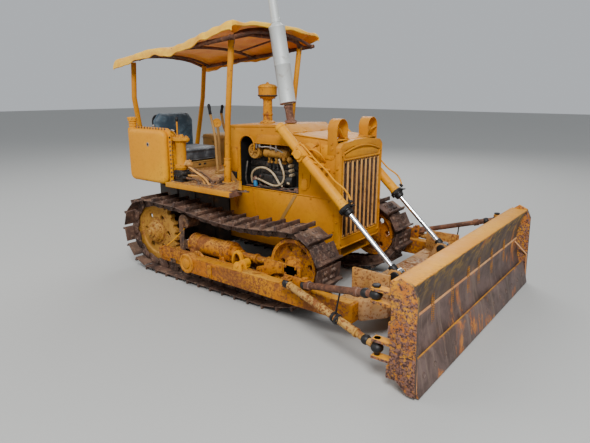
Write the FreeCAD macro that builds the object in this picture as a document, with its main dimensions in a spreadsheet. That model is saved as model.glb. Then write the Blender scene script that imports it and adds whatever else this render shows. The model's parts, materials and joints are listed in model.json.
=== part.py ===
"""A small crawler bulldozer with an angling blade on a push frame and a cloth canopy.

Millimetres. X points forward, Y to the machine's left and Z up, with the floor at Z 0. Places along X in
the table of sizes are measured from the sprocket's axle, and every piece is then moved by sprocket_x, so
that the origin lies under the middle of the machine. Right-hand pieces are modelled and left-hand ones
are mirrored from them.
"""
import FreeCAD, Part
import math
import os
from collections import namedtuple
from types import SimpleNamespace

import Sketcher
from FreeCAD import Placement, Rotation, Vector

# Name, millimetres (or a count or degrees), what it is.
SIZES = (
    ("sprocket_x", -1070, "sprocket axle, from the middle of the machine"),
    ("sprocket_z", 341, "height of the sprocket axle"),
    ("track_gauge", 1140, "between the middles of the two tracks"),
    ("shoe_width", 285, "track shoe, across the machine"),
    ("shoe_thickness", 8, "plate of a track shoe"),
    ("grouser_height", 27, "bar that stands up from a shoe"),
    ("grouser_foot", 22, "grouser bar at its root"),
    ("grouser_tip", 9, "grouser bar at its edge"),
    ("shoe_gap", 7, "between neighbouring shoes on a straight run"),
    ("shoe_seat", 29, "from the pin's middle out to the shoe"),
    ("rail_depth", 36, "from the pin's middle in to the rail's tread"),
    ("rail_width", 26, "link rail, across the machine"),
    ("rail_gap", 64, "between the two link rails"),
    ("rail_notch", 10, "depth of the notch between two links"),
    ("link_pitch", 136, "nominal distance between track pins"),
    ("bushing_radius", 20, "bushing on a track pin"),
    ("sprocket_teeth", 25, "teeth, two to each link"),
    ("sprocket_width", 44, "toothed rim, across the machine"),
    ("tooth_clearance", 2, "between a bushing and its tooth gap"),
    ("tooth_height", 7, "tip of a tooth beyond the pins' circle"),
    ("web_hole_radius", 24, "round holes in the sprocket and idler webs"),
    ("sprocket_hole_circle", 150, "radius of the circle of sprocket holes"),
    ("idler_x", 1580, "idler axle"),
    ("idler_z", 361, "height of the idler axle"),
    ("idler_radius", 197, "idler tread"),
    ("idler_flange", 15, "middle flange of the idler beyond its tread"),
    ("idler_width", 124, "idler, across the machine"),
    ("idler_hole_circle", 122, "radius of the circle of idler holes"),
    ("roller_radius", 64, "track roller tread"),
    ("roller_flange", 11, "roller flange beyond its tread"),
    ("roller_width", 150, "track roller, across the machine"),
    ("roller_first", 345, "rearmost track roller"),
    ("roller_last", 1262, "foremost track roller"),
    ("roller_count", 5, "track rollers on a side"),
    ("roller_shaft", 18, "radius of a roller shaft"),
    ("carrier_x", 425, "carrier roller, rearward"),
    ("carrier_z", 504, "height of the carrier roller"),
    ("carrier_radius", 58, "carrier roller tread"),
    ("carrier_slack", 9, "between the carrier roller and the rails over it"),
    ("running_gap", 1, "between rails and the wheels that they run on"),
    ("track_sag", 52, "sag of the upper run"),
    ("frame_plate", 32, "side plate of a track frame"),
    ("frame_gap", 172, "between the side plates of a track frame"),
    ("frame_rear", 150, "rear end of a track frame"),
    ("frame_front", 1395, "front end of a track frame"),
    ("frame_bottom", 140, "underside of a track frame"),
    ("frame_top", 262, "upper edge of a track frame"),
    ("spring_rear", 490, "rear end of the recoil spring housing"),
    ("spring_front", 945, "front end of the recoil spring housing"),
    ("spring_radius", 76, "recoil spring housing"),
    ("spring_z", 322, "height of the recoil spring's axis"),
    ("yoke_rod", 27, "radius of the rod that pushes the idler yoke"),
    ("yoke_rear", 1330, "rear face of the idler yoke"),
    ("yoke_height", 84, "idler yoke arm"),
    ("yoke_arm", 18, "idler yoke arm, across the machine"),
    ("yoke_end", 1665, "front end of a yoke arm"),
    ("beam_x", 1090, "rear face of the beam between the track frames"),
    ("beam_length", 110, "that beam, fore and aft"),
    ("beam_deep", 68, "that beam"),
    ("beam_seat_height", 82, "post between that beam and the main frame"),
    ("trunnion_x", 660, "pivot of the push frame"),
    ("trunnion_z", 236, "height of the push frame's pivot"),
    ("trunnion_radius", 34, "pivot pin"),
    ("pin_clearance", 0.3, "between a pin and its bore"),
    ("arm_clear", 24.5, "between the shoes and the inner face of a push arm"),
    ("arm_width", 78, "push arm, across the machine"),
    ("arm_eye", 76, "radius of the arm's eye at the pivot"),
    ("arm_top", 292, "upper face of a push arm"),
    ("arm_bottom", 166, "underside of a push arm"),
    ("nose_front", 2320, "front face of the cross box"),
    ("nose_depth", 270, "cross box, fore and aft"),
    ("arm_setback", 130, "front end of a push arm, behind the front of the cross box"),
    ("nose_taper", 110, "slanted front corner of the cross box"),
    ("nose_bulge", 60, "middle of the cross box beyond its front face"),
    ("tongue_half", 60, "half the width of the tongue that carries the blade"),
    ("tongue_height", 64, "thickness of the tongue"),
    ("nose_plate_out", 600, "outer face of the upright plates on the cross box"),
    ("nose_plate", 22, "thickness of the upright plates"),
    ("nose_plate_top", 450, "upper edge of the upright plates"),
    ("ball_reach", 148, "middle pin that carries the blade, ahead of the cross box"),
    ("ball_radius", 34, "middle pin"),
    ("blade_half", 1095, "half the blade's width"),
    ("blade_tip", 292, "front of the cutting edge, from the middle pin"),
    ("blade_clear", 8, "cutting edge above the floor"),
    ("blade_top", 622, "top edge of the blade"),
    ("moldboard", 14, "thickness of the curved plate"),
    ("moldboard_top_x", 234, "front of the curved plate at its top, from the middle pin"),
    ("moldboard_mid_x", 168, "front of the curved plate at mid height, from the middle pin"),
    ("moldboard_foot_x", 254, "front of the curved plate at its foot, from the middle pin"),
    ("moldboard_foot_z", 62, "foot of the curved plate"),
    ("end_plate", 20, "plate that closes each end of the blade"),
    ("blade_back_x", 96, "back of the blade's boxes, from the middle pin"),
    ("beam_depth", 100, "upper box along the blade's back, fore and aft"),
    ("beam_height", 60, "upper box"),
    ("middle_beam_z", 300, "underside of the middle box"),
    ("middle_beam_height", 90, "middle box"),
    ("foot_beam_depth", 112, "lower box, fore and aft"),
    ("foot_beam_height", 70, "lower box"),
    ("blade_rib", 16, "upright ribs on the blade's back"),
    ("blade_rib_height", 520, "upright ribs on the blade's back"),
    ("blade_foot_box", 80, "foot of those ribs"),
    ("ball_ear", 24, "ears above and below the tongue"),
    ("brace_inset", 50, "brace pins on the blade, in from its ends"),
    ("brace_lug", 16, "plates that hold a brace pin"),
    ("brace_lug_half", 28, "half the width of those plates"),
    ("upper_brace_z", 513, "upper brace pin"),
    ("lower_brace_z", 208, "lower brace pin"),
    ("brace_radius", 21, "brace"),
    ("brace_collar", 30, "radius of a brace's collar on its pin"),
    ("brace_collar_height", 52, "that collar"),
    ("upper_brace_rear", 340, "rear end of the upper brace, behind the front end of the arm"),
    ("upper_brace_lift", 60, "that end above the arm"),
    ("lower_brace_rear", 490, "rear end of the lower brace, behind the front end of the arm"),
    ("lower_brace_lift", 38, "that end above the arm"),
    ("brace_seat_length", 220, "bracket on the arm that carries both braces"),
    ("brace_seat_width", 30, "that bracket, across the machine"),
    ("brace_seat_height", 90, "that bracket"),
    ("wear_top", 372, "upper edge of the wear plate"),
    ("wear_plate", 11, "wear plate on the lower half"),
    ("edge_height", 186, "cutting edge"),
    ("edge_plate", 20, "thickness of the cutting edge"),
    ("cylinder_clear", 106, "lift cylinder's axis from the hood's side"),
    ("cylinder_pivot_x", 1470, "trunnion of the lift cylinder"),
    ("cylinder_pivot_z", 1124, "height of that trunnion"),
    ("rod_eye_back", 41, "rod eye behind the front of the cross box"),
    ("rod_eye_z", 386, "height of the rod eye"),
    ("swing_pin", 34, "radius of the lift cylinder's trunnion"),
    ("barrel_radius", 36, "lift cylinder barrel"),
    ("barrel_head", 285, "barrel behind its trunnion"),
    ("barrel_front", 567, "barrel ahead of its trunnion"),
    ("barrel_bore", 28, "radius of the barrel's bore"),
    ("gland_length", 58, "black gland at the rod end"),
    ("gland_radius", 52, "gland"),
    ("rod_radius", 17, "chromed rod"),
    ("rod_length", 795, "rod, from its eye to the piston's back"),
    ("piston_length", 40, "piston"),
    ("eye_radius", 43, "rod eye"),
    ("eye_width", 46, "rod eye, across the machine"),
    ("lug_plate", 16, "plates on each side of the rod eye"),
    ("lug_gap", 60, "between those plates"),
    ("hood_half", 280, "half the hood's width"),
    ("sheet", 8, "thickness of sheet panels"),
    ("cowl_rear", 600, "rear face of the cowl"),
    ("cowl_front", 1222, "front of the cowl's top"),
    ("cowl_top_rear", 1290, "top of the cowl at its rear"),
    ("cowl_top_front", 1314, "top of the cowl at its front"),
    ("cowl_edge", 1165, "lower edge of the cowl's sides"),
    ("hood_rear", 1300, "rear edge of the hood"),
    ("hood_rear_z", 1256, "top of the hood at its rear edge"),
    ("hood_front_z", 1226, "top of the hood at the radiator guard"),
    ("bay_rear", 760, "rear edge of the engine opening"),
    ("bay_front", 1363, "front edge of the engine opening"),
    ("bay_arch_x", 836, "middle of the arch over the opening"),
    ("bay_arch_radius", 76, "arch over the opening"),
    ("bay_floor", 798, "lower edge of the opening"),
    ("side_bottom", 445, "lower edge of the main frame's side plates"),
    ("side_rear", 630, "rear edge of the main frame's side plates"),
    ("guard_rear", 1706, "rear face of the radiator guard"),
    ("guard_front", 1748, "front face of the radiator guard"),
    ("guard_half", 302, "half the radiator guard's width"),
    ("guard_bottom", 436, "lower edge of the radiator guard"),
    ("guard_top", 1206, "shoulder of the radiator guard"),
    ("guard_crown", 18, "rise of the guard's crown"),
    ("grille_half", 262, "half the grille opening"),
    ("grille_bottom", 512, "lower edge of the grille opening"),
    ("grille_top", 1078, "upper edge of the grille opening"),
    ("slat_count", 9, "upright grille bars"),
    ("slat_width", 15, "grille bar"),
    ("slat_depth", 30, "grille bar, fore and aft"),
    ("core_rear", 1570, "rear face of the radiator core"),
    ("core_front", 1640, "front face of the radiator core"),
    ("core_height", 690, "radiator core"),
    ("lamp_out", 214, "middle of a lamp guard, from the middle"),
    ("lamp_radius", 72.2, "lamp guard hoop"),
    ("lamp_foot", 1118, "lower end of the outer leg"),
    ("lamp_band", 80, "lamp guard, fore and aft"),
    ("lamp_rear", 1626, "rear edge of a lamp guard"),
    ("lamp_z", 1302, "middle of the hoop"),
    ("lamp_sheet", 6, "lamp guard band"),
    ("platform_top", 840, "operator's platform"),
    ("platform_plate", 8, "thickness of the platform"),
    ("platform_edge", 36, "depth of its folded edge"),
    ("platform_half", 720, "half the platform's width"),
    ("platform_rear", -505, "rear edge of the platform"),
    ("platform_waist", 450, "half the platform's width at its rear edge"),
    ("platform_front", 1060, "front edge of the fenders"),
    ("fender_corner", 585, "inner end of a fender's front edge, from the middle"),
    ("fender_notch", 770, "where a fender's slanted edge meets the hood"),
    ("case_half", 290, "half the width of the main case"),
    ("case_rear", -300, "rear face of the main case"),
    ("case_bottom", 255, "underside of the main case"),
    ("case_front", 620, "front face of the main case"),
    ("drive_radius", 148, "final drive housing"),
    ("tank_rear", -172, "rear of the fuel tank"),
    ("tank_front", 312, "front of the fuel tank"),
    ("tank_outer", 704, "outer face of the fuel tank, from the middle"),
    ("tank_seam", 635, "seam of the fuel tank, from the middle"),
    ("tank_inner", 450, "inner face of the fuel tank, from the middle"),
    ("tank_top", 1252, "top of the fuel tank"),
    ("tank_hang", 28, "how far its outer half hangs below the platform's top"),
    ("tank_round", 56, "rounding of the fuel tank's outer edges"),
    ("seam_lip", 15, "flange round the fuel tank"),
    ("seat_front", 0, "front edge of the seat cushion"),
    ("seat_rear", -372, "rear edge of the seat cushion"),
    ("seat_half", 232, "half the seat's width"),
    ("seat_top", 1046, "top of the seat cushion"),
    ("seat_bottom", 912, "underside of the seat cushion"),
    ("back_top", 1372, "top of the backrest"),
    ("seat_back_plate", 80, "thickness of the backrest"),
    ("engine_rear", 790, "rear face of the engine"),
    ("engine_length", 560, "engine, fore and aft"),
    ("engine_half", 185, "half the engine's width"),
    ("engine_height", 560, "engine"),
    ("engine_foot", 70, "engine mounts, fore and aft"),
    ("filter_x", 800, "round filter in the bay"),
    ("filter_z", 1084, "height of that filter"),
    ("filter_radius", 66, "round filter"),
    ("filter_depth", 72, "round filter, across the machine"),
    ("manifold_radius", 26, "manifold along the engine"),
    ("bowl_radius", 30, "fuel bowl"),
    ("bowl_height", 95, "fuel bowl"),
    ("valve_x", 360, "rear of the hydraulic valve"),
    ("valve_out", 600, "middle of the valve, from the middle"),
    ("valve_length", 90, "valve block, fore and aft"),
    ("valve_half", 44, "half the valve block's width"),
    ("valve_height", 120, "valve block"),
    ("reservoir_radius", 40, "hydraulic reservoir"),
    ("reservoir_height", 205, "hydraulic reservoir"),
    ("valve_lever", 140, "valve lever"),
    ("box_rear", -330, "rear of the left fender box"),
    ("box_length", 340, "left fender box, fore and aft"),
    ("box_inner", 300, "inner face of the left fender box, from the middle"),
    ("box_width", 330, "left fender box, across the machine"),
    ("box_height", 292, "left fender box"),
    ("lever_foot_x", 350, "feet of the steering levers"),
    ("lever_top_x", 205, "tops of the steering levers"),
    ("lever_top_z", 1460, "height of their tops"),
    ("lever_out", 90, "steering levers' tops, from the middle"),
    ("lever_radius", 8, "steering lever"),
    ("front_post_x", 745, "foot of a front canopy post"),
    ("front_post_out", 420, "foot of a front canopy post, from the middle"),
    ("front_knee_x", 760, "bend in a front post"),
    ("front_knee_z", 1340, "height of that bend"),
    ("front_top_x", 833, "top of a front post"),
    ("rear_post_x", -462, "foot of a rear canopy post"),
    ("rear_post_out", 300, "foot of a rear canopy post, from the middle"),
    ("rear_knee_x", -430, "bend in a rear post"),
    ("rear_knee_z", 1500, "height of that bend"),
    ("rear_top_x", -396, "top of a rear post"),
    ("post_bend", 90, "radius of the bends in the posts"),
    ("canopy_half", 500, "canopy rails, from the middle"),
    ("canopy_rear", -500, "rear end of the canopy frame"),
    ("canopy_front", 930, "front end of the canopy frame"),
    ("canopy_rear_z", 1802, "canopy rail at its rear end"),
    ("canopy_front_z", 1945, "canopy rail at its front end"),
    ("canopy_tube", 17, "radius of the canopy rails"),
    ("canopy_bar", 15, "radius of the bars across the canopy"),
    ("bar_bend", 300, "bends in those bars"),
    ("cloth_over", 46, "cloth beyond the rails, to each side"),
    ("cloth_end", 22, "cloth beyond the rails, at front and rear"),
    ("cloth_crown", 92, "rise of the cloth between its edges"),
    ("cloth_thickness", 10, "cloth with its folds"),
    ("post_radius", 23, "round tube of a canopy post"),
    ("drawbar_rear", -620, "rear end of the drawbar"),
    ("drawbar_half", 80, "half the drawbar's width"),
    ("drawbar_z", 330, "underside of the drawbar"),
    ("drawbar_plate", 40, "thickness of the drawbar"),
    ("drawbar_pin_radius", 18, "hole for the drawbar pin"),
    ("muffler_radius", 62, "muffler"),
    ("muffler_foot", 150, "lower end of the muffler, along the exhaust"),
    ("muffler_end", 730, "upper end of the muffler, along the exhaust"),
    ("muffler_cone", 38, "tapers at the muffler's ends"),
    ("exhaust_pipe", 30, "radius of the pipe under the muffler"),
    ("outlet_pipe", 34, "radius of the outlet pipe"),
    ("outlet_end", 1010, "end of the outlet pipe, along the exhaust"),
    ("flange_radius", 40, "flange at the foot of the exhaust"),
    ("flange_height", 24, "that flange"),
    ("cleaner_x", 822, "stem of the air pre-cleaner"),
    ("exhaust_x", 1163, "foot of the exhaust"),
    ("exhaust_out", 120, "exhaust, from the middle"),
    ("exhaust_lean", 11, "backward lean of the muffler, degrees"),
)


class Rule:
    """A size, or a sum made from sizes: its value now and the text that binds it to the sheet."""

    def __init__(self, value, text):
        self.value = float(value)
        self.text = text

    def _join(self, other, sign, flip=False):
        other = rule(other)
        first, second = (other, self) if flip else (self, other)
        value = {
            "+": lambda a, b: a + b,
            "-": lambda a, b: a - b,
            "*": lambda a, b: a * b,
            "/": lambda a, b: a / b,
        }[sign](first.value, second.value)
        return Rule(value, f"({first.text} {sign} {second.text})")

    def __add__(self, other):
        return self._join(other, "+")

    def __radd__(self, other):
        return self._join(other, "+", flip=True)

    def __sub__(self, other):
        return self._join(other, "-")

    def __rsub__(self, other):
        return self._join(other, "-", flip=True)

    def __mul__(self, other):
        return self._join(other, "*")

    def __rmul__(self, other):
        return self._join(other, "*", flip=True)

    def __truediv__(self, other):
        return self._join(other, "/")

    def __neg__(self):
        return rule(0) - self


def rule(size):
    """A plain number as a Rule, or a Rule as it is."""
    return size if isinstance(size, Rule) else Rule(size, f"{size:g}")


def number(size):
    """The present value of a number or a Rule."""
    return rule(size).value


doc = FreeCAD.newDocument("bulldozer")
sheet = doc.addObject("Spreadsheet::Sheet", "Sizes")
for row, (name, size, meaning) in enumerate(SIZES, start=1):
    sheet.set(f"A{row}", name)
    sheet.set(f"B{row}", str(size))
    sheet.setAlias(f"B{row}", name)
    sheet.set(f"C{row}", meaning)
doc.recompute()
S = SimpleNamespace(**{name: Rule(sheet.get(name), f"Sizes.{name}") for name, _, _ in SIZES})

PARTS = []


def keep(item, label):
    """Name a finished sub-part; its label is its file's name."""
    item.Label = label
    PARTS.append(item)
    return item


def bind(item, **sizes):
    """Tie properties of an object to the sheet."""
    for path, size in sizes.items():
        item.setExpression(path, rule(size).text)


def bind_place(item, x=None, y=None, z=None):
    """Tie an object's place to the sheet, along the axes that are given."""
    for axis, size in (("x", x), ("y", y), ("z", z)):
        if size is not None:
            item.setExpression(f".Placement.Base.{axis}", rule(size).text)


def new_body(label):
    """An empty body whose own zero lies under the sprocket's axle."""
    body = doc.addObject("PartDesign::Body", label)
    bind_place(body, x=S.sprocket_x)
    return body


def origin_plane(body, role):
    """One of the body's own origin planes."""
    return next(plane for plane in body.Origin.OriginFeatures if plane.Role == role)


def polygon(sketch, points):
    """Close a polygon through points whose two coordinates are sizes."""
    first = sketch.GeometryCount
    corners = [Vector(number(u), number(v), 0) for u, v in points]
    for here, there in zip(corners, corners[1:] + corners[:1]):
        sketch.addGeometry(Part.LineSegment(here, there), False)
    for index, (u, v) in enumerate(points):
        line = first + index
        sketch.addConstraint(Sketcher.Constraint("Coincident", line, 2, first + (index + 1) % len(points), 1))
        for kind, size in (("DistanceX", u), ("DistanceY", v)):
            place = sketch.addConstraint(Sketcher.Constraint(kind, -1, 1, line, 1, number(size)))
            sketch.renameConstraint(place, f"{kind}{line}")
            sketch.setExpression(f"Constraints.{kind}{line}", rule(size).text)


def circle(sketch, u, v, radius):
    """A circle whose middle and radius are sizes."""
    ring = Part.Circle(Vector(number(u), number(v), 0), Vector(0, 0, 1), number(radius))
    line = sketch.addGeometry(ring, False)
    for kind, size in (("DistanceX", u), ("DistanceY", v)):
        place = sketch.addConstraint(Sketcher.Constraint(kind, -1, 1, line, 3, number(size)))
        sketch.renameConstraint(place, f"{kind}{line}")
        sketch.setExpression(f"Constraints.{kind}{line}", rule(size).text)
    place = sketch.addConstraint(Sketcher.Constraint("Radius", line, number(radius)))
    sketch.renameConstraint(place, f"Radius{line}")
    sketch.setExpression(f"Constraints.Radius{line}", rule(radius).text)


def new_sketch(body, plane, offset=0, outlines=(), circles=()):
    """A sketch on one of the body's origin planes, moved along the plane's normal."""
    sketch = body.newObject("Sketcher::SketchObject", f"{body.Name}_sketch")
    sketch.AttachmentSupport = [(origin_plane(body, f"{plane}_Plane"), "")]
    sketch.MapMode = "FlatFace"
    sketch.setExpression(".AttachmentOffset.Base.z", rule(offset).text)
    for outline in outlines:
        polygon(sketch, outline)
    for u, v, radius in circles:
        circle(sketch, u, v, radius)
    return sketch


def pad(body, plane, length, offset=0, outlines=(), circles=(), middle=False):
    """Pad outlines from their plane. In XZ the pad goes to the right, in YZ forward, in XY up."""
    feature = body.newObject("PartDesign::Pad", f"{body.Name}_pad")
    feature.Profile = new_sketch(body, plane, offset, outlines, circles)
    bind(feature, Length=length)
    feature.SideType = "Symmetric" if middle else "One side"
    doc.recompute()
    return feature


def pocket(body, plane, length, offset=0, outlines=(), circles=(), middle=False):
    """Cut outlines through the body, the same way round as pad."""
    before = body.Shape.Volume
    feature = body.newObject("PartDesign::Pocket", f"{body.Name}_pocket")
    feature.Profile = new_sketch(body, plane, offset, outlines, circles)
    bind(feature, Length=length)
    feature.SideType = "Symmetric" if middle else "One side"
    feature.Reversed = not middle
    doc.recompute()
    if body.Shape.Volume > before - 1:
        raise RuntimeError(f"{feature.Name} cuts nothing")
    return feature


def revolve(body, outline, across=0):
    """Turn an outline (distance across, radius) about an axis along Y at the body's zero."""
    sketch = new_sketch(body, "YZ", across, [outline])
    feature = body.newObject("PartDesign::Revolution", f"{body.Name}_revolution")
    feature.Profile = sketch
    feature.ReferenceAxis = (sketch, ["H_Axis"])
    feature.Angle = 360
    doc.recompute()
    return feature


def polar(body, feature, count, role="Y_Axis"):
    """Repeat a feature round one of the body's axes."""
    pattern = body.newObject("PartDesign::PolarPattern", f"{body.Name}_pattern")
    pattern.Originals = [feature]
    pattern.Axis = (next(line for line in body.Origin.OriginFeatures if line.Role == role), [""])
    pattern.Angle = 360
    bind(pattern, Occurrences=count)
    body.Tip = pattern
    doc.recompute()
    return pattern


def round_edges(body, radius, picked):
    """Round the edges that a test picks."""
    base = body.Tip
    names = [f"Edge{i}" for i, edge in enumerate(base.Shape.Edges, start=1) if picked(edge)]
    feature = body.newObject("PartDesign::Fillet", f"{body.Name}_rounding")
    feature.Base = (base, names)
    bind(feature, Radius=radius)
    doc.recompute()
    return feature


def along(edge, axis):
    """Whether a straight edge runs along an axis."""
    if not isinstance(edge.Curve, Part.Line):
        return False
    return abs(abs(edge.Curve.Direction.dot(axis)) - 1) < 1e-6


def mirror_left(item, label):
    """The left-hand twin of a right-hand piece."""
    twin = doc.addObject("Part::Mirroring", label)
    twin.Source = item
    twin.Base = Vector(0, 0, 0)
    twin.Normal = Vector(0, 1, 0)
    return keep(twin, label)


def both(item, label):
    """Keep a right-hand piece and its left-hand twin."""
    keep(item, f"{label}_right")
    mirror_left(item, f"{label}_left")


def shaped(label, shape):
    """A sub-part whose shape is made straight from the sizes, in sprocket coordinates."""
    item = doc.addObject("Part::Feature", label)
    item.Shape = shape
    item.Placement = Placement(Vector(S.sprocket_x.value, 0, 0), Rotation())
    return item


def box(x, y, z, length, width, height):
    """A Part::Box bound to the sheet, in sprocket coordinates."""
    item = doc.addObject("Part::Box", "block")
    bind(item, Length=length, Width=width, Height=height)
    bind_place(item, x + S.sprocket_x, y, z)
    return item


def cross_cylinder(x, out, z, radius, length):
    """A cylinder bound to the sheet that points to the right from `out`."""
    item = doc.addObject("Part::Cylinder", "round")
    bind(item, Radius=radius, Height=length)
    item.Placement = Placement(Vector(), Rotation(Vector(1, 0, 0), 90))
    bind_place(item, x + S.sprocket_x, -rule(out), z)
    return item


def lengthwise_cylinder(x, out, z, radius, length):
    """A cylinder bound to the sheet that points forward from x."""
    item = doc.addObject("Part::Cylinder", "round")
    bind(item, Radius=radius, Height=length)
    item.Placement = Placement(Vector(), Rotation(Vector(0, 1, 0), 90))
    bind_place(item, x + S.sprocket_x, -rule(out), z)
    return item


def upright_cylinder(x, out, z, radius, length):
    """A cylinder bound to the sheet that points up from z."""
    item = doc.addObject("Part::Cylinder", "round")
    bind(item, Radius=radius, Height=length)
    bind_place(item, x + S.sprocket_x, -rule(out), z)
    return item


def fuse(label, *items):
    """One piece welded from several."""
    item = doc.addObject("Part::MultiFuse", label)
    item.Shapes = list(items)
    return item


def cut(label, base, tool):
    """One piece with another taken out of it."""
    item = doc.addObject("Part::Cut", label)
    item.Base = base
    item.Tool = tool
    return item


def bent_tube(points, profile_radius, bend):
    """A tube through points, its corners rounded to the bend radius."""
    points = [Vector(*[number(c) for c in point]) for point in points]
    edges = []
    start = points[0]
    for before, corner, after in zip(points, points[1:], points[2:]):
        first = (before - corner).normalize()
        second = (after - corner).normalize()
        half = first.getAngle(second) / 2
        reach = bend / math.tan(half)
        bisector = (first + second).normalize()
        middle = corner + bisector * (bend / math.sin(half))
        arc_middle = middle - bisector * bend
        edges.append(Part.LineSegment(start, corner + first * reach).toShape())
        edges.append(Part.Arc(corner + first * reach, arc_middle, corner + second * reach).toShape())
        start = corner + second * reach
    edges.append(Part.LineSegment(start, points[-1]).toShape())
    path = Part.Wire(edges)
    direction = (points[1] - points[0]).normalize()
    profile = Part.Wire([Part.makeCircle(profile_radius, points[0], direction)])
    return path.makePipeShell([profile], True, False, 2)


# Places that follow from the sizes
track_out = S.track_gauge / 2
arm_inner = track_out + S.shoe_width / 2 + S.arm_clear
cylinder_out = S.hood_half + S.cylinder_clear
ball_x = S.nose_front + S.ball_reach
nose_rear = S.nose_front - S.nose_depth
arm_front = S.nose_front - S.arm_setback
brace_pin_out = S.blade_half - S.brace_inset
rod_eye_x = S.nose_front - S.rod_eye_back

# Track: one loop of shoes, link rails and bushings, laid round its wheels
pin_floor = S.grouser_height + S.shoe_thickness + S.shoe_seat
roller_z = pin_floor + S.rail_depth + S.running_gap + S.roller_radius


def belt(pulleys):
    """Straight and round stretches of a belt that runs round pulleys (x, z, radius), seen from the right."""
    runs = []
    count = len(pulleys)
    tangents = []
    for index in range(count):
        x1, z1, r1 = pulleys[index]
        x2, z2, r2 = pulleys[(index + 1) % count]
        heading = math.atan2(z2 - z1, x2 - x1)
        lean = math.asin((r1 - r2) / math.hypot(x2 - x1, z2 - z1))
        normal = heading - math.pi / 2 + lean
        tangents.append((
            normal,
            (x1 + r1 * math.cos(normal), z1 + r1 * math.sin(normal)),
            (x2 + r2 * math.cos(normal), z2 + r2 * math.sin(normal)),
        ))
    for index in range(count):
        arrive = tangents[index - 1][0]
        leave = tangents[index][0]
        turn = (leave - arrive + math.pi / 2) % (2 * math.pi) - math.pi / 2
        runs.append(("arc", pulleys[index], arrive, turn))
        runs.append(("line", tangents[index][1], tangents[index][2]))
    return runs


def run_length(run):
    """Length of a stretch of the belt."""
    if run[0] == "arc":
        return run[1][2] * run[3]
    return math.dist(run[1], run[2])


def belt_point(runs, distance, sag_run, sag):
    """Place on the belt at a distance along it, with the upper run hanging."""
    for index, run in enumerate(runs):
        length = run_length(run)
        if distance > length:
            distance -= length
            continue
        if run[0] == "arc":
            _, (x, z, radius), arrive, _ = run
            angle = arrive + distance / radius
            return Vector(x + radius * math.cos(angle), 0, z + radius * math.sin(angle))
        share = distance / length
        (x1, z1), (x2, z2) = run[1], run[2]
        drop = 4 * sag * share * (1 - share) if index == sag_run else 0
        return Vector(x1 + (x2 - x1) * share, 0, z1 + (z2 - z1) * share - drop)
    raise ValueError("beyond the belt")


def track_pins():
    """Pins round the loop, the pitch that closes it and the radius of the sprocket's pin circle."""
    idler_tread = S.idler_radius.value + S.running_gap.value + S.rail_depth.value
    carrier_pin = S.carrier_radius.value + S.carrier_slack.value + S.rail_depth.value
    pitch = S.link_pitch.value
    for _ in range(6):
        pin_circle = pitch * S.sprocket_teeth.value / (4 * math.pi)
        runs = belt([
            (0, S.sprocket_z.value, pin_circle),
            (S.roller_first.value - pitch, pin_floor.value, 0),
            (S.roller_last.value + pitch, pin_floor.value, 0),
            (S.idler_x.value, S.idler_z.value, math.hypot(idler_tread, pitch / 2)),
            (S.carrier_x.value, S.carrier_z.value, carrier_pin),
        ])
        total = sum(run_length(run) for run in runs)
        count = round(total / S.link_pitch.value)
        pitch = total / count
    sag_run = 7
    first_tooth = runs[0][2]
    pins = [belt_point(runs, pitch * index, sag_run, S.track_sag.value) for index in range(count)]
    return pins, pitch, pin_circle, first_tooth


TRACK_PINS, PITCH, PIN_CIRCLE, FIRST_TOOTH = track_pins()


def link_frame(here, there):
    """Middle, forward and outward directions of the link between two pins."""
    forward = (there - here).normalize()
    return (here + there) / 2, forward, Vector(forward.z, 0, -forward.x)


def prism(outline, out, width):
    """Extrude an outline in the XZ plane to the right from `out`."""
    face = Part.Face(Part.makePolygon([point + Vector(0, -out, 0) for point in outline + outline[:1]]))
    return face.extrude(Vector(0, -width, 0))


def track_shape():
    """The whole loop as one solid."""
    solids = []
    middle = track_out.value
    half_shoe = (PITCH - S.shoe_gap.value) / 2
    seat = S.shoe_seat.value
    back = seat + S.shoe_thickness.value
    tip = back + S.grouser_height.value
    foot = S.grouser_foot.value
    profile = (
        (-half_shoe, seat), (half_shoe, seat), (half_shoe, back),
        (-half_shoe + foot, back), (-half_shoe + S.grouser_tip.value, tip), (-half_shoe, tip),
    )
    closed = TRACK_PINS + TRACK_PINS[:1]
    outer, inner = [], []
    last_outward = link_frame(TRACK_PINS[-1], TRACK_PINS[0])[2]
    for here, there in zip(closed, closed[1:]):
        centre, forward, outward = link_frame(here, there)
        outline = [centre + forward * u + outward * v for u, v in profile]
        solids.append(prism(outline, middle - S.shoe_width.value / 2, S.shoe_width.value))
        reach = half_shoe - S.rail_depth.value / 2
        inner += [here - outward * (S.rail_depth.value - S.rail_notch.value)]
        inner += [centre + forward * u - outward * S.rail_depth.value for u in (-reach, reach)]
        corner = (outward + last_outward).normalize()
        outer.append(here + corner * (seat / corner.dot(outward)))
        last_outward = outward
    for start in (middle - S.rail_gap.value / 2 - S.rail_width.value, middle + S.rail_gap.value / 2):
        ring = prism(outer, start, S.rail_width.value).cut(prism(inner, start, S.rail_width.value))
        solids.append(ring)
    for pin in TRACK_PINS:
        corners = [
            pin + Vector(math.cos(a), 0, math.sin(a)) * S.bushing_radius.value
            for a in (math.radians(72 * k + 18) for k in range(5))
        ]
        solids.append(prism(corners, middle - S.rail_gap.value / 2 - 1, S.rail_gap.value + 2))
    return solids[0].multiFuse(solids[1:]).removeSplitter()


both(shaped("track", track_shape()), "track")

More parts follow.
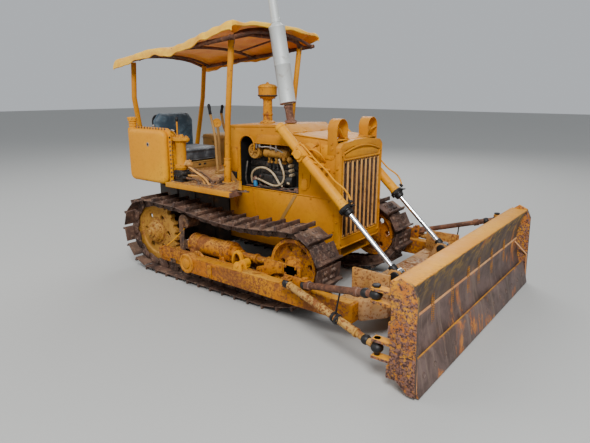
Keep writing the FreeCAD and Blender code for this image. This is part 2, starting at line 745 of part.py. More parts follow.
# Sprocket: a toothed rim, a dished web with round holes and a hub
sprocket = new_body("sprocket")
bind_place(sprocket, y=-track_out, z=S.sprocket_z)
rim_radius = PIN_CIRCLE + S.tooth_height.value
hub_radius = S.drive_radius * 0.55
revolve(sprocket, [
    (-S.sprocket_width / 2 - 34, 0), (-S.sprocket_width / 2 - 34, hub_radius),
    (-S.sprocket_width / 2, hub_radius + 14), (-S.sprocket_width / 4, hub_radius + 22),
    (-S.sprocket_width / 4, S.sprocket_hole_circle + 44), (-S.sprocket_width / 2, S.sprocket_hole_circle + 56),
    (-S.sprocket_width / 2, rim_radius), (S.sprocket_width / 2, rim_radius),
    (S.sprocket_width / 2, S.sprocket_hole_circle + 56), (S.sprocket_width / 4, S.sprocket_hole_circle + 44),
    (S.sprocket_width / 4, hub_radius + 22), (S.sprocket_width / 2, hub_radius),
    (S.sprocket_width / 2 + 40, hub_radius), (S.sprocket_width / 2 + 40, 0),
])
tooth_gap = pocket(
    sprocket, "XZ", S.sprocket_width * 3,
    circles=[(PIN_CIRCLE * math.cos(FIRST_TOOTH), PIN_CIRCLE * math.sin(FIRST_TOOTH),
              S.bushing_radius + S.tooth_clearance)],
    middle=True,
)
polar(sprocket, tooth_gap, S.sprocket_teeth)
web_hole = pocket(sprocket, "XZ", S.sprocket_width * 3,
                  circles=[(S.sprocket_hole_circle, 0, S.web_hole_radius)], middle=True)
polar(sprocket, web_hole, 6)
both(sprocket, "sprocket")

# Idler: a tread with a middle flange, a thin web and a hub
idler = new_body("idler")
bind_place(idler, x=S.sprocket_x + S.idler_x, y=-track_out, z=S.idler_z)
idler_side = S.idler_width / 2
flange_side = S.rail_gap / 2 - 6
revolve(idler, [
    (-idler_side, 0), (-idler_side, 46), (-14, 58), (-14, S.idler_hole_circle + 40),
    (-idler_side, S.idler_radius - 24), (-idler_side, S.idler_radius), (-flange_side, S.idler_radius),
    (-flange_side + 8, S.idler_radius + S.idler_flange), (flange_side - 8, S.idler_radius + S.idler_flange),
    (flange_side, S.idler_radius), (idler_side, S.idler_radius), (idler_side, S.idler_radius - 24),
    (14, S.idler_hole_circle + 40), (14, 58), (idler_side, 46), (idler_side, 0),
])
idler_hole = pocket(idler, "XZ", S.idler_width * 2,
                    circles=[(S.idler_hole_circle, 0, S.web_hole_radius)], middle=True)
polar(idler, idler_hole, 6)
both(idler, "idler")

# Track rollers and the carrier roller, each with its shaft
frame_half = S.frame_gap / 2
roller_steps = int(S.roller_count.value) - 1
rollers = []
for index in range(roller_steps + 1):
    roller_x = S.roller_first + (S.roller_last - S.roller_first) * (index / roller_steps)
    rollers += [
        cross_cylinder(roller_x, track_out - S.roller_width / 2, roller_z, S.roller_radius, S.roller_width),
        cross_cylinder(roller_x, track_out - S.roller_width / 2, roller_z, S.roller_radius + S.roller_flange, 12),
        cross_cylinder(roller_x, track_out + S.roller_width / 2 - 12, roller_z,
                       S.roller_radius + S.roller_flange, 12),
        cross_cylinder(roller_x, track_out - frame_half, roller_z, S.roller_shaft, S.frame_gap),
    ]
both(fuse("rollers", *rollers), "track_rollers")
both(fuse(
    "carrier",
    cross_cylinder(S.carrier_x, track_out - 60, S.carrier_z, S.carrier_radius, 120),
    cross_cylinder(S.carrier_x, track_out - 74, S.carrier_z, 22, 160),
    box(S.carrier_x - 24, -track_out - 30 - 58, S.frame_top, 48, 14, S.carrier_z - S.frame_top + 10),
), "carrier_roller")

# Track frame: two side plates, end blocks and the stub that carries the push arm
frame_outline = [
    (S.frame_rear, S.frame_bottom + 40), (S.frame_rear, S.frame_top - 20), (S.frame_rear + 40, S.frame_top),
    (S.frame_front, S.frame_top), (S.frame_front, S.frame_bottom + 60), (S.frame_front - 60, S.frame_bottom),
    (S.frame_rear + 40, S.frame_bottom),
]
plate_inner = new_body("frame_plate_inner")
pad(plate_inner, "XZ", S.frame_plate, track_out - frame_half - S.frame_plate, [frame_outline])
plate_outer = new_body("frame_plate_outer")
pad(plate_outer, "XZ", S.frame_plate, track_out + frame_half, [frame_outline])
frame_back = box(S.frame_rear + 160, -track_out - frame_half, S.frame_top - 16, 90, S.frame_gap, 16)
frame_nose = box(S.frame_front - 34, -track_out - frame_half, S.frame_top - 62, 34, S.frame_gap, 30)
cradles = [
    cut("cradle", box(x, -track_out - frame_half, S.spring_z - S.spring_radius - 4, 40, S.frame_gap,
                      S.spring_radius * 0.7),
        lengthwise_cylinder(x - 5, track_out, S.spring_z, S.spring_radius + S.pin_clearance, 50))
    for x in (S.spring_rear + 30, S.spring_front - 70)
]
trunnion = cross_cylinder(S.trunnion_x, track_out + frame_half + S.frame_plate, S.trunnion_z,
                          S.trunnion_radius, arm_inner + S.arm_width + 6 - track_out - frame_half - S.frame_plate)
trunnion_seat = cross_cylinder(S.trunnion_x, track_out + frame_half + S.frame_plate, S.trunnion_z,
                               S.trunnion_radius + 26, 22)
pivot_stub = cross_cylinder(S.frame_rear + 90, S.case_half, S.frame_top - 50, 44,
                            track_out - frame_half - S.frame_plate - S.case_half)
both(fuse("frame_weld", plate_inner, plate_outer, frame_back, frame_nose, *cradles, trunnion, trunnion_seat,
          pivot_stub), "track_frame")

# Recoil spring housing, its rod and the yoke that carries the idler
yoke_in = idler_side + 1
spring_length = S.spring_front - S.spring_rear
housing = lengthwise_cylinder(S.spring_rear, track_out, S.spring_z, S.spring_radius, spring_length)
spring_cap = lengthwise_cylinder(S.spring_front, track_out, S.spring_z, S.spring_radius * 0.72, 46)
push_rod = lengthwise_cylinder(S.spring_front + 40, track_out, S.spring_z, S.yoke_rod,
                               S.yoke_rear - S.spring_front - 40)
cross_head = box(S.yoke_rear, -track_out - yoke_in - S.yoke_arm, S.spring_z - S.yoke_height / 2, 30,
                 2 * (yoke_in + S.yoke_arm), S.yoke_height)
arms = [
    box(S.yoke_rear, -track_out + side, S.spring_z - S.yoke_height / 2 + 12,
        S.yoke_end - S.yoke_rear, S.yoke_arm, S.yoke_height)
    for side in (yoke_in, -yoke_in - S.yoke_arm)
]
both(fuse("tensioner", housing, spring_cap, push_rod, cross_head, *arms), "track_tensioner")

# Main case with the final drive housings
case = new_body("case_hull")
pad(case, "XZ", 2 * S.case_half, 0, [[
    (S.case_rear + 50, S.case_bottom), (S.case_rear, S.case_bottom + 60), (S.case_rear, S.platform_top - 120),
    (S.case_rear + 90, S.platform_top - S.platform_plate), (S.case_front, S.platform_top - S.platform_plate),
    (S.case_front, S.case_bottom + 60), (S.case_front - 80, S.case_bottom),
]], middle=True)
drive_reach = track_out - S.sprocket_width / 2 - 40
drives = [
    cross_cylinder(0, S.case_half - 1, S.sprocket_z, S.drive_radius, drive_reach - S.case_half + 1),
    cross_cylinder(0, -drive_reach, S.sprocket_z, S.drive_radius, drive_reach - S.case_half + 1),
]
keep(fuse("case_weld", case, *drives), "main_case")

# Main frame: side plates with a folded ledge, rails and the front cross plate
side_plate = new_body("side_plate")
pad(side_plate, "XZ", S.sheet, S.hood_half - S.sheet, [[
    (S.side_rear, S.side_bottom + 20), (S.side_rear, S.bay_floor), (S.guard_rear, S.bay_floor),
    (S.guard_rear, S.side_bottom),
]])
side_twin = doc.addObject("Part::Mirroring", "side_twin")
side_twin.Source = side_plate
side_twin.Normal = Vector(0, 1, 0)
rails = [
    box(S.case_front, -S.hood_half + S.sheet if side < 0 else S.hood_half - S.sheet - 80, S.side_bottom - 105,
        S.core_front - S.case_front + 66, 80, 150)
    for side in (-1, 1)
]
floor_pan = box(S.case_front, -S.hood_half + S.sheet + 80, S.side_bottom - 105, S.core_front - S.case_front + 66,
                2 * (S.hood_half - S.sheet - 80), 10)
keep(fuse("frame_main", side_plate, side_twin, *rails, floor_pan), "main_frame")

cross_inner = track_out - frame_half - S.frame_plate
beam_top = S.frame_top - 4
cross_bar = box(S.beam_x, -cross_inner, beam_top - S.beam_deep, S.beam_length, 2 * cross_inner, S.beam_deep)
keep(cross_bar, "cross_beam")
beam_post = box(S.beam_x + 10, -S.hood_half + 60, beam_top, S.beam_length - 20, 2 * (S.hood_half - 60),
                S.beam_seat_height)
keep(beam_post, "cross_beam_seat")

# Engine, as one block, with the pieces that show in the open bay
rail_top = S.side_bottom + 45
foot_half = S.hood_half - S.sheet - 20
engine_feet = [
    box(x, -foot_half, rail_top + S.pin_clearance, S.engine_foot, 2 * foot_half, S.engine_foot / 2)
    for x in (S.engine_rear + 40, S.engine_rear + S.engine_length - S.engine_foot - 40)
]
keep(fuse("engine_weld", box(S.engine_rear, -S.engine_half, rail_top + S.pin_clearance, S.engine_length,
                             2 * S.engine_half, S.engine_height), *engine_feet), "engine_block")
manifold_rear = S.filter_x + S.filter_radius + 39
keep(fuse(
    "fittings",
    cross_cylinder(S.filter_x, S.engine_half, S.filter_z, S.filter_radius, S.filter_depth),
    lengthwise_cylinder(manifold_rear, S.engine_half + 30, S.filter_z + 8, S.manifold_radius, S.engine_length / 2),
    box(manifold_rear + 40, -S.engine_half - 40, S.filter_z - 60, S.manifold_radius * 2, 40, 60),
    upright_cylinder(S.filter_x + 22, S.engine_half + 37, S.bay_floor - 98, S.bowl_radius, S.bowl_height),
    box(S.filter_x, -S.engine_half - 75, S.bay_floor - 108, 2 * S.bowl_radius, 75, 14),
), "engine_fittings")

# Radiator core, guard and grille
keep(box(S.core_rear, -(S.hood_half - S.sheet), S.side_bottom + 45, S.core_front - S.core_rear,
         2 * (S.hood_half - S.sheet), S.core_height), "radiator_core")
guard = new_body("guard")
pad(guard, "YZ", S.guard_front - S.guard_rear, S.guard_rear, [[
    (-S.guard_half, S.guard_bottom), (-S.guard_half, S.guard_top - 30), (-S.guard_half + 34, S.guard_top),
    (-S.guard_half / 3, S.guard_top + S.guard_crown), (S.guard_half / 3, S.guard_top + S.guard_crown),
    (S.guard_half - 34, S.guard_top), (S.guard_half, S.guard_top - 30), (S.guard_half, S.guard_bottom),
]])
pocket(guard, "YZ", S.guard_front, S.guard_rear - 1, [[
    (-S.grille_half, S.grille_bottom), (-S.grille_half, S.grille_top),
    (S.grille_half, S.grille_top), (S.grille_half, S.grille_bottom),
]])
pocket(guard, "YZ", 30, S.guard_front - 5, [[
    (-S.grille_half + 26, S.grille_top + 26), (-S.grille_half + 26, S.guard_top - 54),
    (-S.grille_half / 2, S.guard_top - 30), (S.grille_half / 2, S.guard_top - 30),
    (S.grille_half - 26, S.guard_top - 54), (S.grille_half - 26, S.grille_top + 26),
]])
keep(guard, "radiator_guard")
grille_height = S.grille_top - S.grille_bottom
grille_bars = [
    box(S.guard_rear + 4, -S.grille_half, z, S.slat_depth, 2 * S.grille_half, 16)
    for z in (S.grille_bottom, S.grille_top - 16)
]
slats = int(S.slat_count.value)
for index in range(slats):
    slat_y = -S.grille_half + (2 * S.grille_half - S.slat_width) * (index / (slats - 1))
    grille_bars.append(box(S.guard_rear + 4, slat_y, S.grille_bottom, S.slat_depth, S.slat_width, grille_height))
keep(fuse("grille_weld", *grille_bars), "grille")

# Hood, cowl and front side panels
def cowl_height(x):
    """Height of the cowl's top at a place along the machine."""
    share = (x - S.cowl_rear) / (S.cowl_front - S.cowl_rear)
    return S.cowl_top_rear + (S.cowl_top_front - S.cowl_top_rear) * share


hood = new_body("hood")
pad(hood, "XZ", 2 * S.hood_half, 0, [[
    (S.hood_rear, S.hood_rear_z - S.sheet), (S.hood_rear, S.hood_rear_z),
    (S.guard_rear, S.hood_front_z), (S.guard_rear, S.hood_front_z - S.sheet),
]], middle=True)
keep(hood, "hood")
panel = new_body("panel")
pad(panel, "XZ", S.sheet, S.hood_half - S.sheet, [[
    (S.bay_front, S.bay_floor), (S.guard_rear, S.bay_floor), (S.guard_rear, S.hood_front_z - S.sheet),
    (S.hood_rear, S.hood_rear_z - S.sheet), (S.hood_rear, S.cowl_edge), (S.bay_front, S.cowl_edge - 60),
]])
both(panel, "side_panel")
cowl = new_body("cowl_body")
pad(cowl, "XZ", 2 * S.hood_half, 0, [[
    (S.cowl_rear, S.platform_top), (S.cowl_rear, S.cowl_top_rear), (S.cowl_front, S.cowl_top_front),
    (S.hood_rear, S.hood_rear_z), (S.hood_rear, S.cowl_edge), (S.bay_rear, S.cowl_edge),
    (S.bay_rear, S.platform_top),
]], middle=True)
pocket(cowl, "XZ", 2 * (S.hood_half - S.sheet), 0, [[
    (S.cowl_rear + S.sheet, S.platform_top - 5), (S.cowl_rear + S.sheet, S.cowl_top_rear - S.sheet),
    (S.cowl_front - 4, S.cowl_top_front - S.sheet), (S.hood_rear - S.sheet, S.hood_rear_z - S.sheet),
    (S.hood_rear - S.sheet, S.platform_top - 5),
]], middle=True)
pocket(cowl, "XZ", 3 * S.hood_half, 0, circles=[(S.bay_arch_x, S.cowl_edge - 30, S.bay_arch_radius)], middle=True)
boss_depth = S.sheet / 2
for boss_x, boss_out, boss_radius in ((S.cleaner_x, 0, 72), (S.exhaust_x, S.exhaust_out, 46)):
    pad(cowl, "XY", 2 * boss_depth, cowl_height(boss_x) - boss_depth, circles=[(boss_x, -boss_out, boss_radius)])
keep(cowl, "cowl")

# Lamp guards: a hoop on two legs, with a slanted strap
for_hoop = new_body("lamp_hoop")
hood_slope = (S.hood_rear_z - S.hood_front_z) / (S.guard_rear - S.hood_rear)
pad(for_hoop, "YZ", S.lamp_band, S.lamp_rear, [[
    (-S.lamp_out - S.lamp_radius, S.lamp_foot), (-S.lamp_out - S.lamp_radius, S.lamp_z),
    (-S.lamp_out + S.lamp_radius, S.lamp_z), (-S.lamp_out + S.lamp_radius, S.hood_front_z - 20),
    (-S.lamp_out - S.lamp_radius + S.lamp_sheet, S.hood_front_z - 20),
    (-S.lamp_out - S.lamp_radius + S.lamp_sheet, S.lamp_foot),
]])
pad(for_hoop, "YZ", S.lamp_band, S.lamp_rear, circles=[(-S.lamp_out, S.lamp_z, S.lamp_radius)])
pocket(for_hoop, "YZ", 2 * S.lamp_band, S.lamp_rear - 20,
       circles=[(-S.lamp_out, S.lamp_z, S.lamp_radius - S.lamp_sheet)])
pocket(for_hoop, "YZ", 2 * S.lamp_band, S.lamp_rear - 20, [[
    (-S.lamp_out - S.lamp_radius + S.lamp_sheet, S.hood_front_z - 40),
    (-S.lamp_out - S.lamp_radius + S.lamp_sheet, S.lamp_z),
    (-S.lamp_out + S.lamp_radius - S.lamp_sheet, S.lamp_z),
    (-S.lamp_out + S.lamp_radius - S.lamp_sheet, S.hood_front_z - 40),
]])
pocket(for_hoop, "XZ", S.hood_half - S.lamp_out + S.lamp_radius + 20, S.lamp_out - S.lamp_radius - 20, [[
    (S.lamp_rear - 20, S.hood_front_z - 60),
    (S.lamp_rear - 20, S.hood_front_z + hood_slope * (S.guard_rear - S.lamp_rear + 20)),
    (S.guard_rear + 20, S.hood_front_z - hood_slope * 20), (S.guard_rear + 20, S.hood_front_z - 60),
]])
both(for_hoop, "lamp_guard")

# Exhaust: a pipe through the cowl, a leaning muffler and its outlet
muffler = new_body("muffler")
exhaust_foot = cowl_height(S.exhaust_x) + boss_depth
bind_place(muffler, x=S.sprocket_x + S.exhaust_x, y=-S.exhaust_out, z=exhaust_foot + 8)
muffler.Placement.Rotation = Rotation(Vector(0, 1, 0), 0)
muffler.setExpression(".Placement.Rotation.Angle", (-S.exhaust_lean).text)
muffler_sketch = new_sketch(muffler, "XZ", 0, [[
    (0, 0), (S.exhaust_pipe, 0), (S.exhaust_pipe, S.muffler_foot - S.muffler_cone), (S.muffler_radius, S.muffler_foot),
    (S.muffler_radius, S.muffler_end), (S.outlet_pipe, S.muffler_end + S.muffler_cone),
    (S.outlet_pipe, S.outlet_end), (0, S.outlet_end),
]])
muffler_turn = muffler.newObject("PartDesign::Revolution", "muffler_turn")
muffler_turn.Profile = muffler_sketch
muffler_turn.ReferenceAxis = (muffler_sketch, ["V_Axis"])
muffler_turn.Angle = 360
exhaust_flange = upright_cylinder(S.exhaust_x, S.exhaust_out, exhaust_foot, S.flange_radius, S.flange_height)
keep(fuse("exhaust_weld", muffler, exhaust_flange), "exhaust")

# Air pre-cleaner on its stem
cleaner = new_body("cleaner")
bind_place(cleaner, x=S.sprocket_x + S.cleaner_x, z=cowl_height(S.cleaner_x) + boss_depth)
cleaner_sketch = new_sketch(cleaner, "XZ", 0, [[
    (0, 0), (66, 0), (56, 20), (38, 30), (38, 196), (56, 208), (82, 226), (82, 290), (70, 312), (0, 322),
]])
cleaner_turn = cleaner.newObject("PartDesign::Revolution", "cleaner_turn")
cleaner_turn.Profile = cleaner_sketch
cleaner_turn.ReferenceAxis = (cleaner_sketch, ["V_Axis"])
cleaner_turn.Angle = 360
keep(cleaner, "air_precleaner")

# Platform: floor, fenders, their folded edges and front brackets
deck = new_body("deck")
deck_bottom = S.platform_top - S.platform_plate
shelf_out = S.tank_seam - 10
shelf_front = S.tank_front + S.seam_lip + 6
pad(deck, "XY", S.platform_plate, deck_bottom, [[
    (S.platform_rear, -S.platform_waist), (S.tank_rear - 20, -shelf_out), (shelf_front, -shelf_out),
    (shelf_front, -S.platform_half), (S.platform_front, -S.platform_half),
    (S.platform_front, -S.fender_corner), (S.fender_notch, -S.hood_half),
    (S.case_front, -S.hood_half), (S.case_front, S.hood_half),
    (S.fender_notch, S.hood_half), (S.platform_front, S.fender_corner),
    (S.platform_front, S.platform_half), (S.tank_rear - 20, S.platform_half), (S.platform_rear, S.platform_waist),
]])
edges = [
    box(rear, y, S.platform_top - S.platform_edge, S.platform_front - rear, S.sheet, S.platform_edge)
    for rear, y in ((shelf_front, -S.platform_half), (S.tank_rear - 20, S.platform_half - S.sheet))
]
edges += [
    box(S.platform_front - S.sheet, y, S.platform_top - S.platform_edge, S.sheet,
        S.platform_half - S.fender_corner, S.platform_edge)
    for y in (-S.platform_half, S.fender_corner)
]
slant = new_body("slanted_fold")
pad(slant, "XY", S.platform_edge, S.platform_top - S.platform_edge, [[
    (S.platform_front, -S.fender_corner), (S.fender_notch, -S.hood_half),
    (S.fender_notch - S.sheet * 1.4, -S.hood_half), (S.platform_front - S.sheet * 1.4, -S.fender_corner),
]])
slant_twin = doc.addObject("Part::Mirroring", "slanted_fold_twin")
slant_twin.Source = slant
slant_twin.Normal = Vector(0, 1, 0)
bracket = new_body("fender_bracket")
pad(bracket, "YZ", S.sheet, S.fender_notch - 60, [[
    (-S.hood_half, deck_bottom), (-S.platform_half + 60, deck_bottom), (-S.hood_half - 60, deck_bottom - 110),
    (-S.hood_half, deck_bottom - 240),
]])
bracket_twin = doc.addObject("Part::Mirroring", "bracket_twin")
bracket_twin.Source = bracket
bracket_twin.Normal = Vector(0, 1, 0)
keep(fuse("deck_weld", deck, *edges, slant, slant_twin, bracket, bracket_twin), "platform")

# Fuel tank on the right fender, with its bolted seam and filler neck
tank_shell = new_body("tank_shell")
pad(tank_shell, "XZ", S.tank_outer - S.tank_seam, S.tank_seam, [[
    (S.tank_rear, S.platform_top - S.tank_hang), (S.tank_rear, S.tank_top), (S.tank_front, S.tank_top),
    (S.tank_front, S.platform_top - S.tank_hang),
]])
round_edges(tank_shell, S.tank_round, lambda edge: edge.CenterOfMass.y < -S.tank_outer.value + 1
            or along(edge, Vector(0, 1, 0)))
tank_back = box(S.tank_rear + 8, -S.tank_seam, S.platform_top, S.tank_front - S.tank_rear - 16,
                S.tank_seam - S.tank_inner, S.tank_top - S.platform_top - 6)
tank_lip = box(S.tank_rear - S.seam_lip, -S.tank_seam - 4, S.platform_top - S.tank_hang,
               S.tank_front - S.tank_rear + 2 * S.seam_lip, 12, S.tank_top - S.platform_top + S.tank_hang + S.seam_lip)
filler = upright_cylinder(S.tank_rear + 20, 650, S.tank_top - 40, 30, 100)
filler_cap = upright_cylinder(S.tank_rear + 20, 650, S.tank_top + 60, 37, 34)
keep(fuse("tank_weld", tank_shell, tank_back, tank_lip, filler, filler_cap), "fuel_tank")

# Hydraulic valve with its reservoir cylinder, lever and pipes
valve_top = S.platform_top + S.valve_height
reservoir_x = S.valve_x + S.valve_length / 2
reservoir_top = valve_top + 10 + S.reservoir_height
keep(fuse(
    "valve_weld",
    box(S.valve_x, -S.valve_out - S.valve_half, S.platform_top, S.valve_length, 2 * S.valve_half, S.valve_height),
    upright_cylinder(reservoir_x, S.valve_out, valve_top - 5, S.reservoir_radius + 14, 26),
    upright_cylinder(reservoir_x, S.valve_out, valve_top + 10, S.reservoir_radius, S.reservoir_height),
    upright_cylinder(reservoir_x, S.valve_out, reservoir_top - 5, S.reservoir_radius + 24, 30),
    upright_cylinder(S.valve_x + 10, S.valve_out, reservoir_top + 20, 6, S.valve_lever),
    upright_cylinder(S.valve_x + 10, S.valve_out, reservoir_top + S.valve_lever + 10, 13, 34),
), "hydraulic_valve")

# Left fender box
keep(box(S.box_rear, S.box_inner, S.platform_top, S.box_length, S.box_width, S.box_height), "left_box")

# Seat: pedestal, cushion and backrest
pedestal_half = S.seat_half - 8
keep(box(S.seat_rear + 20, -pedestal_half, S.platform_top, S.seat_front - S.seat_rear - 30,
         2 * pedestal_half, S.seat_bottom - S.platform_top - 0.3), "seat_pedestal")
cushion = new_body("cushion")
pad(cushion, "XY", S.seat_top - S.seat_bottom, S.seat_bottom, [[
    (S.seat_rear, -S.seat_half), (S.seat_front, -S.seat_half), (S.seat_front, S.seat_half),
    (S.seat_rear, S.seat_half),
]])
round_edges(cushion, 26, lambda edge: along(edge, Vector(0, 0, 1)))
keep(cushion, "seat_cushion")
backrest = new_body("backrest")
pad(backrest, "YZ", S.seat_back_plate, S.seat_rear - S.seat_back_plate, [[
    (-S.seat_half - 20, S.seat_bottom + 50), (-S.seat_half - 20, S.back_top - 70), (-S.seat_half + 40, S.back_top),
    (S.seat_half - 40, S.back_top), (S.seat_half + 20, S.back_top - 70), (S.seat_half + 20, S.seat_bottom + 50),
]])
keep(backrest, "seat_backrest")

# Steering levers
lever_bend_z = (S.platform_top + S.lever_top_z) / 2
lever_grips = [
    bent_tube(
        [(S.lever_foot_x, S.lever_out * 1.6 * side, S.platform_top + 6),
         (S.lever_foot_x - 50, S.lever_out * 1.2 * side, lever_bend_z),
         (S.lever_top_x, S.lever_out * side, S.lever_top_z)],
        S.lever_radius.value, 60,
    )
    for side in (-1, 1)
]
base_half = (S.lever_out * 1.6 + 21).value
lever_corner = Vector((S.lever_foot_x - 28).value, -base_half, S.platform_top.value)
lever_base = Part.makeBox(60, 2 * base_half, 30, lever_corner)
keep(shaped("lever_set", lever_base.multiFuse(lever_grips)), "steering_levers")

# Canopy: bent posts, rails with cross bars and the cloth over them
rail_rise = S.canopy_front_z - S.canopy_rear_z
rail_length = S.canopy_front - S.canopy_rear


def rail_height(x):
    """Height of the canopy rails at a place along the machine."""
    share = (number(x) - S.canopy_rear.value) / rail_length.value
    return S.canopy_rear_z.value + share * rail_rise.value


def bar_height(x, out):
    """Height of an arched bar under the cloth, at a place along and across the machine."""
    quarter = S.canopy_half.value / 2
    low = 0.75 * S.cloth_crown.value - S.canopy_bar.value
    high = S.cloth_crown.value - S.canopy_bar.value
    if abs(out) > quarter:
        rise = low * (2 - abs(out) / quarter)
    else:
        rise = high + (low - high) * abs(out) / quarter
    return rail_height(x) + rise


Post = namedtuple("Post", "foot_x foot_out knee_x knee_out knee_z top_x top_out")
POSTS = (
    Post(foot_x=S.front_post_x.value, foot_out=S.front_post_out.value, knee_x=S.front_knee_x.value,
         knee_out=S.front_post_out.value - 8, knee_z=S.front_knee_z.value, top_x=S.front_top_x.value,
         top_out=S.front_post_out.value + 2),
    Post(foot_x=S.rear_post_x.value, foot_out=S.rear_post_out.value, knee_x=S.rear_knee_x.value,
         knee_out=S.front_post_out.value - 1, knee_z=S.rear_knee_z.value, top_x=S.rear_top_x.value,
         top_out=S.front_post_out.value + 3),
)
posts = []
for side in (-1, 1):
    for post in POSTS:
        post_top = bar_height(post.top_x, post.top_out + S.post_radius.value) - S.canopy_bar.value - 0.6
        tube = bent_tube(
            [(post.foot_x, side * post.foot_out, S.platform_top - 10),
             (post.knee_x, side * post.knee_out, post.knee_z),
             (post.top_x, side * post.top_out, post_top + 10)],
            S.post_radius.value, S.post_bend.value,
        )
        trims = (
            (post.foot_x, post.foot_out, S.platform_top.value - 100),
            (post.top_x, post.top_out, post_top),
        )
        for x, y, bottom in trims:
            tube = tube.cut(Part.makeBox(200, 200, 100, Vector(x - 100, side * y - 100, bottom)))
        posts.append(tube)
keep(shaped("posts", Part.makeCompound(posts)), "canopy_posts")


def straight(start, end, radius):
    """A round bar between two places."""
    start, end = Vector(*start), Vector(*end)
    return Part.makeCylinder(radius, (end - start).Length, start, end - start)


canopy_side = S.canopy_half.value
rail_rear = S.canopy_rear.value
rail_front = S.canopy_front.value
frame_bars = [
    straight((rail_rear, y, rail_height(rail_rear)), (rail_front, y, rail_height(rail_front)), S.canopy_tube.value)
    for y in (-canopy_side, canopy_side)
]
frame_bars += [
    bent_tube([(x, share * canopy_side, bar_height(x, share * canopy_side)) for share in (-1, -0.5, 0, 0.5, 1)],
              S.canopy_bar.value, S.bar_bend.value)
    for x in (rail_rear + 24, POSTS[1].top_x, (rail_rear + rail_front) / 2, POSTS[0].top_x, rail_front - 24)
]
keep(shaped("canopy_bars", frame_bars[0].multiFuse(frame_bars[1:])), "canopy_frame")


def cloth_section(x, out):
    """Outline of the cloth across the machine at x: a low arch with hanging edges."""
    base = rail_height(x) + S.canopy_tube.value - 2.2
    crown = S.cloth_crown.value
    thick = S.cloth_thickness.value
    edge = out + S.cloth_over.value
    drop = 52
    top = [(-edge, -drop), (-edge, 0), (-out * 0.5, crown * 0.75), (0, crown), (out * 0.5, crown * 0.75),
           (edge, 0), (edge, -drop)]
    inner = [(edge - thick, -drop), (edge - thick, -thick / 2), (out * 0.5, crown * 0.75 - thick),
             (0, crown - thick), (-out * 0.5, crown * 0.75 - thick), (-edge + thick, -thick / 2),
             (-edge + thick, -drop)]
    return Part.makePolygon([Vector(x, y, base + z) for y, z in top + inner + top[:1]])


cloth_ends = (rail_rear - S.cloth_end.value, rail_front + S.cloth_end.value)
cloth = Part.makeLoft([cloth_section(x, canopy_side) for x in cloth_ends], True, True)
keep(shaped("cloth", cloth), "canopy_cloth")

# Drawbar at the rear
drawbar = new_body("drawbar_body")
pad(drawbar, "XY", S.drawbar_plate, S.drawbar_z, [[
    (S.drawbar_rear, -S.drawbar_half + 20), (S.drawbar_rear + 40, -S.drawbar_half), (S.case_rear, -S.drawbar_half),
    (S.case_rear, S.drawbar_half), (S.drawbar_rear + 40, S.drawbar_half), (S.drawbar_rear, S.drawbar_half - 20),
]])
pocket(drawbar, "XY", 200, S.drawbar_z - 20, circles=[(S.drawbar_rear + 60, 0, S.drawbar_pin_radius)])
keep(drawbar, "drawbar")

# Push frame: arms, cross box and the pin that carries the blade
arm = new_body("arm")
pad(arm, "XZ", S.arm_width, arm_inner, circles=[(S.trunnion_x, S.trunnion_z, S.arm_eye)])
pad(arm, "XZ", S.arm_width, arm_inner, [[
    (S.trunnion_x, S.arm_bottom), (S.trunnion_x, S.arm_top), (arm_front, S.arm_top), (arm_front, S.arm_bottom),
]])
pocket(arm, "XZ", 2 * S.arm_width, arm_inner - 20,
       circles=[(S.trunnion_x, S.trunnion_z, S.trunnion_radius + S.pin_clearance)])
both(arm, "push_arm")

bulge_half = S.tongue_half * 1.5
nose = new_body("nose")
pad(nose, "XY", S.arm_top - S.arm_bottom, S.arm_bottom, [[
    (nose_rear, -arm_inner), (S.nose_front - S.nose_taper, -arm_inner), (S.nose_front, -S.nose_plate_out),
    (S.nose_front, -bulge_half - 70), (S.nose_front + S.nose_bulge, -bulge_half),
    (S.nose_front + S.nose_bulge, bulge_half), (S.nose_front, bulge_half + 70),
    (S.nose_front, S.nose_plate_out), (S.nose_front - S.nose_taper, arm_inner), (nose_rear, arm_inner),
]])
tongue_z = S.arm_bottom + 30
nose_tongue = box(S.nose_front + S.nose_bulge, -S.tongue_half, tongue_z, S.ball_reach - S.nose_bulge + 50,
                  2 * S.tongue_half, S.tongue_height)
tongue_hole = upright_cylinder(ball_x, 0, tongue_z - 70, S.ball_radius + S.pin_clearance, 4 * S.tongue_height)
tongue = cut("tongue", nose_tongue, tongue_hole)
keep(fuse("nose_weld", nose, tongue), "push_frame_nose")
upright_plates = [
    box(nose_rear, y, S.arm_top, S.nose_front - nose_rear, S.nose_plate, S.nose_plate_top - S.arm_top)
    for y in (-S.nose_plate_out, S.nose_plate_out - S.nose_plate)
]
for side in (-1, 1):
    for offset in (-S.lug_gap / 2 - S.lug_plate, S.lug_gap / 2):
        lug = new_body("lug")
        pad(lug, "XZ", S.lug_plate, side * cylinder_out + offset, [[
            (rod_eye_x - 110, S.arm_top), (rod_eye_x - 40, S.rod_eye_z + 40), (rod_eye_x + 30, S.rod_eye_z + 40),
            (S.nose_front, S.rod_eye_z), (S.nose_front, S.arm_top),
        ]])
        upright_plates.append(lug)
keep(fuse("plates_weld", *upright_plates), "push_frame_plates")


# Blade: a curved plate between end plates, with boxes and ribs on its back. Its places along the machine
# are measured from the middle pin.
pin_x = ball_x.value
blade_inner = (S.blade_half - S.end_plate).value
blade_top = S.blade_top.value
blade_foot = S.moldboard_foot_z.value


def blade_arc():
    """The curve of the blade's front, from its top down to its foot."""
    return Part.Arc(
        Vector(pin_x + S.moldboard_top_x.value, 0, blade_top),
        Vector(pin_x + S.moldboard_mid_x.value, 0, (blade_top + blade_foot) / 2),
        Vector(pin_x + S.moldboard_foot_x.value, 0, blade_foot),
    ).toShape()


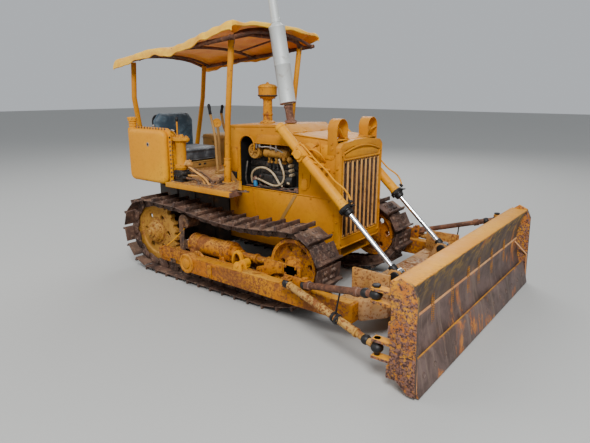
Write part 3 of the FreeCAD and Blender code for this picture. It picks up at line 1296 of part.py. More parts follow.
def curved_plate(lift, top, foot, thickness):
    """Outline of a curved plate whose front lies `lift` ahead of the blade's curve."""
    centre = blade_arc().Curve.Center
    radius = blade_arc().Curve.Radius

    def at(shift, height):
        return Vector(centre.x - math.sqrt((radius - shift) ** 2 - (height - centre.z) ** 2), 0, height)

    middle = (top + foot) / 2
    back = lift - thickness
    return Part.Face(Part.Wire([
        Part.Arc(at(lift, top), at(lift, middle), at(lift, foot)).toShape(),
        Part.LineSegment(at(lift, foot), at(back, foot)).toShape(),
        Part.Arc(at(back, foot), at(back, middle), at(back, top)).toShape(),
        Part.LineSegment(at(back, top), at(lift, top)).toShape(),
    ]))


def across(face, half_width):
    """Extrude a face of the XZ plane to both sides."""
    return face.translated(Vector(0, -half_width, 0)).extrude(Vector(0, 2 * half_width, 0))


def blade_box(x, out, z, length, width, height):
    """A box on the blade, x measured from the middle pin and out from the middle."""
    return Part.makeBox(number(length), number(width), number(height),
                        Vector(pin_x + number(x), number(out), number(z)))


tip = S.blade_tip.value
end_outline = [
    Vector(pin_x + x, 0, z) for x, z in (
        (S.blade_back_x.value + 24, blade_foot + 58), (S.blade_back_x.value + 22, blade_top - 122),
        (S.blade_back_x.value + 8, blade_top - 12), (S.blade_back_x.value + 66, blade_top + 34),
        (tip - 64, blade_top + 6), (tip - 32, blade_top - 62), (tip - 16, 20), (tip - 60, 20),
    )
]
blade_pieces = [across(curved_plate(0, blade_top, blade_foot, S.moldboard.value), blade_inner)]
blade_pieces += [prism(end_outline, out, S.end_plate.value) for out in (blade_inner, -S.blade_half.value)]
blade_pieces += [
    blade_box(S.blade_back_x, -blade_inner, z, depth, 2 * blade_inner, height) for z, depth, height in (
        (S.blade_top - 62, S.beam_depth, S.beam_height),
        (S.middle_beam_z, S.beam_depth - 36, S.middle_beam_height),
        (S.moldboard_foot_z + 4, S.foot_beam_depth, S.foot_beam_height),
    )
]
rib_spacing = blade_inner * 0.272
blade_pieces += [
    blade_box(S.blade_back_x + 2, rib_spacing * place - S.blade_rib.value / 2, S.blade_foot_box, 80, S.blade_rib,
              S.blade_rib_height)
    for place in (-2.35, -1.32, -0.35, 0.35, 1.32, 2.35)
]
blade_pieces += [
    blade_box(-38, -S.tongue_half - 15, z, S.blade_back_x + 200, 2 * S.tongue_half + 30, S.ball_ear)
    for z in (tongue_z - S.ball_ear - 22, tongue_z + S.tongue_height + 2)
]
blade_pieces.append(Part.makeCylinder(S.ball_radius.value, (S.tongue_height + 106).value,
                                      Vector(pin_x, 0, (tongue_z - 64).value)))
for side in (-1, 1):
    for pin_z, reach_back, opening in ((S.upper_brace_z, 18, 54), (S.lower_brace_z, 2, 84)):
        for z in (pin_z - opening / 2 - S.brace_lug, pin_z + opening / 2):
            blade_pieces.append(blade_box(-reach_back, side * brace_pin_out - S.brace_lug_half, z, 230,
                                          2 * S.brace_lug_half, S.brace_lug))
front_x = pin_x + S.moldboard_foot_x.value + 180
hollow = Part.Face(Part.Wire([
    blade_arc(),
    Part.LineSegment(Vector(pin_x + S.moldboard_foot_x.value, 0, blade_foot), Vector(front_x, 0, 0)).toShape(),
    Part.LineSegment(Vector(front_x, 0, 0), Vector(front_x, 0, blade_top + 140)).toShape(),
    Part.LineSegment(Vector(front_x, 0, blade_top + 140),
                     Vector(pin_x + S.moldboard_top_x.value, 0, blade_top)).toShape(),
]))
blade = blade_pieces[0].multiFuse(blade_pieces[1:]).cut(across(hollow, blade_inner)).removeSplitter()
keep(shaped("blade_weld", blade), "blade")

edge_half = blade_inner - S.pin_clearance.value
wear = across(curved_plate(S.wear_plate.value, S.wear_top.value, S.edge_height.value - 36, S.wear_plate.value), edge_half)
edge_face = Part.Face(Part.makePolygon([
    Vector(pin_x + x, 0, z) for x, z in (
        (tip - S.edge_plate.value, S.blade_clear.value), (tip, S.blade_clear.value),
        (tip - 44, S.edge_height.value), (tip - 46 - S.edge_plate.value, S.edge_height.value),
        (tip - S.edge_plate.value, S.blade_clear.value),
    )
]))
keep(shaped("edge_weld", wear.fuse(across(edge_face, edge_half)).removeSplitter()), "cutting_edge")

# Braces from the push arms to the blade's ends
brace_rear_out = arm_inner + S.arm_width + 1 + S.brace_seat_width
Brace = namedtuple("Brace", "rear_x rear_z front_x front_z")
BRACES = (
    Brace(rear_x=arm_front - S.upper_brace_rear, rear_z=S.arm_top + S.upper_brace_lift,
          front_x=ball_x + 2, front_z=S.upper_brace_z),
    Brace(rear_x=arm_front - S.lower_brace_rear, rear_z=S.arm_top + S.lower_brace_lift,
          front_x=ball_x + 22, front_z=S.lower_brace_z),
)
braces = []
for brace in BRACES:
    start = (brace.rear_x.value, -brace_rear_out.value, brace.rear_z.value)
    end = (brace.front_x.value, -brace_pin_out.value, brace.front_z.value)
    braces.append(straight(start, end, S.brace_radius.value))
    braces.append(Part.makeCylinder(S.brace_collar.value, S.brace_collar_height.value,
                                    Vector(end[0], end[1], end[2] - S.brace_collar_height.value / 2)))
braces.append(Part.makeBox(
    S.brace_seat_length.value, S.brace_seat_width.value, S.brace_seat_height.value,
    Vector((arm_front - S.lower_brace_rear).value - 40, -(brace_rear_out - 1).value, S.arm_top.value - 2)))
both(shaped("brace_pair", braces[0].multiFuse(braces[1:])), "blade_braces")

# Lift cylinders: a barrel on a trunnion and a rod, laid along their common line
slope = math.degrees(math.atan2(
    (S.cylinder_pivot_z - S.rod_eye_z).value, (rod_eye_x - S.cylinder_pivot_x).value))
reach = math.hypot((S.cylinder_pivot_z - S.rod_eye_z).value, (rod_eye_x - S.cylinder_pivot_x).value)
tilt = Rotation(Vector(0, 1, 0), slope)
pivot = Vector((S.cylinder_pivot_x + S.sprocket_x).value, -cylinder_out.value, S.cylinder_pivot_z.value)


def on_line(start, radius, length):
    """A cylinder along the lift cylinder's own X axis."""
    return Part.makeCylinder(radius, length, Vector(start, 0, 0), Vector(1, 0, 0))


barrel = on_line(-S.barrel_head.value, S.barrel_radius.value, S.barrel_head.value + S.barrel_front.value)
barrel = barrel.fuse(on_line(S.barrel_front.value - S.gland_length.value, S.gland_radius.value, S.gland_length.value))
barrel = barrel.fuse(Part.makeCylinder(S.swing_pin.value, S.cylinder_clear.value - 18, Vector(0, 0, 0), Vector(0, 1, 0)))
barrel = barrel.fuse(Part.makeBox(110, 92, 100, Vector(-55, -46, -50)))
barrel = barrel.cut(on_line(-S.barrel_head.value + 20, S.barrel_bore.value, S.barrel_head.value
                            + S.barrel_front.value - S.gland_length.value - 20))
barrel = barrel.cut(on_line(0, S.rod_radius.value + S.pin_clearance.value, S.barrel_front.value + 20))
barrel_item = doc.addObject("Part::Feature", "barrel")
barrel_item.Shape = barrel
barrel_item.Placement = Placement(pivot, tilt)
both(barrel_item, "cylinder_barrel")

rod = on_line(reach - S.rod_length.value, S.rod_radius.value, S.rod_length.value)
rod = rod.fuse(on_line(reach - S.rod_length.value, S.barrel_bore.value - S.pin_clearance.value, S.piston_length.value))
rod = rod.fuse(Part.makeCylinder(S.eye_radius.value, S.eye_width.value,
                                 Vector(reach, -S.eye_width.value / 2, 0), Vector(0, 1, 0)))
rod_item = doc.addObject("Part::Feature", "rod")
rod_item.Shape = rod
rod_item.Placement = Placement(pivot, tilt)
both(rod_item, "cylinder_rod")

# Trunnion brackets on the hood's sides
bracket_wall = S.hood_half.value
swing_x = S.cylinder_pivot_x.value
swing_z = S.cylinder_pivot_z.value
bracket_pad = Part.makeBox(190, 12, 190, Vector(swing_x - 95, -bracket_wall - 12, swing_z - 94))
bracket_ear = Part.makeCylinder(56, S.cylinder_clear.value - 62, Vector(swing_x, -bracket_wall - S.cylinder_clear.value + 52,
                                                                       swing_z), Vector(0, 1, 0))
bracket_bore = Part.makeCylinder(S.swing_pin.value + S.pin_clearance.value, 90, Vector(swing_x, -bracket_wall - 80, swing_z),
                                 Vector(0, 1, 0))
both(shaped("cylinder_mount", bracket_pad.fuse(bracket_ear).cut(bracket_bore)), "cylinder_bracket")

doc.recompute()


def check_parts():
    """Stop if any object failed or any sub-part's shape is unusable."""
    for item in doc.Objects:
        if "Invalid" in item.State or "Error" in item.State:
            raise RuntimeError(f"{item.Name} ({item.Label}) failed: {item.State}")
    for item in PARTS:
        if item.Shape.isNull() or not item.Shape.isValid():
            raise RuntimeError(f"{item.Label} has no valid shape")


check_parts()
os.makedirs("parts", exist_ok=True)
for item in PARTS:
    item.Shape.exportStep(f"parts/{item.Label}.step")
print(f"{len(PARTS)} parts, track of {len(TRACK_PINS)} links at {PITCH:.2f} mm")
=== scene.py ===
"""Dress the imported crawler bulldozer: worn paint, rusty running gear, engine bay, hoses, seat and canopy cloth.

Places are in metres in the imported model's frame: X forward, Y to the machine's left, Z up. Most of the
machine was measured from its sprocket axle, so `at` turns such a place into the model's own frame.
"""
from __future__ import annotations

import json
import logging
import math
from dataclasses import dataclass
from enum import Enum
from typing import Callable

import bmesh
import bpy
from mathutils import Matrix, Vector, noise
from mathutils.bvhtree import BVHTree

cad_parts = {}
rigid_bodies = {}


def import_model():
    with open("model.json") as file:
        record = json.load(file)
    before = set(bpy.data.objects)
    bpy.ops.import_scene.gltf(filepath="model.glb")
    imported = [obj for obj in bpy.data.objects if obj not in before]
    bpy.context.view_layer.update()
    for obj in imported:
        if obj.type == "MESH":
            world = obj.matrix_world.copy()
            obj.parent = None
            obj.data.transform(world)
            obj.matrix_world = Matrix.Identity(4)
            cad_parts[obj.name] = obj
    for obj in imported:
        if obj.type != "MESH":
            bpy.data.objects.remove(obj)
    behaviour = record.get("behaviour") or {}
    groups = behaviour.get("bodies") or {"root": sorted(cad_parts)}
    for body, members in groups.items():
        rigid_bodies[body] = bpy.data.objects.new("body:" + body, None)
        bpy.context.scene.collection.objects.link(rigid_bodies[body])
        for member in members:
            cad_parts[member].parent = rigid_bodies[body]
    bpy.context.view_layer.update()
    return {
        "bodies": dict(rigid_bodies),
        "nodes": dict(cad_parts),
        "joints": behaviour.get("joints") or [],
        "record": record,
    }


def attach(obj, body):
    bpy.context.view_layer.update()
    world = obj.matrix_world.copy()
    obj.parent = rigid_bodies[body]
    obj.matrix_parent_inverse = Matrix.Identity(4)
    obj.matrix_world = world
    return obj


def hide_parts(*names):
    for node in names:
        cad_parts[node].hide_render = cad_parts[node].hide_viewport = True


LOG = logging.getLogger("bulldozer")
SPROCKET_X = -1.070
SIDES = (-1, 1)
SIDE_NAMES = {-1: "right", 1: "left"}
IMAGE_WIDTH = 590


def at(x: float, y: float, z: float) -> Vector:
    """A place in the model's frame from one measured from the sprocket axle."""
    return Vector((x + SPROCKET_X, y, z))


class Body(str, Enum):
    """The bodies that pieces ride on."""

    TRACTOR = "tractor"
    PUSH_FRAME = "push_frame"
    BARREL_RIGHT = "barrel_right"
    BARREL_LEFT = "barrel_left"
    ROD_RIGHT = "rod_right"
    ROD_LEFT = "rod_left"


class Slot(str, Enum):
    """The record's material slots."""

    PAINT = "body_paint"
    BLADE = "blade_paint"
    DARK = "dark_paint"
    TRACK = "track_steel"
    EDGE = "edge_steel"
    ENGINE = "engine_iron"
    STEEL = "bare_steel"
    CHROME = "rod_chrome"
    SEAT = "seat_cover"
    CLOTH = "canopy_fabric"


class Way(Enum):
    """Directions that bolts and turned pieces face; OUT is away from the machine's middle."""

    FRONT = (1, 0, 0)
    REAR = (-1, 0, 0)
    OUT = (0, 1, 0)
    IN = (0, -1, 0)
    UP = (0, 0, 1)
    DOWN = (0, 0, -1)


# ---- finishes ----


class Shader:
    """A material under construction: a thin layer over Blender's node tree."""

    def __init__(self, name: str) -> None:
        """Start an empty material with its surface shader."""
        self.material = bpy.data.materials.new(name)
        self.material.use_nodes = True
        self.tree = self.material.node_tree
        self.tree.nodes.clear()
        self.output = self.tree.nodes.new("ShaderNodeOutputMaterial")
        self.surface = self.tree.nodes.new("ShaderNodeBsdfPrincipled")
        self.tree.links.new(self.surface.outputs["BSDF"], self.output.inputs["Surface"])
        self.place = self.tree.nodes.new("ShaderNodeTexCoord").outputs["Object"]

    def node(self, kind: str, inputs: dict | None = None, **settings: object) -> bpy.types.Node:
        """Add a node, set its properties and fill its inputs with numbers, colours or links."""
        made = self.tree.nodes.new(kind)
        for key, value in settings.items():
            setattr(made, key, value)
        for key, value in (inputs or {}).items():
            socket = made.inputs[key]
            if isinstance(value, bpy.types.NodeSocket):
                self.tree.links.new(value, socket)
            else:
                socket.default_value = value
        return made

    def stretch(self, scale: tuple[float, float, float], turn: tuple[float, float, float] = (0, 0, 0)) -> bpy.types.NodeSocket:
        """Object coordinates scaled and turned, for streaks and grain."""
        return self.node("ShaderNodeMapping", {"Vector": self.place, "Scale": scale, "Rotation": turn}).outputs[0]

    def cloud(self, scale: float, detail: float = 4, rough: float = 0.55, vector: bpy.types.NodeSocket | None = None,
              warp: float = 0.0) -> bpy.types.NodeSocket:
        """A noise field between 0 and 1."""
        return self.node("ShaderNodeTexNoise", {
            "Vector": vector or self.place, "Scale": scale, "Detail": detail, "Roughness": rough, "Distortion": warp,
        }).outputs["Fac"]

    def mask(self, source: bpy.types.NodeSocket, low: float, high: float) -> bpy.types.NodeSocket:
        """Turn a field into a mask that is 0 below `low` and 1 above `high`."""
        return self.node("ShaderNodeMapRange", {"Value": source, "From Min": low, "From Max": high},
                         interpolation_type="SMOOTHSTEP").outputs[0]

    def math(self, kind: str, first: object, second: object = 0.0) -> bpy.types.NodeSocket:
        """One sum of two fields or numbers."""
        return self.node("ShaderNodeMath", {0: first, 1: second}, operation=kind).outputs[0]

    def mix(self, share: object, first: object, second: object) -> bpy.types.NodeSocket:
        """Blend two colours."""
        made = self.tree.nodes.new("ShaderNodeMix")
        made.data_type = "RGBA"
        for key, value in ((0, share), (6, first), (7, second)):
            if isinstance(value, bpy.types.NodeSocket):
                self.tree.links.new(value, made.inputs[key])
            else:
                made.inputs[key].default_value = value
        return made.outputs[2]

    def normal_part(self, axis: str) -> bpy.types.NodeSocket:
        """How far the surface faces along one axis, from -1 to 1."""
        normal = self.node("ShaderNodeNewGeometry").outputs["Normal"]
        return self.node("ShaderNodeSeparateXYZ", {0: normal}).outputs[axis]

    def coordinate(self, axis: str) -> bpy.types.NodeSocket:
        """One of the object coordinates, in metres."""
        return self.node("ShaderNodeSeparateXYZ", {0: self.place}).outputs[axis]

    def edges(self, radius: float) -> bpy.types.NodeSocket:
        """A mask that is 1 on sharp edges and falls to 0 within the radius."""
        geometry = self.node("ShaderNodeNewGeometry").outputs["Normal"]
        rounded = self.node("ShaderNodeBevel", {"Radius": radius}, samples=6).outputs[0]
        facing = self.node("ShaderNodeVectorMath", {0: geometry, 1: rounded}, operation="DOT_PRODUCT").outputs["Value"]
        return self.mask(self.math("SUBTRACT", 1.0, facing), 0.015, 0.16)

    def bump(self, height: bpy.types.NodeSocket, distance: float, strength: float = 1.0) -> None:
        """Relief on the surface, added to any that is there already."""
        inputs = {"Height": height, "Distance": distance, "Strength": strength}
        if self.surface.inputs["Normal"].is_linked:
            inputs["Normal"] = self.surface.inputs["Normal"].links[0].from_socket
        self.connect("Normal", self.node("ShaderNodeBump", inputs).outputs[0])

    def connect(self, name: str, value: object) -> None:
        """Set or link an input of the surface shader."""
        if isinstance(value, bpy.types.NodeSocket):
            self.tree.links.new(value, self.surface.inputs[name])
        else:
            self.surface.inputs[name].default_value = value


Colour = tuple[float, float, float, float]


def tone(red: float, green: float, blue: float) -> Colour:
    """An opaque colour in linear light."""
    return (red, green, blue, 1.0)


RUST_DARK = tone(0.050, 0.020, 0.010)
RUST_ORANGE = tone(0.330, 0.105, 0.022)
DUST = tone(0.500, 0.320, 0.110)
SOOT = tone(0.012, 0.010, 0.009)


@dataclass(frozen=True)
class WornPaint:
    """Enamel that has faded, chipped at its edges and begun to rust."""

    name: str
    base: Colour = tone(0.450, 0.165, 0.000)
    faded: Colour = tone(0.540, 0.225, 0.002)
    rust: float = 0.30
    chips: float = 0.55
    dust: float = 0.22
    streaks: float = 0.35
    roughness: float = 0.48
    spots: float = 0.12

    def build(self) -> bpy.types.Material:
        """Make the material."""
        shader = Shader(self.name)
        broad = shader.cloud(2.3, 3, 0.6)
        colour = shader.mix(shader.mask(broad, 0.35, 0.70), self.base, self.faded)
        fine = shader.cloud(34, 5, 0.62)
        colour = shader.mix(shader.math("MULTIPLY", shader.mask(fine, 0.45, 0.75), 0.30), colour,
                            tone(self.base[0] * 0.62, self.base[1] * 0.55, self.base[2] * 0.5))
        streak = shader.cloud(1.0, 5, 0.7, shader.stretch((26, 26, 2.2)))
        side = shader.math("SUBTRACT", 1.0, shader.math("ABSOLUTE", shader.normal_part("Z")))
        run = shader.math("MULTIPLY", shader.mask(streak, 0.56, 0.74), side)
        colour = shader.mix(shader.math("MULTIPLY", run, self.streaks), colour, RUST_ORANGE)
        dusty = shader.math("MULTIPLY", shader.mask(shader.normal_part("Z"), 0.2, 0.95),
                            shader.mask(shader.cloud(7, 5, 0.65), 0.30, 0.75))
        colour = shader.mix(shader.math("MULTIPLY", dusty, self.dust), colour, DUST)
        patch = shader.cloud(5.5, 9, 0.68, warp=0.4)
        worn = shader.math("MULTIPLY", shader.edges(0.010), shader.mask(shader.cloud(48, 4, 0.6), 0.42, 0.58))
        rusty = shader.math("MAXIMUM", shader.mask(patch, 0.715 - self.rust * 0.2, 0.80 - self.rust * 0.2),
                            shader.math("MULTIPLY", worn, self.chips))
        rust = shader.mix(shader.cloud(60, 4, 0.6), RUST_DARK, RUST_ORANGE)
        fleck = shader.math("ADD", shader.cloud(52, 7, 0.74, warp=0.3), shader.math("MULTIPLY", shader.cloud(4.5, 4, 0.6), 0.42))
        flecks = shader.mask(fleck, 0.875 - self.spots * 0.16, 0.905 - self.spots * 0.16)
        rusty = shader.math("MAXIMUM", rusty, shader.math("MULTIPLY", flecks, min(1.0, 0.55 + self.spots * 0.5)))
        grime = shader.math("MULTIPLY", shader.mask(shader.cloud(3.4, 6, 0.66, warp=0.6), 0.46, 0.70), self.spots * 0.75)
        colour = shader.mix(grime, colour, tone(self.base[0] * 0.42, self.base[1] * 0.46, 0.012))
        colour = shader.mix(rusty, colour, rust)
        shader.connect("Base Color", colour)
        rough = shader.node("ShaderNodeMapRange", {"Value": shader.cloud(16, 4), "To Min": self.roughness - 0.10,
                                                   "To Max": self.roughness + 0.22}).outputs[0]
        shader.connect("Roughness", shader.math("MAXIMUM", rough, shader.math("MULTIPLY", rusty, 0.85)))
        shader.connect("Specular IOR Level", 0.22)
        shader.bump(shader.cloud(3.2, 2), 0.010, 0.35)
        shader.bump(shader.cloud(160, 3), 0.0006, 0.5)
        shader.bump(shader.math("MULTIPLY", rusty, -1.0), 0.0012, 0.8)
        return shader.material


@dataclass(frozen=True)
class RustySteel:
    """Bare steel that has rusted, with dry soil on it and edges rubbed brighter."""

    name: str
    dark: Colour = tone(0.030, 0.016, 0.012)
    brown: Colour = tone(0.110, 0.055, 0.036)
    soil: Colour = tone(0.330, 0.200, 0.125)
    bright: Colour = tone(0.330, 0.240, 0.190)
    soiled: float = 0.55
    rubbed: float = 0.6

    def build(self) -> bpy.types.Material:
        """Make the material."""
        shader = Shader(self.name)
        colour = shader.mix(shader.mask(shader.cloud(9, 7, 0.7), 0.36, 0.66), self.dark, self.brown)
        colour = shader.mix(shader.math("MULTIPLY", shader.mask(shader.cloud(24, 8, 0.7, warp=0.5), 0.52, 0.66),
                                        self.soiled), colour, self.soil)
        top = shader.math("MULTIPLY", shader.mask(shader.normal_part("Z"), 0.3, 0.9),
                          shader.mask(shader.cloud(3.2, 5, 0.6), 0.46, 0.68))
        colour = shader.mix(shader.math("MULTIPLY", top, self.soiled), colour, self.soil)
        rub = shader.math("MULTIPLY", shader.edges(0.007), shader.mask(shader.cloud(21, 4), 0.40, 0.60))
        colour = shader.mix(shader.math("MULTIPLY", rub, self.rubbed), colour, self.bright)
        shader.connect("Base Color", colour)
        shader.connect("Metallic", 0.25)
        shader.connect("Roughness", shader.node("ShaderNodeMapRange", {
            "Value": shader.cloud(30, 4), "To Min": 0.55, "To Max": 0.92}).outputs[0])
        shader.bump(shader.cloud(42, 6, 0.7), 0.0035, 0.75)
        shader.bump(shader.cloud(240, 3), 0.0006, 0.6)
        return shader.material


@dataclass(frozen=True)
class PlainMetal:
    """Metal with grime and a fine grain: chrome, dull steel, cast iron or brass."""

    name: str
    colour: Colour
    grime: Colour
    grimy: float = 0.4
    metallic: float = 0.9
    roughness: float = 0.35
    relief: float = 0.0006

    def build(self) -> bpy.types.Material:
        """Make the material."""
        shader = Shader(self.name)
        dirt = shader.mask(shader.cloud(12, 7, 0.68, warp=0.3), 0.70 - self.grimy * 0.35, 0.86 - self.grimy * 0.25)
        shader.connect("Base Color", shader.mix(dirt, self.colour, self.grime))
        shader.connect("Metallic", shader.math("MULTIPLY", shader.math("SUBTRACT", 1.0, dirt), self.metallic))
        shader.connect("Roughness", shader.math("ADD", shader.math("MULTIPLY", dirt, 0.45), self.roughness))
        shader.bump(shader.cloud(90, 5), self.relief, 0.7)
        return shader.material


@dataclass(frozen=True)
class Rubber:
    """Hose rubber, faded and dusty, or bright plastic."""

    name: str
    colour: Colour
    worn: Colour
    roughness: float = 0.6

    def build(self) -> bpy.types.Material:
        """Make the material."""
        shader = Shader(self.name)
        shader.connect("Base Color", shader.mix(shader.mask(shader.cloud(38, 5, 0.65), 0.42, 0.68), self.colour, self.worn))
        shader.connect("Roughness", shader.node("ShaderNodeMapRange", {
            "Value": shader.cloud(55, 3), "To Min": self.roughness - 0.12, "To Max": self.roughness + 0.2}).outputs[0])
        shader.bump(shader.cloud(300, 3), 0.0004, 0.6)
        return shader.material


@dataclass(frozen=True)
class BladeFace:
    """Scoured steel: grey-brown with orange rust, its enamel left along the top and mottled at the ends."""

    name: str
    paint: Colour = tone(0.600, 0.245, 0.002)
    paint_from: float = 0.628
    grey: Colour = tone(0.110, 0.070, 0.046)
    orange_share: float = 0.57

    def build(self) -> bpy.types.Material:
        """Make the material."""
        shader = Shader(self.name)
        level = shader.coordinate("Z")
        ragged = shader.math("ADD", level, shader.math("MULTIPLY", shader.math("SUBTRACT", shader.cloud(7, 7, 0.7), 0.5), 0.10))
        rust = shader.mix(shader.mask(shader.cloud(5, 8, 0.72, warp=0.5), 0.36, 0.64), tone(0.062, 0.036, 0.028), self.grey)
        streak = shader.cloud(1.0, 6, 0.7, shader.stretch((2, 22, 1.6)))
        rust = shader.mix(shader.math("MULTIPLY", shader.mask(streak, 0.50, 0.72), 0.7), rust, tone(0.215, 0.150, 0.110))
        patches = shader.cloud(2.6, 8, 0.68, shader.stretch((1, 1, 0.7)), 0.8)
        rust = shader.mix(shader.math("MULTIPLY", shader.mask(patches, self.orange_share, self.orange_share + 0.08), 0.88), rust,
                          shader.mix(shader.mask(shader.cloud(18, 5, 0.7), 0.40, 0.60), tone(0.40, 0.105, 0.016), tone(0.56, 0.20, 0.02)))
        left = shader.math("MULTIPLY", shader.mask(shader.cloud(13, 8, 0.74, warp=0.4), 0.47, 0.58),
                           shader.mask(ragged, self.paint_from - 0.22, self.paint_from - 0.02))
        rust = shader.mix(shader.math("MULTIPLY", left, 0.8), rust, tone(0.42, 0.24, 0.015))
        painted = shader.mix(shader.math("MULTIPLY", shader.mask(shader.cloud(22, 6, 0.7), 0.54, 0.66), 0.75),
                             self.paint, tone(0.40, 0.13, 0.012))
        colour = shader.mix(shader.mask(ragged, self.paint_from - 0.012, self.paint_from + 0.012), rust, painted)
        back = shader.mask(shader.normal_part("X"), -0.2, 0.1)
        colour = shader.mix(back, shader.mix(shader.mask(shader.cloud(6, 8, 0.7), 0.44, 0.64), self.paint,
                                             tone(0.26, 0.10, 0.03)), colour)
        spots = shader.math("SUBTRACT", shader.cloud(58, 7, 0.76, warp=0.3), shader.math("MULTIPLY", level, 0.16))
        mottle = shader.mix(shader.mask(spots, 0.405, 0.445), shader.mix(shader.mask(shader.cloud(9, 5, 0.6), 0.40, 0.62),
                                                                       tone(0.52, 0.21, 0.004), tone(0.40, 0.115, 0.006)),
                            shader.mix(shader.mask(shader.cloud(90, 4, 0.6), 0.42, 0.58), tone(0.045, 0.014, 0.010), tone(0.22, 0.10, 0.07)))
        end = shader.mask(shader.math("ABSOLUTE", shader.normal_part("Y")), 0.75, 0.95)
        colour = shader.mix(end, colour, mottle)
        rub = shader.math("MULTIPLY", shader.edges(0.007), shader.mask(shader.cloud(30, 4), 0.44, 0.60))
        colour = shader.mix(shader.math("MULTIPLY", rub, 0.45), colour, tone(0.34, 0.17, 0.07))
        shader.connect("Base Color", colour)
        shader.connect("Roughness", shader.node("ShaderNodeMapRange", {
            "Value": shader.cloud(14, 5), "To Min": 0.50, "To Max": 0.88}).outputs[0])
        shader.bump(shader.cloud(34, 6, 0.7), 0.0020, 0.6)
        shader.bump(shader.math("MULTIPLY", end, shader.mask(spots, 0.38, 0.48)), 0.0016, 0.8)
        shader.bump(shader.cloud(3, 2), 0.012, 0.5)
        return shader.material


@dataclass(frozen=True)
class SeatVinyl:
    """Dark seat covering with a fine grain, dust and pale rubbed places."""

    name: str
    colour: Colour = tone(0.024, 0.029, 0.036)
    pale: Colour = tone(0.150, 0.170, 0.190)

    def build(self) -> bpy.types.Material:
        """Make the material."""
        shader = Shader(self.name)
        colour = shader.mix(shader.math("MULTIPLY", shader.mask(shader.cloud(9, 6, 0.7, warp=0.5), 0.44, 0.70), 0.75),
                            self.colour, self.pale)
        dusty = shader.math("MULTIPLY", shader.mask(shader.normal_part("Z"), 0.2, 1.0),
                            shader.mask(shader.cloud(5, 5, 0.6), 0.35, 0.75))
        colour = shader.mix(shader.math("MULTIPLY", dusty, 0.20), colour, tone(0.22, 0.19, 0.15))
        shader.connect("Base Color", colour)
        shader.connect("Roughness", shader.node("ShaderNodeMapRange", {
            "Value": shader.cloud(18, 4), "To Min": 0.42, "To Max": 0.68}).outputs[0])
        grain = shader.node("ShaderNodeTexVoronoi", {"Vector": shader.place, "Scale": 420.0}).outputs["Distance"]
        shader.bump(grain, 0.0007, 0.5)
        shader.bump(shader.cloud(22, 5, 0.6), 0.004, 0.5)
        return shader.material


@dataclass(frozen=True)
class CanopyCloth:
    """Coated woven sheet, stained and creased."""

    name: str
    face: Colour = tone(0.80, 0.46, 0.012)
    stain: Colour = tone(0.62, 0.27, 0.004)

    def build(self) -> bpy.types.Material:
        """Make the material."""
        shader = Shader(self.name)
        colour = shader.mix(shader.mask(shader.cloud(6, 7, 0.7, warp=0.4), 0.36, 0.68), self.face, self.stain)
        stains = shader.math("MULTIPLY", shader.mask(shader.cloud(13, 7, 0.7), 0.60, 0.76), 0.55)
        colour = shader.mix(stains, colour, tone(0.16, 0.10, 0.06))
        shader.connect("Base Color", colour)
        shader.connect("Roughness", 0.70)
        shader.connect("Sheen Weight", 0.10)
        for turn in (0.0, math.pi / 2):
            weave = shader.node("ShaderNodeTexWave", {"Vector": shader.stretch((1, 1, 1), (0, 0, turn)), "Scale": 150.0,
                                                      "Distortion": 1.5, "Detail": 2.0}).outputs["Fac"]
            shader.bump(weave, 0.0005, 0.35)
        shader.bump(shader.cloud(20, 6, 0.6), 0.006, 0.45)
        return shader.material


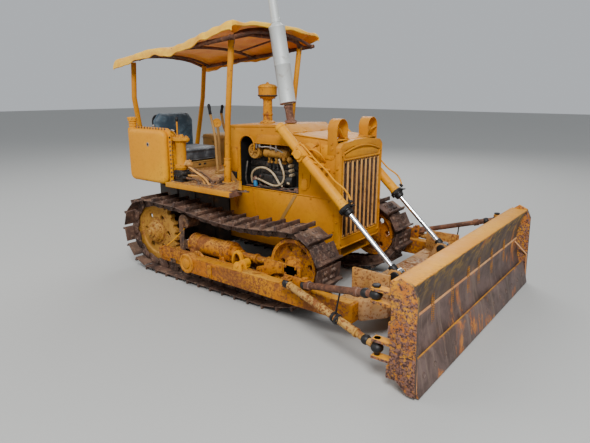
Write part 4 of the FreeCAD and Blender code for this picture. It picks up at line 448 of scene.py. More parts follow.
@dataclass(frozen=True)
class Finishes:
    """Every finish of the machine, built once."""

    paint: bpy.types.Material
    old_paint: bpy.types.Material
    box_paint: bpy.types.Material
    brace_paint: bpy.types.Material
    brown_box: bpy.types.Material
    floor: bpy.types.Material
    mild: bpy.types.Material
    bright_paint: bpy.types.Material
    mottled: bpy.types.Material
    blade: bpy.types.Material
    grille: bpy.types.Material
    track: bpy.types.Material
    wheels: bpy.types.Material
    edge: bpy.types.Material
    engine: bpy.types.Material
    cast_grey: bpy.types.Material
    steel: bpy.types.Material
    muffler: bpy.types.Material
    rusty_pipe: bpy.types.Material
    chrome: bpy.types.Material
    black: bpy.types.Material
    under_cloth: bpy.types.Material
    bar_rust: bpy.types.Material
    hub: bpy.types.Material
    hose: bpy.types.Material
    pale_hose: bpy.types.Material
    blue_cap: bpy.types.Material
    dark_sheet: bpy.types.Material
    seat: bpy.types.Material
    seat_back: bpy.types.Material
    bead: bpy.types.Material
    oily_case: bpy.types.Material
    rust_dark: bpy.types.Material
    cloth: bpy.types.Material

    @classmethod
    def make(cls) -> Finishes:
        """Build the materials."""
        return cls(
            paint=WornPaint("ochre_enamel").build(),
            old_paint=WornPaint("ochre_enamel_rusty", rust=0.62, chips=0.8, streaks=0.7, dust=0.4, spots=0.55).build(),
            box_paint=WornPaint("box_enamel_worn", base=tone(0.46, 0.195, 0.020), faded=tone(0.27, 0.175, 0.105), rust=0.66,
                                chips=0.9, streaks=0.8, dust=0.35, spots=0.80).build(),
            brace_paint=WornPaint("brace_enamel_worn", base=tone(0.44, 0.215, 0.030), faded=tone(0.38, 0.235, 0.08), rust=0.74,
                                  chips=0.9, streaks=0.8, dust=0.30, spots=0.85).build(),
            brown_box=WornPaint("olive_brown_enamel", base=tone(0.250, 0.125, 0.025), faded=tone(0.330, 0.190, 0.060),
                                rust=0.55, streaks=0.6, dust=0.5, roughness=0.6).build(),
            floor=WornPaint("worn_floor", base=tone(0.230, 0.110, 0.030), faded=tone(0.360, 0.180, 0.050), rust=0.75, chips=0.9,
                            dust=0.7, roughness=0.65).build(),
            mild=WornPaint("ochre_enamel_streaked", rust=0.45, streaks=0.55, dust=0.2, spots=0.3).build(),
            bright_paint=WornPaint("ochre_enamel_bright", base=tone(0.600, 0.235, 0.000),
                                   faded=tone(0.680, 0.300, 0.003), rust=0.22, dust=0.08, streaks=0.25, spots=0.16).build(),
            mottled=WornPaint("ochre_enamel_mottled", base=tone(0.40, 0.120, 0.000), faded=tone(0.46, 0.18, 0.004),
                              rust=0.85, chips=0.9, streaks=0.6, dust=0.35, roughness=0.5, spots=0.95).build(),
            blade=BladeFace("blade_rust_and_enamel").build(),
            grille=WornPaint("grille_enamel", base=tone(0.52, 0.24, 0.06), faded=tone(0.62, 0.35, 0.10), rust=0.5,
                             chips=0.7, dust=0.3, spots=0.45).build(),
            track=RustySteel("track_steel_rusty").build(),
            wheels=RustySteel("wheel_steel_rusty", brown=tone(0.16, 0.075, 0.035), soil=tone(0.36, 0.20, 0.08)).build(),
            edge=BladeFace("wear_plate_rust", paint_from=9.0, grey=tone(0.130, 0.082, 0.070), orange_share=0.52).build(),
            bead=WornPaint("rusty_weld", base=tone(0.50, 0.21, 0.08), faded=tone(0.62, 0.34, 0.16), rust=0.5, dust=0.3).build(),
            # Near-black rusty finish of the blocks in the grille's gaps: painted shade for the dark space behind the
            # bars.
            rust_dark=RustySteel("grille_gap_painted_shade", dark=tone(0.020, 0.010, 0.006), brown=tone(0.110, 0.048, 0.022),
                                 soil=tone(0.200, 0.095, 0.040)).build(),
            # Near-black case finish: oil and dirt, and painted shade for the dark under the platform.
            oily_case=PlainMetal("case_oil_dirt_and_painted_shade", tone(0.030, 0.020, 0.013), tone(0.150, 0.075, 0.030), 0.6, 0.2, 0.6,
                                 0.003).build(),
            seat_back=SeatVinyl("seat_vinyl_blue", colour=tone(0.018, 0.042, 0.066), pale=tone(0.100, 0.160, 0.200)).build(),
            engine=PlainMetal("engine_iron_oily", tone(0.020, 0.018, 0.016), tone(0.09, 0.065, 0.045), 0.5, 0.3, 0.45,
                              0.002).build(),
            cast_grey=PlainMetal("cast_iron_dusty", tone(0.16, 0.13, 0.10), tone(0.33, 0.22, 0.12), 0.7, 0.3, 0.55,
                                 0.002).build(),
            steel=PlainMetal("steel_dull", tone(0.34, 0.31, 0.28), tone(0.20, 0.10, 0.05), 0.6, 0.8, 0.38).build(),
            muffler=PlainMetal("muffler_silver", tone(0.46, 0.48, 0.47), tone(0.26, 0.22, 0.18), 0.5, 0.25, 0.55,
                               0.002).build(),
            rusty_pipe=RustySteel("exhaust_pipe_rust", dark=tone(0.07, 0.03, 0.02), brown=tone(0.22, 0.10, 0.06),
                                  soil=tone(0.42, 0.24, 0.14)).build(),
            chrome=PlainMetal("chrome", tone(0.86, 0.87, 0.88), tone(0.40, 0.36, 0.32), 0.05, 1.0, 0.10, 0.0001).build(),
            black=PlainMetal("black_iron", tone(0.012, 0.011, 0.011), tone(0.07, 0.05, 0.04), 0.35, 0.4, 0.5,
                             0.001).build(),
            # The underside's bright orange is painted light: it stands for daylight shining through the cloth.
            under_cloth=CanopyCloth("canopy_cloth_underside_painted_light", face=tone(0.98, 0.360, 0.000),
                                    stain=tone(0.88, 0.240, 0.000)).build(),
            bar_rust=RustySteel("canopy_bar_rust", dark=tone(0.045, 0.018, 0.010), brown=tone(0.16, 0.060, 0.028),
                                soil=tone(0.36, 0.16, 0.07)).build(),
            hub=WornPaint("ochre_enamel_soiled", base=tone(0.34, 0.155, 0.018), faded=tone(0.44, 0.230, 0.045), rust=0.6,
                          chips=0.8, dust=0.7, streaks=0.8, roughness=0.6, spots=0.62).build(),
            hose=Rubber("hose_rubber", tone(0.015, 0.014, 0.013), tone(0.09, 0.07, 0.05)).build(),
            pale_hose=Rubber("fuel_hose_pale", tone(0.42, 0.33, 0.20), tone(0.26, 0.17, 0.08), 0.5).build(),
            blue_cap=Rubber("filter_blue", tone(0.01, 0.16, 0.34), tone(0.03, 0.10, 0.18), 0.4).build(),
            dark_sheet=WornPaint("dark_sheet", base=tone(0.030, 0.026, 0.022), faded=tone(0.060, 0.048, 0.038), rust=0.4,
                                 dust=0.6).build(),
            seat=SeatVinyl("seat_vinyl").build(),
            cloth=CanopyCloth("canopy_cloth").build(),
        )


# ---- mesh workshop ----


class Workshop:
    """One piece under construction, made with bmesh operators and placed in the model's frame."""

    def __init__(self) -> None:
        """Start with an empty mesh."""
        self.mesh = bmesh.new()

    def _place(self, verts: list, matrix: Matrix) -> list:
        """Move new vertices into the model's frame."""
        bmesh.ops.transform(self.mesh, matrix=matrix, verts=verts)
        return verts

    def _soften(self, verts: list, width: float, segments: int = 2, angle: float = 0.5) -> None:
        """Bevel the sharp edges among some vertices."""
        if width <= 0:
            return
        chosen = set(verts)
        edges = [edge for edge in self.mesh.edges
                 if edge.verts[0] in chosen and edge.verts[1] in chosen and len(edge.link_faces) == 2
                 and edge.calc_face_angle(0) > angle]
        bmesh.ops.bevel(self.mesh, geom=edges, offset=width, segments=segments, profile=0.5, affect="EDGES",
                        clamp_overlap=True, material=-1)

    def block(self, low: Vector, high: Vector, bevel: float = 0.004, turn: Matrix | None = None) -> Workshop:
        """Add a box between two corners, its edges softened; `turn` turns it about its middle."""
        size = Vector(abs(top - bottom) for bottom, top in zip(low, high))
        middle = (Vector(high) + Vector(low)) / 2
        verts = bmesh.ops.create_cube(self.mesh, size=1)["verts"]
        matrix = Matrix.Translation(middle) @ (turn or Matrix()).to_4x4() @ Matrix.Diagonal((*size, 1))
        self._place(verts, matrix)
        self._soften(verts, min(bevel, min(abs(c) for c in size) * 0.3))
        return self

    def bar(self, start: Vector, end: Vector, radius: float, sides: int = 20, bevel: float = 0.002,
            tip: float | None = None) -> Workshop:
        """Add a round or many-sided bar between two places, with another radius at its tip if given."""
        start, end = Vector(start), Vector(end)
        run = end - start
        verts = bmesh.ops.create_cone(self.mesh, cap_ends=True, segments=sides, radius1=radius,
                                      radius2=radius if tip is None else tip, depth=run.length)["verts"]
        self._place(verts, Matrix.Translation((start + end) / 2) @ run.to_track_quat("Z", "Y").to_matrix().to_4x4())
        self._soften(verts, min(bevel, radius * 0.3, run.length * 0.3), 2, 0.9)
        return self

    def turned(self, start: Vector, direction: Vector, outline: list[tuple[float, float]], steps: int = 32) -> Workshop:
        """Add a turned piece: `outline` lists (distance along the axis, radius), its ends closed to the axis."""
        if outline[0] != outline[-1]:
            outline = [(outline[0][0], 0.0), *outline, (outline[-1][0], 0.0)]
        fresh = bmesh.new()
        verts = [fresh.verts.new((radius, 0, along)) for along, radius in outline]
        edges = [fresh.edges.new(pair) for pair in zip(verts, verts[1:])]
        bmesh.ops.spin(fresh, geom=verts + edges, cent=(0, 0, 0), axis=(0, 0, 1), angle=2 * math.pi, steps=steps,
                       use_merge=True, use_duplicate=False)
        bmesh.ops.remove_doubles(fresh, verts=fresh.verts, dist=1e-5)
        bmesh.ops.recalc_face_normals(fresh, faces=fresh.faces)
        matrix = Matrix.Translation(Vector(start)) @ Vector(direction).to_track_quat("Z", "Y").to_matrix().to_4x4()
        bmesh.ops.transform(fresh, matrix=matrix, verts=fresh.verts)
        self._absorb(fresh)
        return self

    def plate(self, corners: list[Vector], thickness: Vector, bevel: float = 0.002, segments: int = 2) -> Workshop:
        """Add a flat plate: an outline pushed out along a thickness vector."""
        verts = [self.mesh.verts.new(corner) for corner in corners]
        face = self.mesh.faces.new(verts)
        pushed = bmesh.ops.extrude_face_region(self.mesh, geom=[face])["geom"]
        moved = [item for item in pushed if isinstance(item, bmesh.types.BMVert)]
        bmesh.ops.translate(self.mesh, vec=thickness, verts=moved)
        bmesh.ops.recalc_face_normals(self.mesh, faces=list({f for v in verts + moved for f in v.link_faces}))
        self._soften(verts + moved, bevel, segments)
        return self

    def slab(self, outline: list[tuple[float, float]], near: float, far: float, bevel: float = 0.002,
             segments: int = 2) -> Workshop:
        """Add a plate whose outline lists (x, z) from the sprocket axle, standing between two places across."""
        return self.plate([at(x, near, z) for x, z in outline], Vector((0, far - near, 0)), bevel, segments)

    def lay(self, side: int, *rows: tuple) -> Workshop:
        """Add the rows of a table.

        Args:
            side: 1 for the left side or for places as they stand, -1 to mirror them to the right.
            rows: a method's name and its values; places are measured from the sprocket axle.

        Returns:
            The workshop itself.
        """
        def settle(value: object) -> object:
            """Turn places and directions of a row into the model's frame."""
            if isinstance(value, Way):
                return Vector((value.value[0], side * value.value[1], value.value[2]))
            if isinstance(value, tuple) and len(value) == 3:
                return at(value[0], side * value[1], value[2])
            if isinstance(value, list):
                return [settle(item) for item in value]
            return value

        for method, *values in rows:
            if method == "slab":
                values[1:3] = [side * value for value in values[1:3]]
            getattr(self, method)(*(settle(value) for value in values))
        return self

    def pipe(self, route: list[Vector], radius: float, smooth: bool = True, sides: int = 8) -> Workshop:
        """Add a pipe or hose along a smooth line that these points guide."""
        curve = bpy.data.curves.new("route", "CURVE")
        curve.dimensions = "3D"
        curve.bevel_depth = radius
        curve.bevel_resolution = max(1, sides // 4)
        curve.use_fill_caps = True
        curve.resolution_u = 10
        spline = curve.splines.new("NURBS" if smooth else "POLY")
        spline.points.add(len(route) - 1)
        for point, place in zip(spline.points, route):
            point.co = (*place, 1)
        if smooth:
            spline.order_u = 3
            spline.use_endpoint_u = True
        holder = bpy.data.objects.new("route", curve)
        mesh = bpy.data.meshes.new_from_object(holder)
        fresh = bmesh.new()
        fresh.from_mesh(mesh)
        bmesh.ops.remove_doubles(fresh, verts=fresh.verts, dist=1e-6)
        bmesh.ops.recalc_face_normals(fresh, faces=fresh.faces)
        self._absorb(fresh)
        bpy.data.objects.remove(holder)
        bpy.data.curves.remove(curve)
        bpy.data.meshes.remove(mesh)
        return self

    def bolt(self, place: Vector, direction: Vector, radius: float = 0.009, height: float = 0.008,
             washer: bool = True, turn: float = 0.0) -> Workshop:
        """Add a hexagon bolt head with its washer, standing on a surface."""
        place, direction = Vector(place), Vector(direction).normalized()
        frame = direction.to_track_quat("Z", "Y").to_matrix().to_4x4()
        if washer:
            verts = bmesh.ops.create_cone(self.mesh, cap_ends=True, segments=14, radius1=radius * 1.5,
                                          radius2=radius * 1.4, depth=height * 0.35)["verts"]
            self._place(verts, Matrix.Translation(place + direction * height * 0.12) @ frame)
        verts = bmesh.ops.create_cone(self.mesh, cap_ends=True, segments=6, radius1=radius, radius2=radius * 0.93,
                                      depth=height)["verts"]
        self._place(verts, Matrix.Translation(place + direction * height * 0.6) @ frame @ Matrix.Rotation(turn, 4, "Z"))
        return self

    def ball(self, place: Vector, radius: float, squash: float = 1.0) -> Workshop:
        """Add a ball, or a flattened one."""
        verts = bmesh.ops.create_uvsphere(self.mesh, u_segments=18, v_segments=12, radius=radius)["verts"]
        self._place(verts, Matrix.Translation(Vector(place)) @ Matrix.Diagonal((1, 1, squash, 1)))
        return self

    def weld(self, start: Vector, end: Vector, radius: float = 0.005) -> Workshop:
        """Add a weld bead: a row of overlapping beads along a joint."""
        start, end = Vector(start), Vector(end)
        run = end - start
        count = max(2, int(run.length / (radius * 2.4)))
        for index in range(count + 1):
            verts = bmesh.ops.create_icosphere(self.mesh, subdivisions=1, radius=radius)["verts"]
            size = 0.85 + 0.3 * noise.noise(start * 9 + Vector((index * 0.7, 0, 0)))
            self._place(verts, Matrix.Translation(start + run * (index / count)) @ Matrix.Scale(size, 4))
        return self

    def grid(self, rows: int, columns: int, place: Callable[[float, float], Vector]) -> Workshop:
        """Add a sheet: a grid whose points go where `place` puts a pair of shares between 0 and 1."""
        fresh = bmesh.new()
        bmesh.ops.create_grid(fresh, x_segments=rows, y_segments=columns, size=0.5)
        for vert in fresh.verts:
            vert.co = place(vert.co.x + 0.5, vert.co.y + 0.5)
        self._absorb(fresh)
        return self

    def ring(self, place: Vector, direction: Vector, count: int, circle: float, radius: float = 0.008,
             height: float = 0.008, start: float = 0.0) -> Workshop:
        """Add a circle of bolt heads round an axis."""
        frame = Vector(direction).to_track_quat("Z", "Y")
        for index in range(count):
            angle = start + 2 * math.pi * index / count
            spot = Vector(place) + frame @ Vector((circle * math.cos(angle), circle * math.sin(angle), 0))
            self.bolt(spot, direction, radius, height, turn=angle)
        return self

    def hexagon(self, start: Vector, end: Vector, radius: float) -> Workshop:
        """Add a six-sided nut or fitting between two places."""
        return self.bar(start, end, radius, sides=6, bevel=radius * 0.08)

    def _absorb(self, other: bmesh.types.BMesh) -> None:
        """Add another mesh's faces to this one."""
        spare = bpy.data.meshes.new("spare")
        other.to_mesh(spare)
        other.free()
        self.mesh.from_mesh(spare)
        bpy.data.meshes.remove(spare)

    def copy_node(self, node: bpy.types.Object, bevel: float = 0.003, segments: int = 2, angle: float = 0.6) -> Workshop:
        """Add a merged copy of a CAD node with its sharp edges softened."""
        self.mesh.from_mesh(node.data)
        bmesh.ops.remove_doubles(self.mesh, verts=self.mesh.verts, dist=1e-5)
        bmesh.ops.dissolve_limit(self.mesh, angle_limit=0.02, verts=self.mesh.verts, edges=self.mesh.edges)
        self._soften(list(self.mesh.verts), bevel, segments, angle)
        return self

    def twin(self) -> Workshop:
        """Add the mirror image across the machine's middle plane."""
        verts = list(self.mesh.verts)
        copied = bmesh.ops.duplicate(self.mesh, geom=verts + list(self.mesh.edges) + list(self.mesh.faces))["geom"]
        moved = [item for item in copied if isinstance(item, bmesh.types.BMVert)]
        faces = [item for item in copied if isinstance(item, bmesh.types.BMFace)]
        bmesh.ops.scale(self.mesh, vec=(1, -1, 1), verts=moved)
        bmesh.ops.reverse_faces(self.mesh, faces=faces)
        return self

    def finish(self, name: str, material: bpy.types.Material, body: Body, slot: Slot, replaces: tuple[str, ...] = (),
               smooth: float = 0.6) -> bpy.types.Object:
        """Turn the mesh into a piece.

        Args:
            name: the piece's name.
            material: its finish.
            body: the body that it rides on.
            slot: the record's slot that the finish belongs to; not used.
            replaces: CAD nodes that the piece stands for.
            smooth: edges flatter than this angle are shaded smooth.

        Returns:
            The finished object.
        """
        data = bpy.data.meshes.new(name)
        self.mesh.to_mesh(data)
        self.mesh.free()
        piece = bpy.data.objects.new(name, data)
        bpy.context.scene.collection.objects.link(piece)
        data.materials.append(material)
        data.shade_smooth()
        data.set_sharp_from_angle(angle=smooth)
        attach(piece, body.value)
        if replaces:
            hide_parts(*replaces)
        LOG.info("%s: %d faces", name, len(data.polygons))
        return piece


@dataclass
class Camera:
    """The photograph's point of view."""

    place: tuple[float, float, float] = (2.600, -3.312, 1.559)
    yaw: float = math.radians(37.65)
    pitch: float = math.radians(14.35)
    roll: float = math.radians(0.19)
    focal_pixels: float = 507.65
    sensor: float = 36.0

    def build(self) -> None:
        """Create the camera and make it the scene's own."""
        data = bpy.data.cameras.new("camera")
        data.sensor_width = self.sensor
        data.lens = self.focal_pixels / IMAGE_WIDTH * self.sensor
        eye = bpy.data.objects.new("camera", data)
        ahead = Vector((-math.sin(self.yaw) * math.cos(self.pitch), math.cos(self.yaw) * math.cos(self.pitch),
                        -math.sin(self.pitch)))
        turn = ahead.to_track_quat("-Z", "Y").to_matrix().to_4x4() @ Matrix.Rotation(self.roll, 4, "Z")
        eye.matrix_world = Matrix.Translation(Vector(self.place)) @ turn
        bpy.context.scene.collection.objects.link(eye)
        bpy.context.scene.camera = eye


@dataclass
class Studio:
    """A pale floor and soft light."""

    floor_half: float = 40.0

    def build(self) -> None:
        """Create the floor, the sky and the lamps."""
        shape = bmesh.new()
        bmesh.ops.create_grid(shape, x_segments=2, y_segments=2, size=self.floor_half)
        data = bpy.data.meshes.new("floor")
        shape.to_mesh(data)
        shape.free()
        floor = bpy.data.objects.new("floor", data)
        floor.location.z = -0.001
        bpy.context.scene.collection.objects.link(floor)
        shader = Shader("studio_floor")
        shader.connect("Base Color", tone(0.40, 0.40, 0.385))
        shader.connect("Roughness", 0.9)
        data.materials.append(shader.material)
        world = bpy.data.worlds.new("studio")
        bpy.context.scene.world = world
        world.use_nodes = True
        back = world.node_tree.nodes["Background"]
        back.inputs[0].default_value = tone(0.86, 0.90, 0.95)
        back.inputs[1].default_value = 0.60
        for name, place, size, power in (("key", (4.5, -6.0, 7.5), 3.2, 1250), ("fill", (-6.0, -5.0, 5.0), 6.0, 240),
                                         ("rim", (-3.0, 6.0, 6.0), 5.0, 420)):
            lamp = bpy.data.lights.new(name, "AREA")
            lamp.energy = power
            lamp.size = size
            holder = bpy.data.objects.new(name, lamp)
            holder.matrix_world = Matrix.Translation(Vector(place)) @ (
                -Vector(place) + Vector((0, 0, 0.8))).to_track_quat("-Z", "Y").to_matrix().to_4x4()
            bpy.context.scene.collection.objects.link(holder)


def rounded(low: tuple[float, float], high: tuple[float, float], radius: float, steps: int = 6) -> list[tuple[float, float]]:
    """Outline of a rectangle with rounded corners."""
    outline = []
    for quarter, (x, z) in enumerate(((high[0] - radius, high[1] - radius), (low[0] + radius, high[1] - radius),
                                      (low[0] + radius, low[1] + radius), (high[0] - radius, low[1] + radius))):
        for step in range(steps + 1):
            angle = math.pi / 2 * (quarter + step / steps)
            outline.append((x + radius * math.cos(angle), z + radius * math.sin(angle)))
    return outline


def ease(low: float, high: float, value: float) -> float:
    """A smooth step from 0 at `low` to 1 at `high`."""
    share = min(1.0, max(0.0, (value - low) / (high - low)))
    return share * share * (3 - 2 * share)


def hill(centre: float, width: float, value: float) -> float:
    """A smooth hump of height 1 round a centre."""
    return math.exp(-((value - centre) / width) ** 2)


# ---- canopy ----


@dataclass
class Canopy:
    """The cloth over the operator's place with its bent frame and ties."""

    finishes: Finishes
    rear: float = -0.500
    front: float = 0.930
    rear_height: float = 1.802
    front_height: float = 1.945
    half: float = 0.500
    crown: float = 0.090
    bars: tuple[float, ...] = (-0.476, -0.396, 0.215, 0.833, 0.906)
    edge_reach: float = 0.022
    hem: float = 0.050

    def rail(self, x: float) -> float:
        """Height of the side rails at x."""
        return self.rear_height + (self.front_height - self.rear_height) * (x - self.rear) / (self.front - self.rear)

    def eave(self, x: float) -> float:
        """How far the cloth stands off the side rails at x."""
        return 0.012 + 0.060 * ease(0.36, 0.80, x) + 0.018 * hill(-0.05, 0.18, x) + 0.010 * hill(0.50, 0.12, x)

    def surface(self, length_share: float, width_share: float) -> Vector:
        """Place of a point of the cloth, from its shares along and across the flat sheet."""
        middle = (self.rear + self.front) / 2
        reach = (self.front - self.rear) / 2
        along = (length_share - 0.5) * 2 * (reach + 0.052)
        across = (width_share - 0.5) * 2 * (self.half + 0.098)
        over_x = max(0.0, abs(along) - reach)
        over_y = max(0.0, abs(across) - self.half - 0.018)
        x = middle + math.copysign(min(abs(along), reach) + self.edge_reach * math.tanh(over_x / 0.020), along)
        y = math.copysign(min(abs(across), self.half + 0.018) + 0.024 * math.tanh(over_y / 0.020), across)
        fall = math.hypot(max(0.0, over_x - 0.008), max(0.0, over_y - 0.006))
        sway = noise.noise(Vector((x * 7, y * 7, 3.1)))
        fall *= 0.86 + 0.30 * sway
        inside = max(0.0, 1 - (abs(y) / (self.half + 0.03)) ** 2.3)
        arch = self.crown * inside * (1 - 0.30 * hill(0.12, 0.20, x))
        gaps = [(a, b) for a, b in zip(self.bars, self.bars[1:]) if a <= x <= b]
        sag = 0.0
        if gaps:
            low, high = gaps[0]
            sag = 0.030 * (high - low) * math.sin(math.pi * (x - low) / (high - low)) * inside
        end_lift = 0.020 * hill(self.front, 0.10, x) * (1 - inside)
        lift = self.eave(x) * (0.35 + 0.65 * (abs(y) / self.half) ** 2) if abs(y) < self.half else self.eave(x)
        tie = 0.0
        for tie_x, tie_y, depth, width in ((0.850, -0.400, 0.066, 0.075), (0.850, 0.400, 0.060, 0.075),
                                           (0.240, -0.500, 0.020, 0.070), (0.240, 0.500, 0.020, 0.070),
                                           (-0.396, -0.470, 0.012, 0.060), (-0.396, 0.470, 0.012, 0.060)):
            tie += depth * math.exp(-((x - tie_x) ** 2 + (y - tie_y) ** 2) / (width * width))
        folds = 0.007 * noise.noise(Vector((x * 3.5, y * 9, 1.7))) + 0.005 * noise.noise(Vector((x * 11, y * 4, 5.2)))
        folds += 0.0035 * math.sin(x * 46 + 3 * math.sin(y * 5)) * (1 - inside) ** 2
        z = self.rail(min(max(x, self.rear), self.front)) + 0.015 + arch - sag + lift + end_lift - tie + folds - fall
        y += math.copysign(0.007 * sway * min(1.0, over_y / 0.03), y)
        x += math.copysign(0.006 * sway * min(1.0, over_x / 0.03), along)
        return at(x, y, z)

    def cloth(self) -> None:
        """The draped sheet, with its hem rolled on a cord."""
        sheet = Workshop().grid(150, 130, self.surface)
        bmesh.ops.recalc_face_normals(sheet.mesh, faces=sheet.mesh.faces)
        if sum(face.normal.z for face in sheet.mesh.faces) < 0:
            bmesh.ops.reverse_faces(sheet.mesh, faces=sheet.mesh.faces)
        piece = sheet.finish("canopy_sheet", self.finishes.cloth, Body.TRACTOR, Slot.CLOTH, ("canopy_cloth",), smooth=1.2)
        # The inner face of the thickened sheet gets the underside finish, whose brightness is painted light through the
        # cloth.
        piece.data.materials.append(self.finishes.under_cloth)
        wall = piece.modifiers.new("thickness", "SOLIDIFY")
        wall.thickness = 0.0022
        wall.offset = -1
        wall.material_offset = 1
        hem = Workshop()
        corners = 60
        rim = [(i / corners, 0.004) for i in range(corners)] + [(0.996, i / corners) for i in range(corners)]
        rim += [(1 - i / corners, 0.996) for i in range(corners)] + [(0.004, 1 - i / corners) for i in range(corners + 1)]
        hem.pipe([self.surface(u, v) + Vector((0, 0, 0.002)) for u, v in rim], 0.0042)
        hem.finish("canopy_hem_roll", self.finishes.cloth, Body.TRACTOR, Slot.CLOTH)

    def frame(self) -> None:
        """Side rails, arched bars and short stays."""
        shop = Workshop()
        for side in SIDES:
            shop.bar(at(self.rear, side * self.half, self.rail(self.rear)),
                     at(self.front, side * self.half, self.rail(self.front)), 0.0165)
        for x in self.bars:
            route = []
            for step in range(-8, 9):
                y = self.half * step / 8
                inside = max(0.0, 1 - (abs(y) / self.half) ** 2.3)
                arch = self.crown * inside * (1 - 0.30 * hill(0.12, 0.20, x)) * 0.80
                route.append(at(x, y * 0.985, self.rail(x) + arch))
            shop.pipe(route, 0.0125)
        corner = ((0.833, 0.421, 1.880), (0.834, 0.420, 1.930), (0.838, 0.388, 1.974), (0.842, 0.300, 2.004),
                  (0.845, 0.150, 2.030))
        hoop = [at(x, -y, z) for x, y, z in corner] + [at(0.845, 0, 2.040)] + [at(x, y, z) for x, y, z in reversed(corner)]
        shop.pipe(hoop, 0.0175)
        shop.bar(at(0.842, -0.300, 1.984), at(0.842, 0.300, 1.984), 0.0130)
        for side in SIDES:
            shop.weld(at(0.842, side * 0.262, 1.998), at(0.842, side * 0.306, 1.996), 0.006)
            for x in (-0.476, 0.215, 0.906):
                shop.weld(at(x - 0.012, side * 0.483, self.rail(x) + 0.010), at(x + 0.012, side * 0.483, self.rail(x) + 0.010))
            shop.bar(at(0.215, side * 0.30, self.rail(0.215) + 0.040), at(0.833, side * 0.16, self.rail(0.833) + 0.060), 0.008)
        shop.finish("canopy_bent_frame", self.finishes.bar_rust, Body.TRACTOR, Slot.PAINT, ("canopy_frame",))

    def ties(self) -> None:
        """Loops of wire that hold the cloth to the rails and posts."""
        shop = Workshop()
        for side in SIDES:
            for x in (-0.46, -0.20, 0.02, 0.24, 0.46, 0.66, 0.90):
                z = self.rail(x)
                loop = [at(x, side * 0.5 + 0.021 * math.cos(a * 0.9), z + 0.021 * math.sin(a * 0.9)) for a in range(8)]
                shop.pipe(loop, 0.0022)
            knot = at(0.842, side * 0.412, 1.952)
            shop.ball(knot, 0.017, 0.8)
            shop.pipe([knot, knot + Vector((0.016, 0.004, -0.020)), knot + Vector((0.012, -0.006, -0.052))], 0.003)
            shop.pipe([knot, knot + Vector((-0.020, -0.004, -0.014)), knot + Vector((-0.024, 0.006, -0.040))], 0.003)
        shop.finish("canopy_wire_ties", self.finishes.rusty_pipe, Body.TRACTOR, Slot.PAINT)

    def posts(self, frame: dict) -> None:
        """Softened posts with their foot plates and clamps."""
        shop = Workshop().copy_node(frame["nodes"]["canopy_posts"], 0.002)
        for side in SIDES:
            for x, y in ((0.745, 0.420), (-0.462, 0.300)):
                foot = at(x, side * y, 0.840)
                shop.block(foot + Vector((-0.050, -0.045, 0)), foot + Vector((0.050, 0.045, 0.008)), 0.002)
                for dx, dy in ((-0.038, -0.034), (0.038, -0.034), (-0.038, 0.034), (0.038, 0.034)):
                    shop.bolt(foot + Vector((dx, dy, 0.008)), Vector((0, 0, 1)), 0.007, 0.007)
            shop.bar(at(0.745, side * 0.420, 0.846), at(0.7505, side * 0.417, 1.030), 0.0275, 24)
            shop.bar(at(0.7505, side * 0.417, 1.026), at(0.751, side * 0.4167, 1.040), 0.030, 24)
            for z in (0.900, 0.985):
                shop.bolt(at(0.748, side * 0.446, z), Vector((0, side, 0)), 0.0075, 0.009)
        shop.finish("canopy_post_tubes", self.finishes.mild, Body.TRACTOR, Slot.PAINT, ("canopy_posts",))

    def build(self, frame: dict) -> None:
        """Build the canopy."""
        self.frame()
        self.cloth()
        self.ties()
        self.posts(frame)


# ---- seat ----


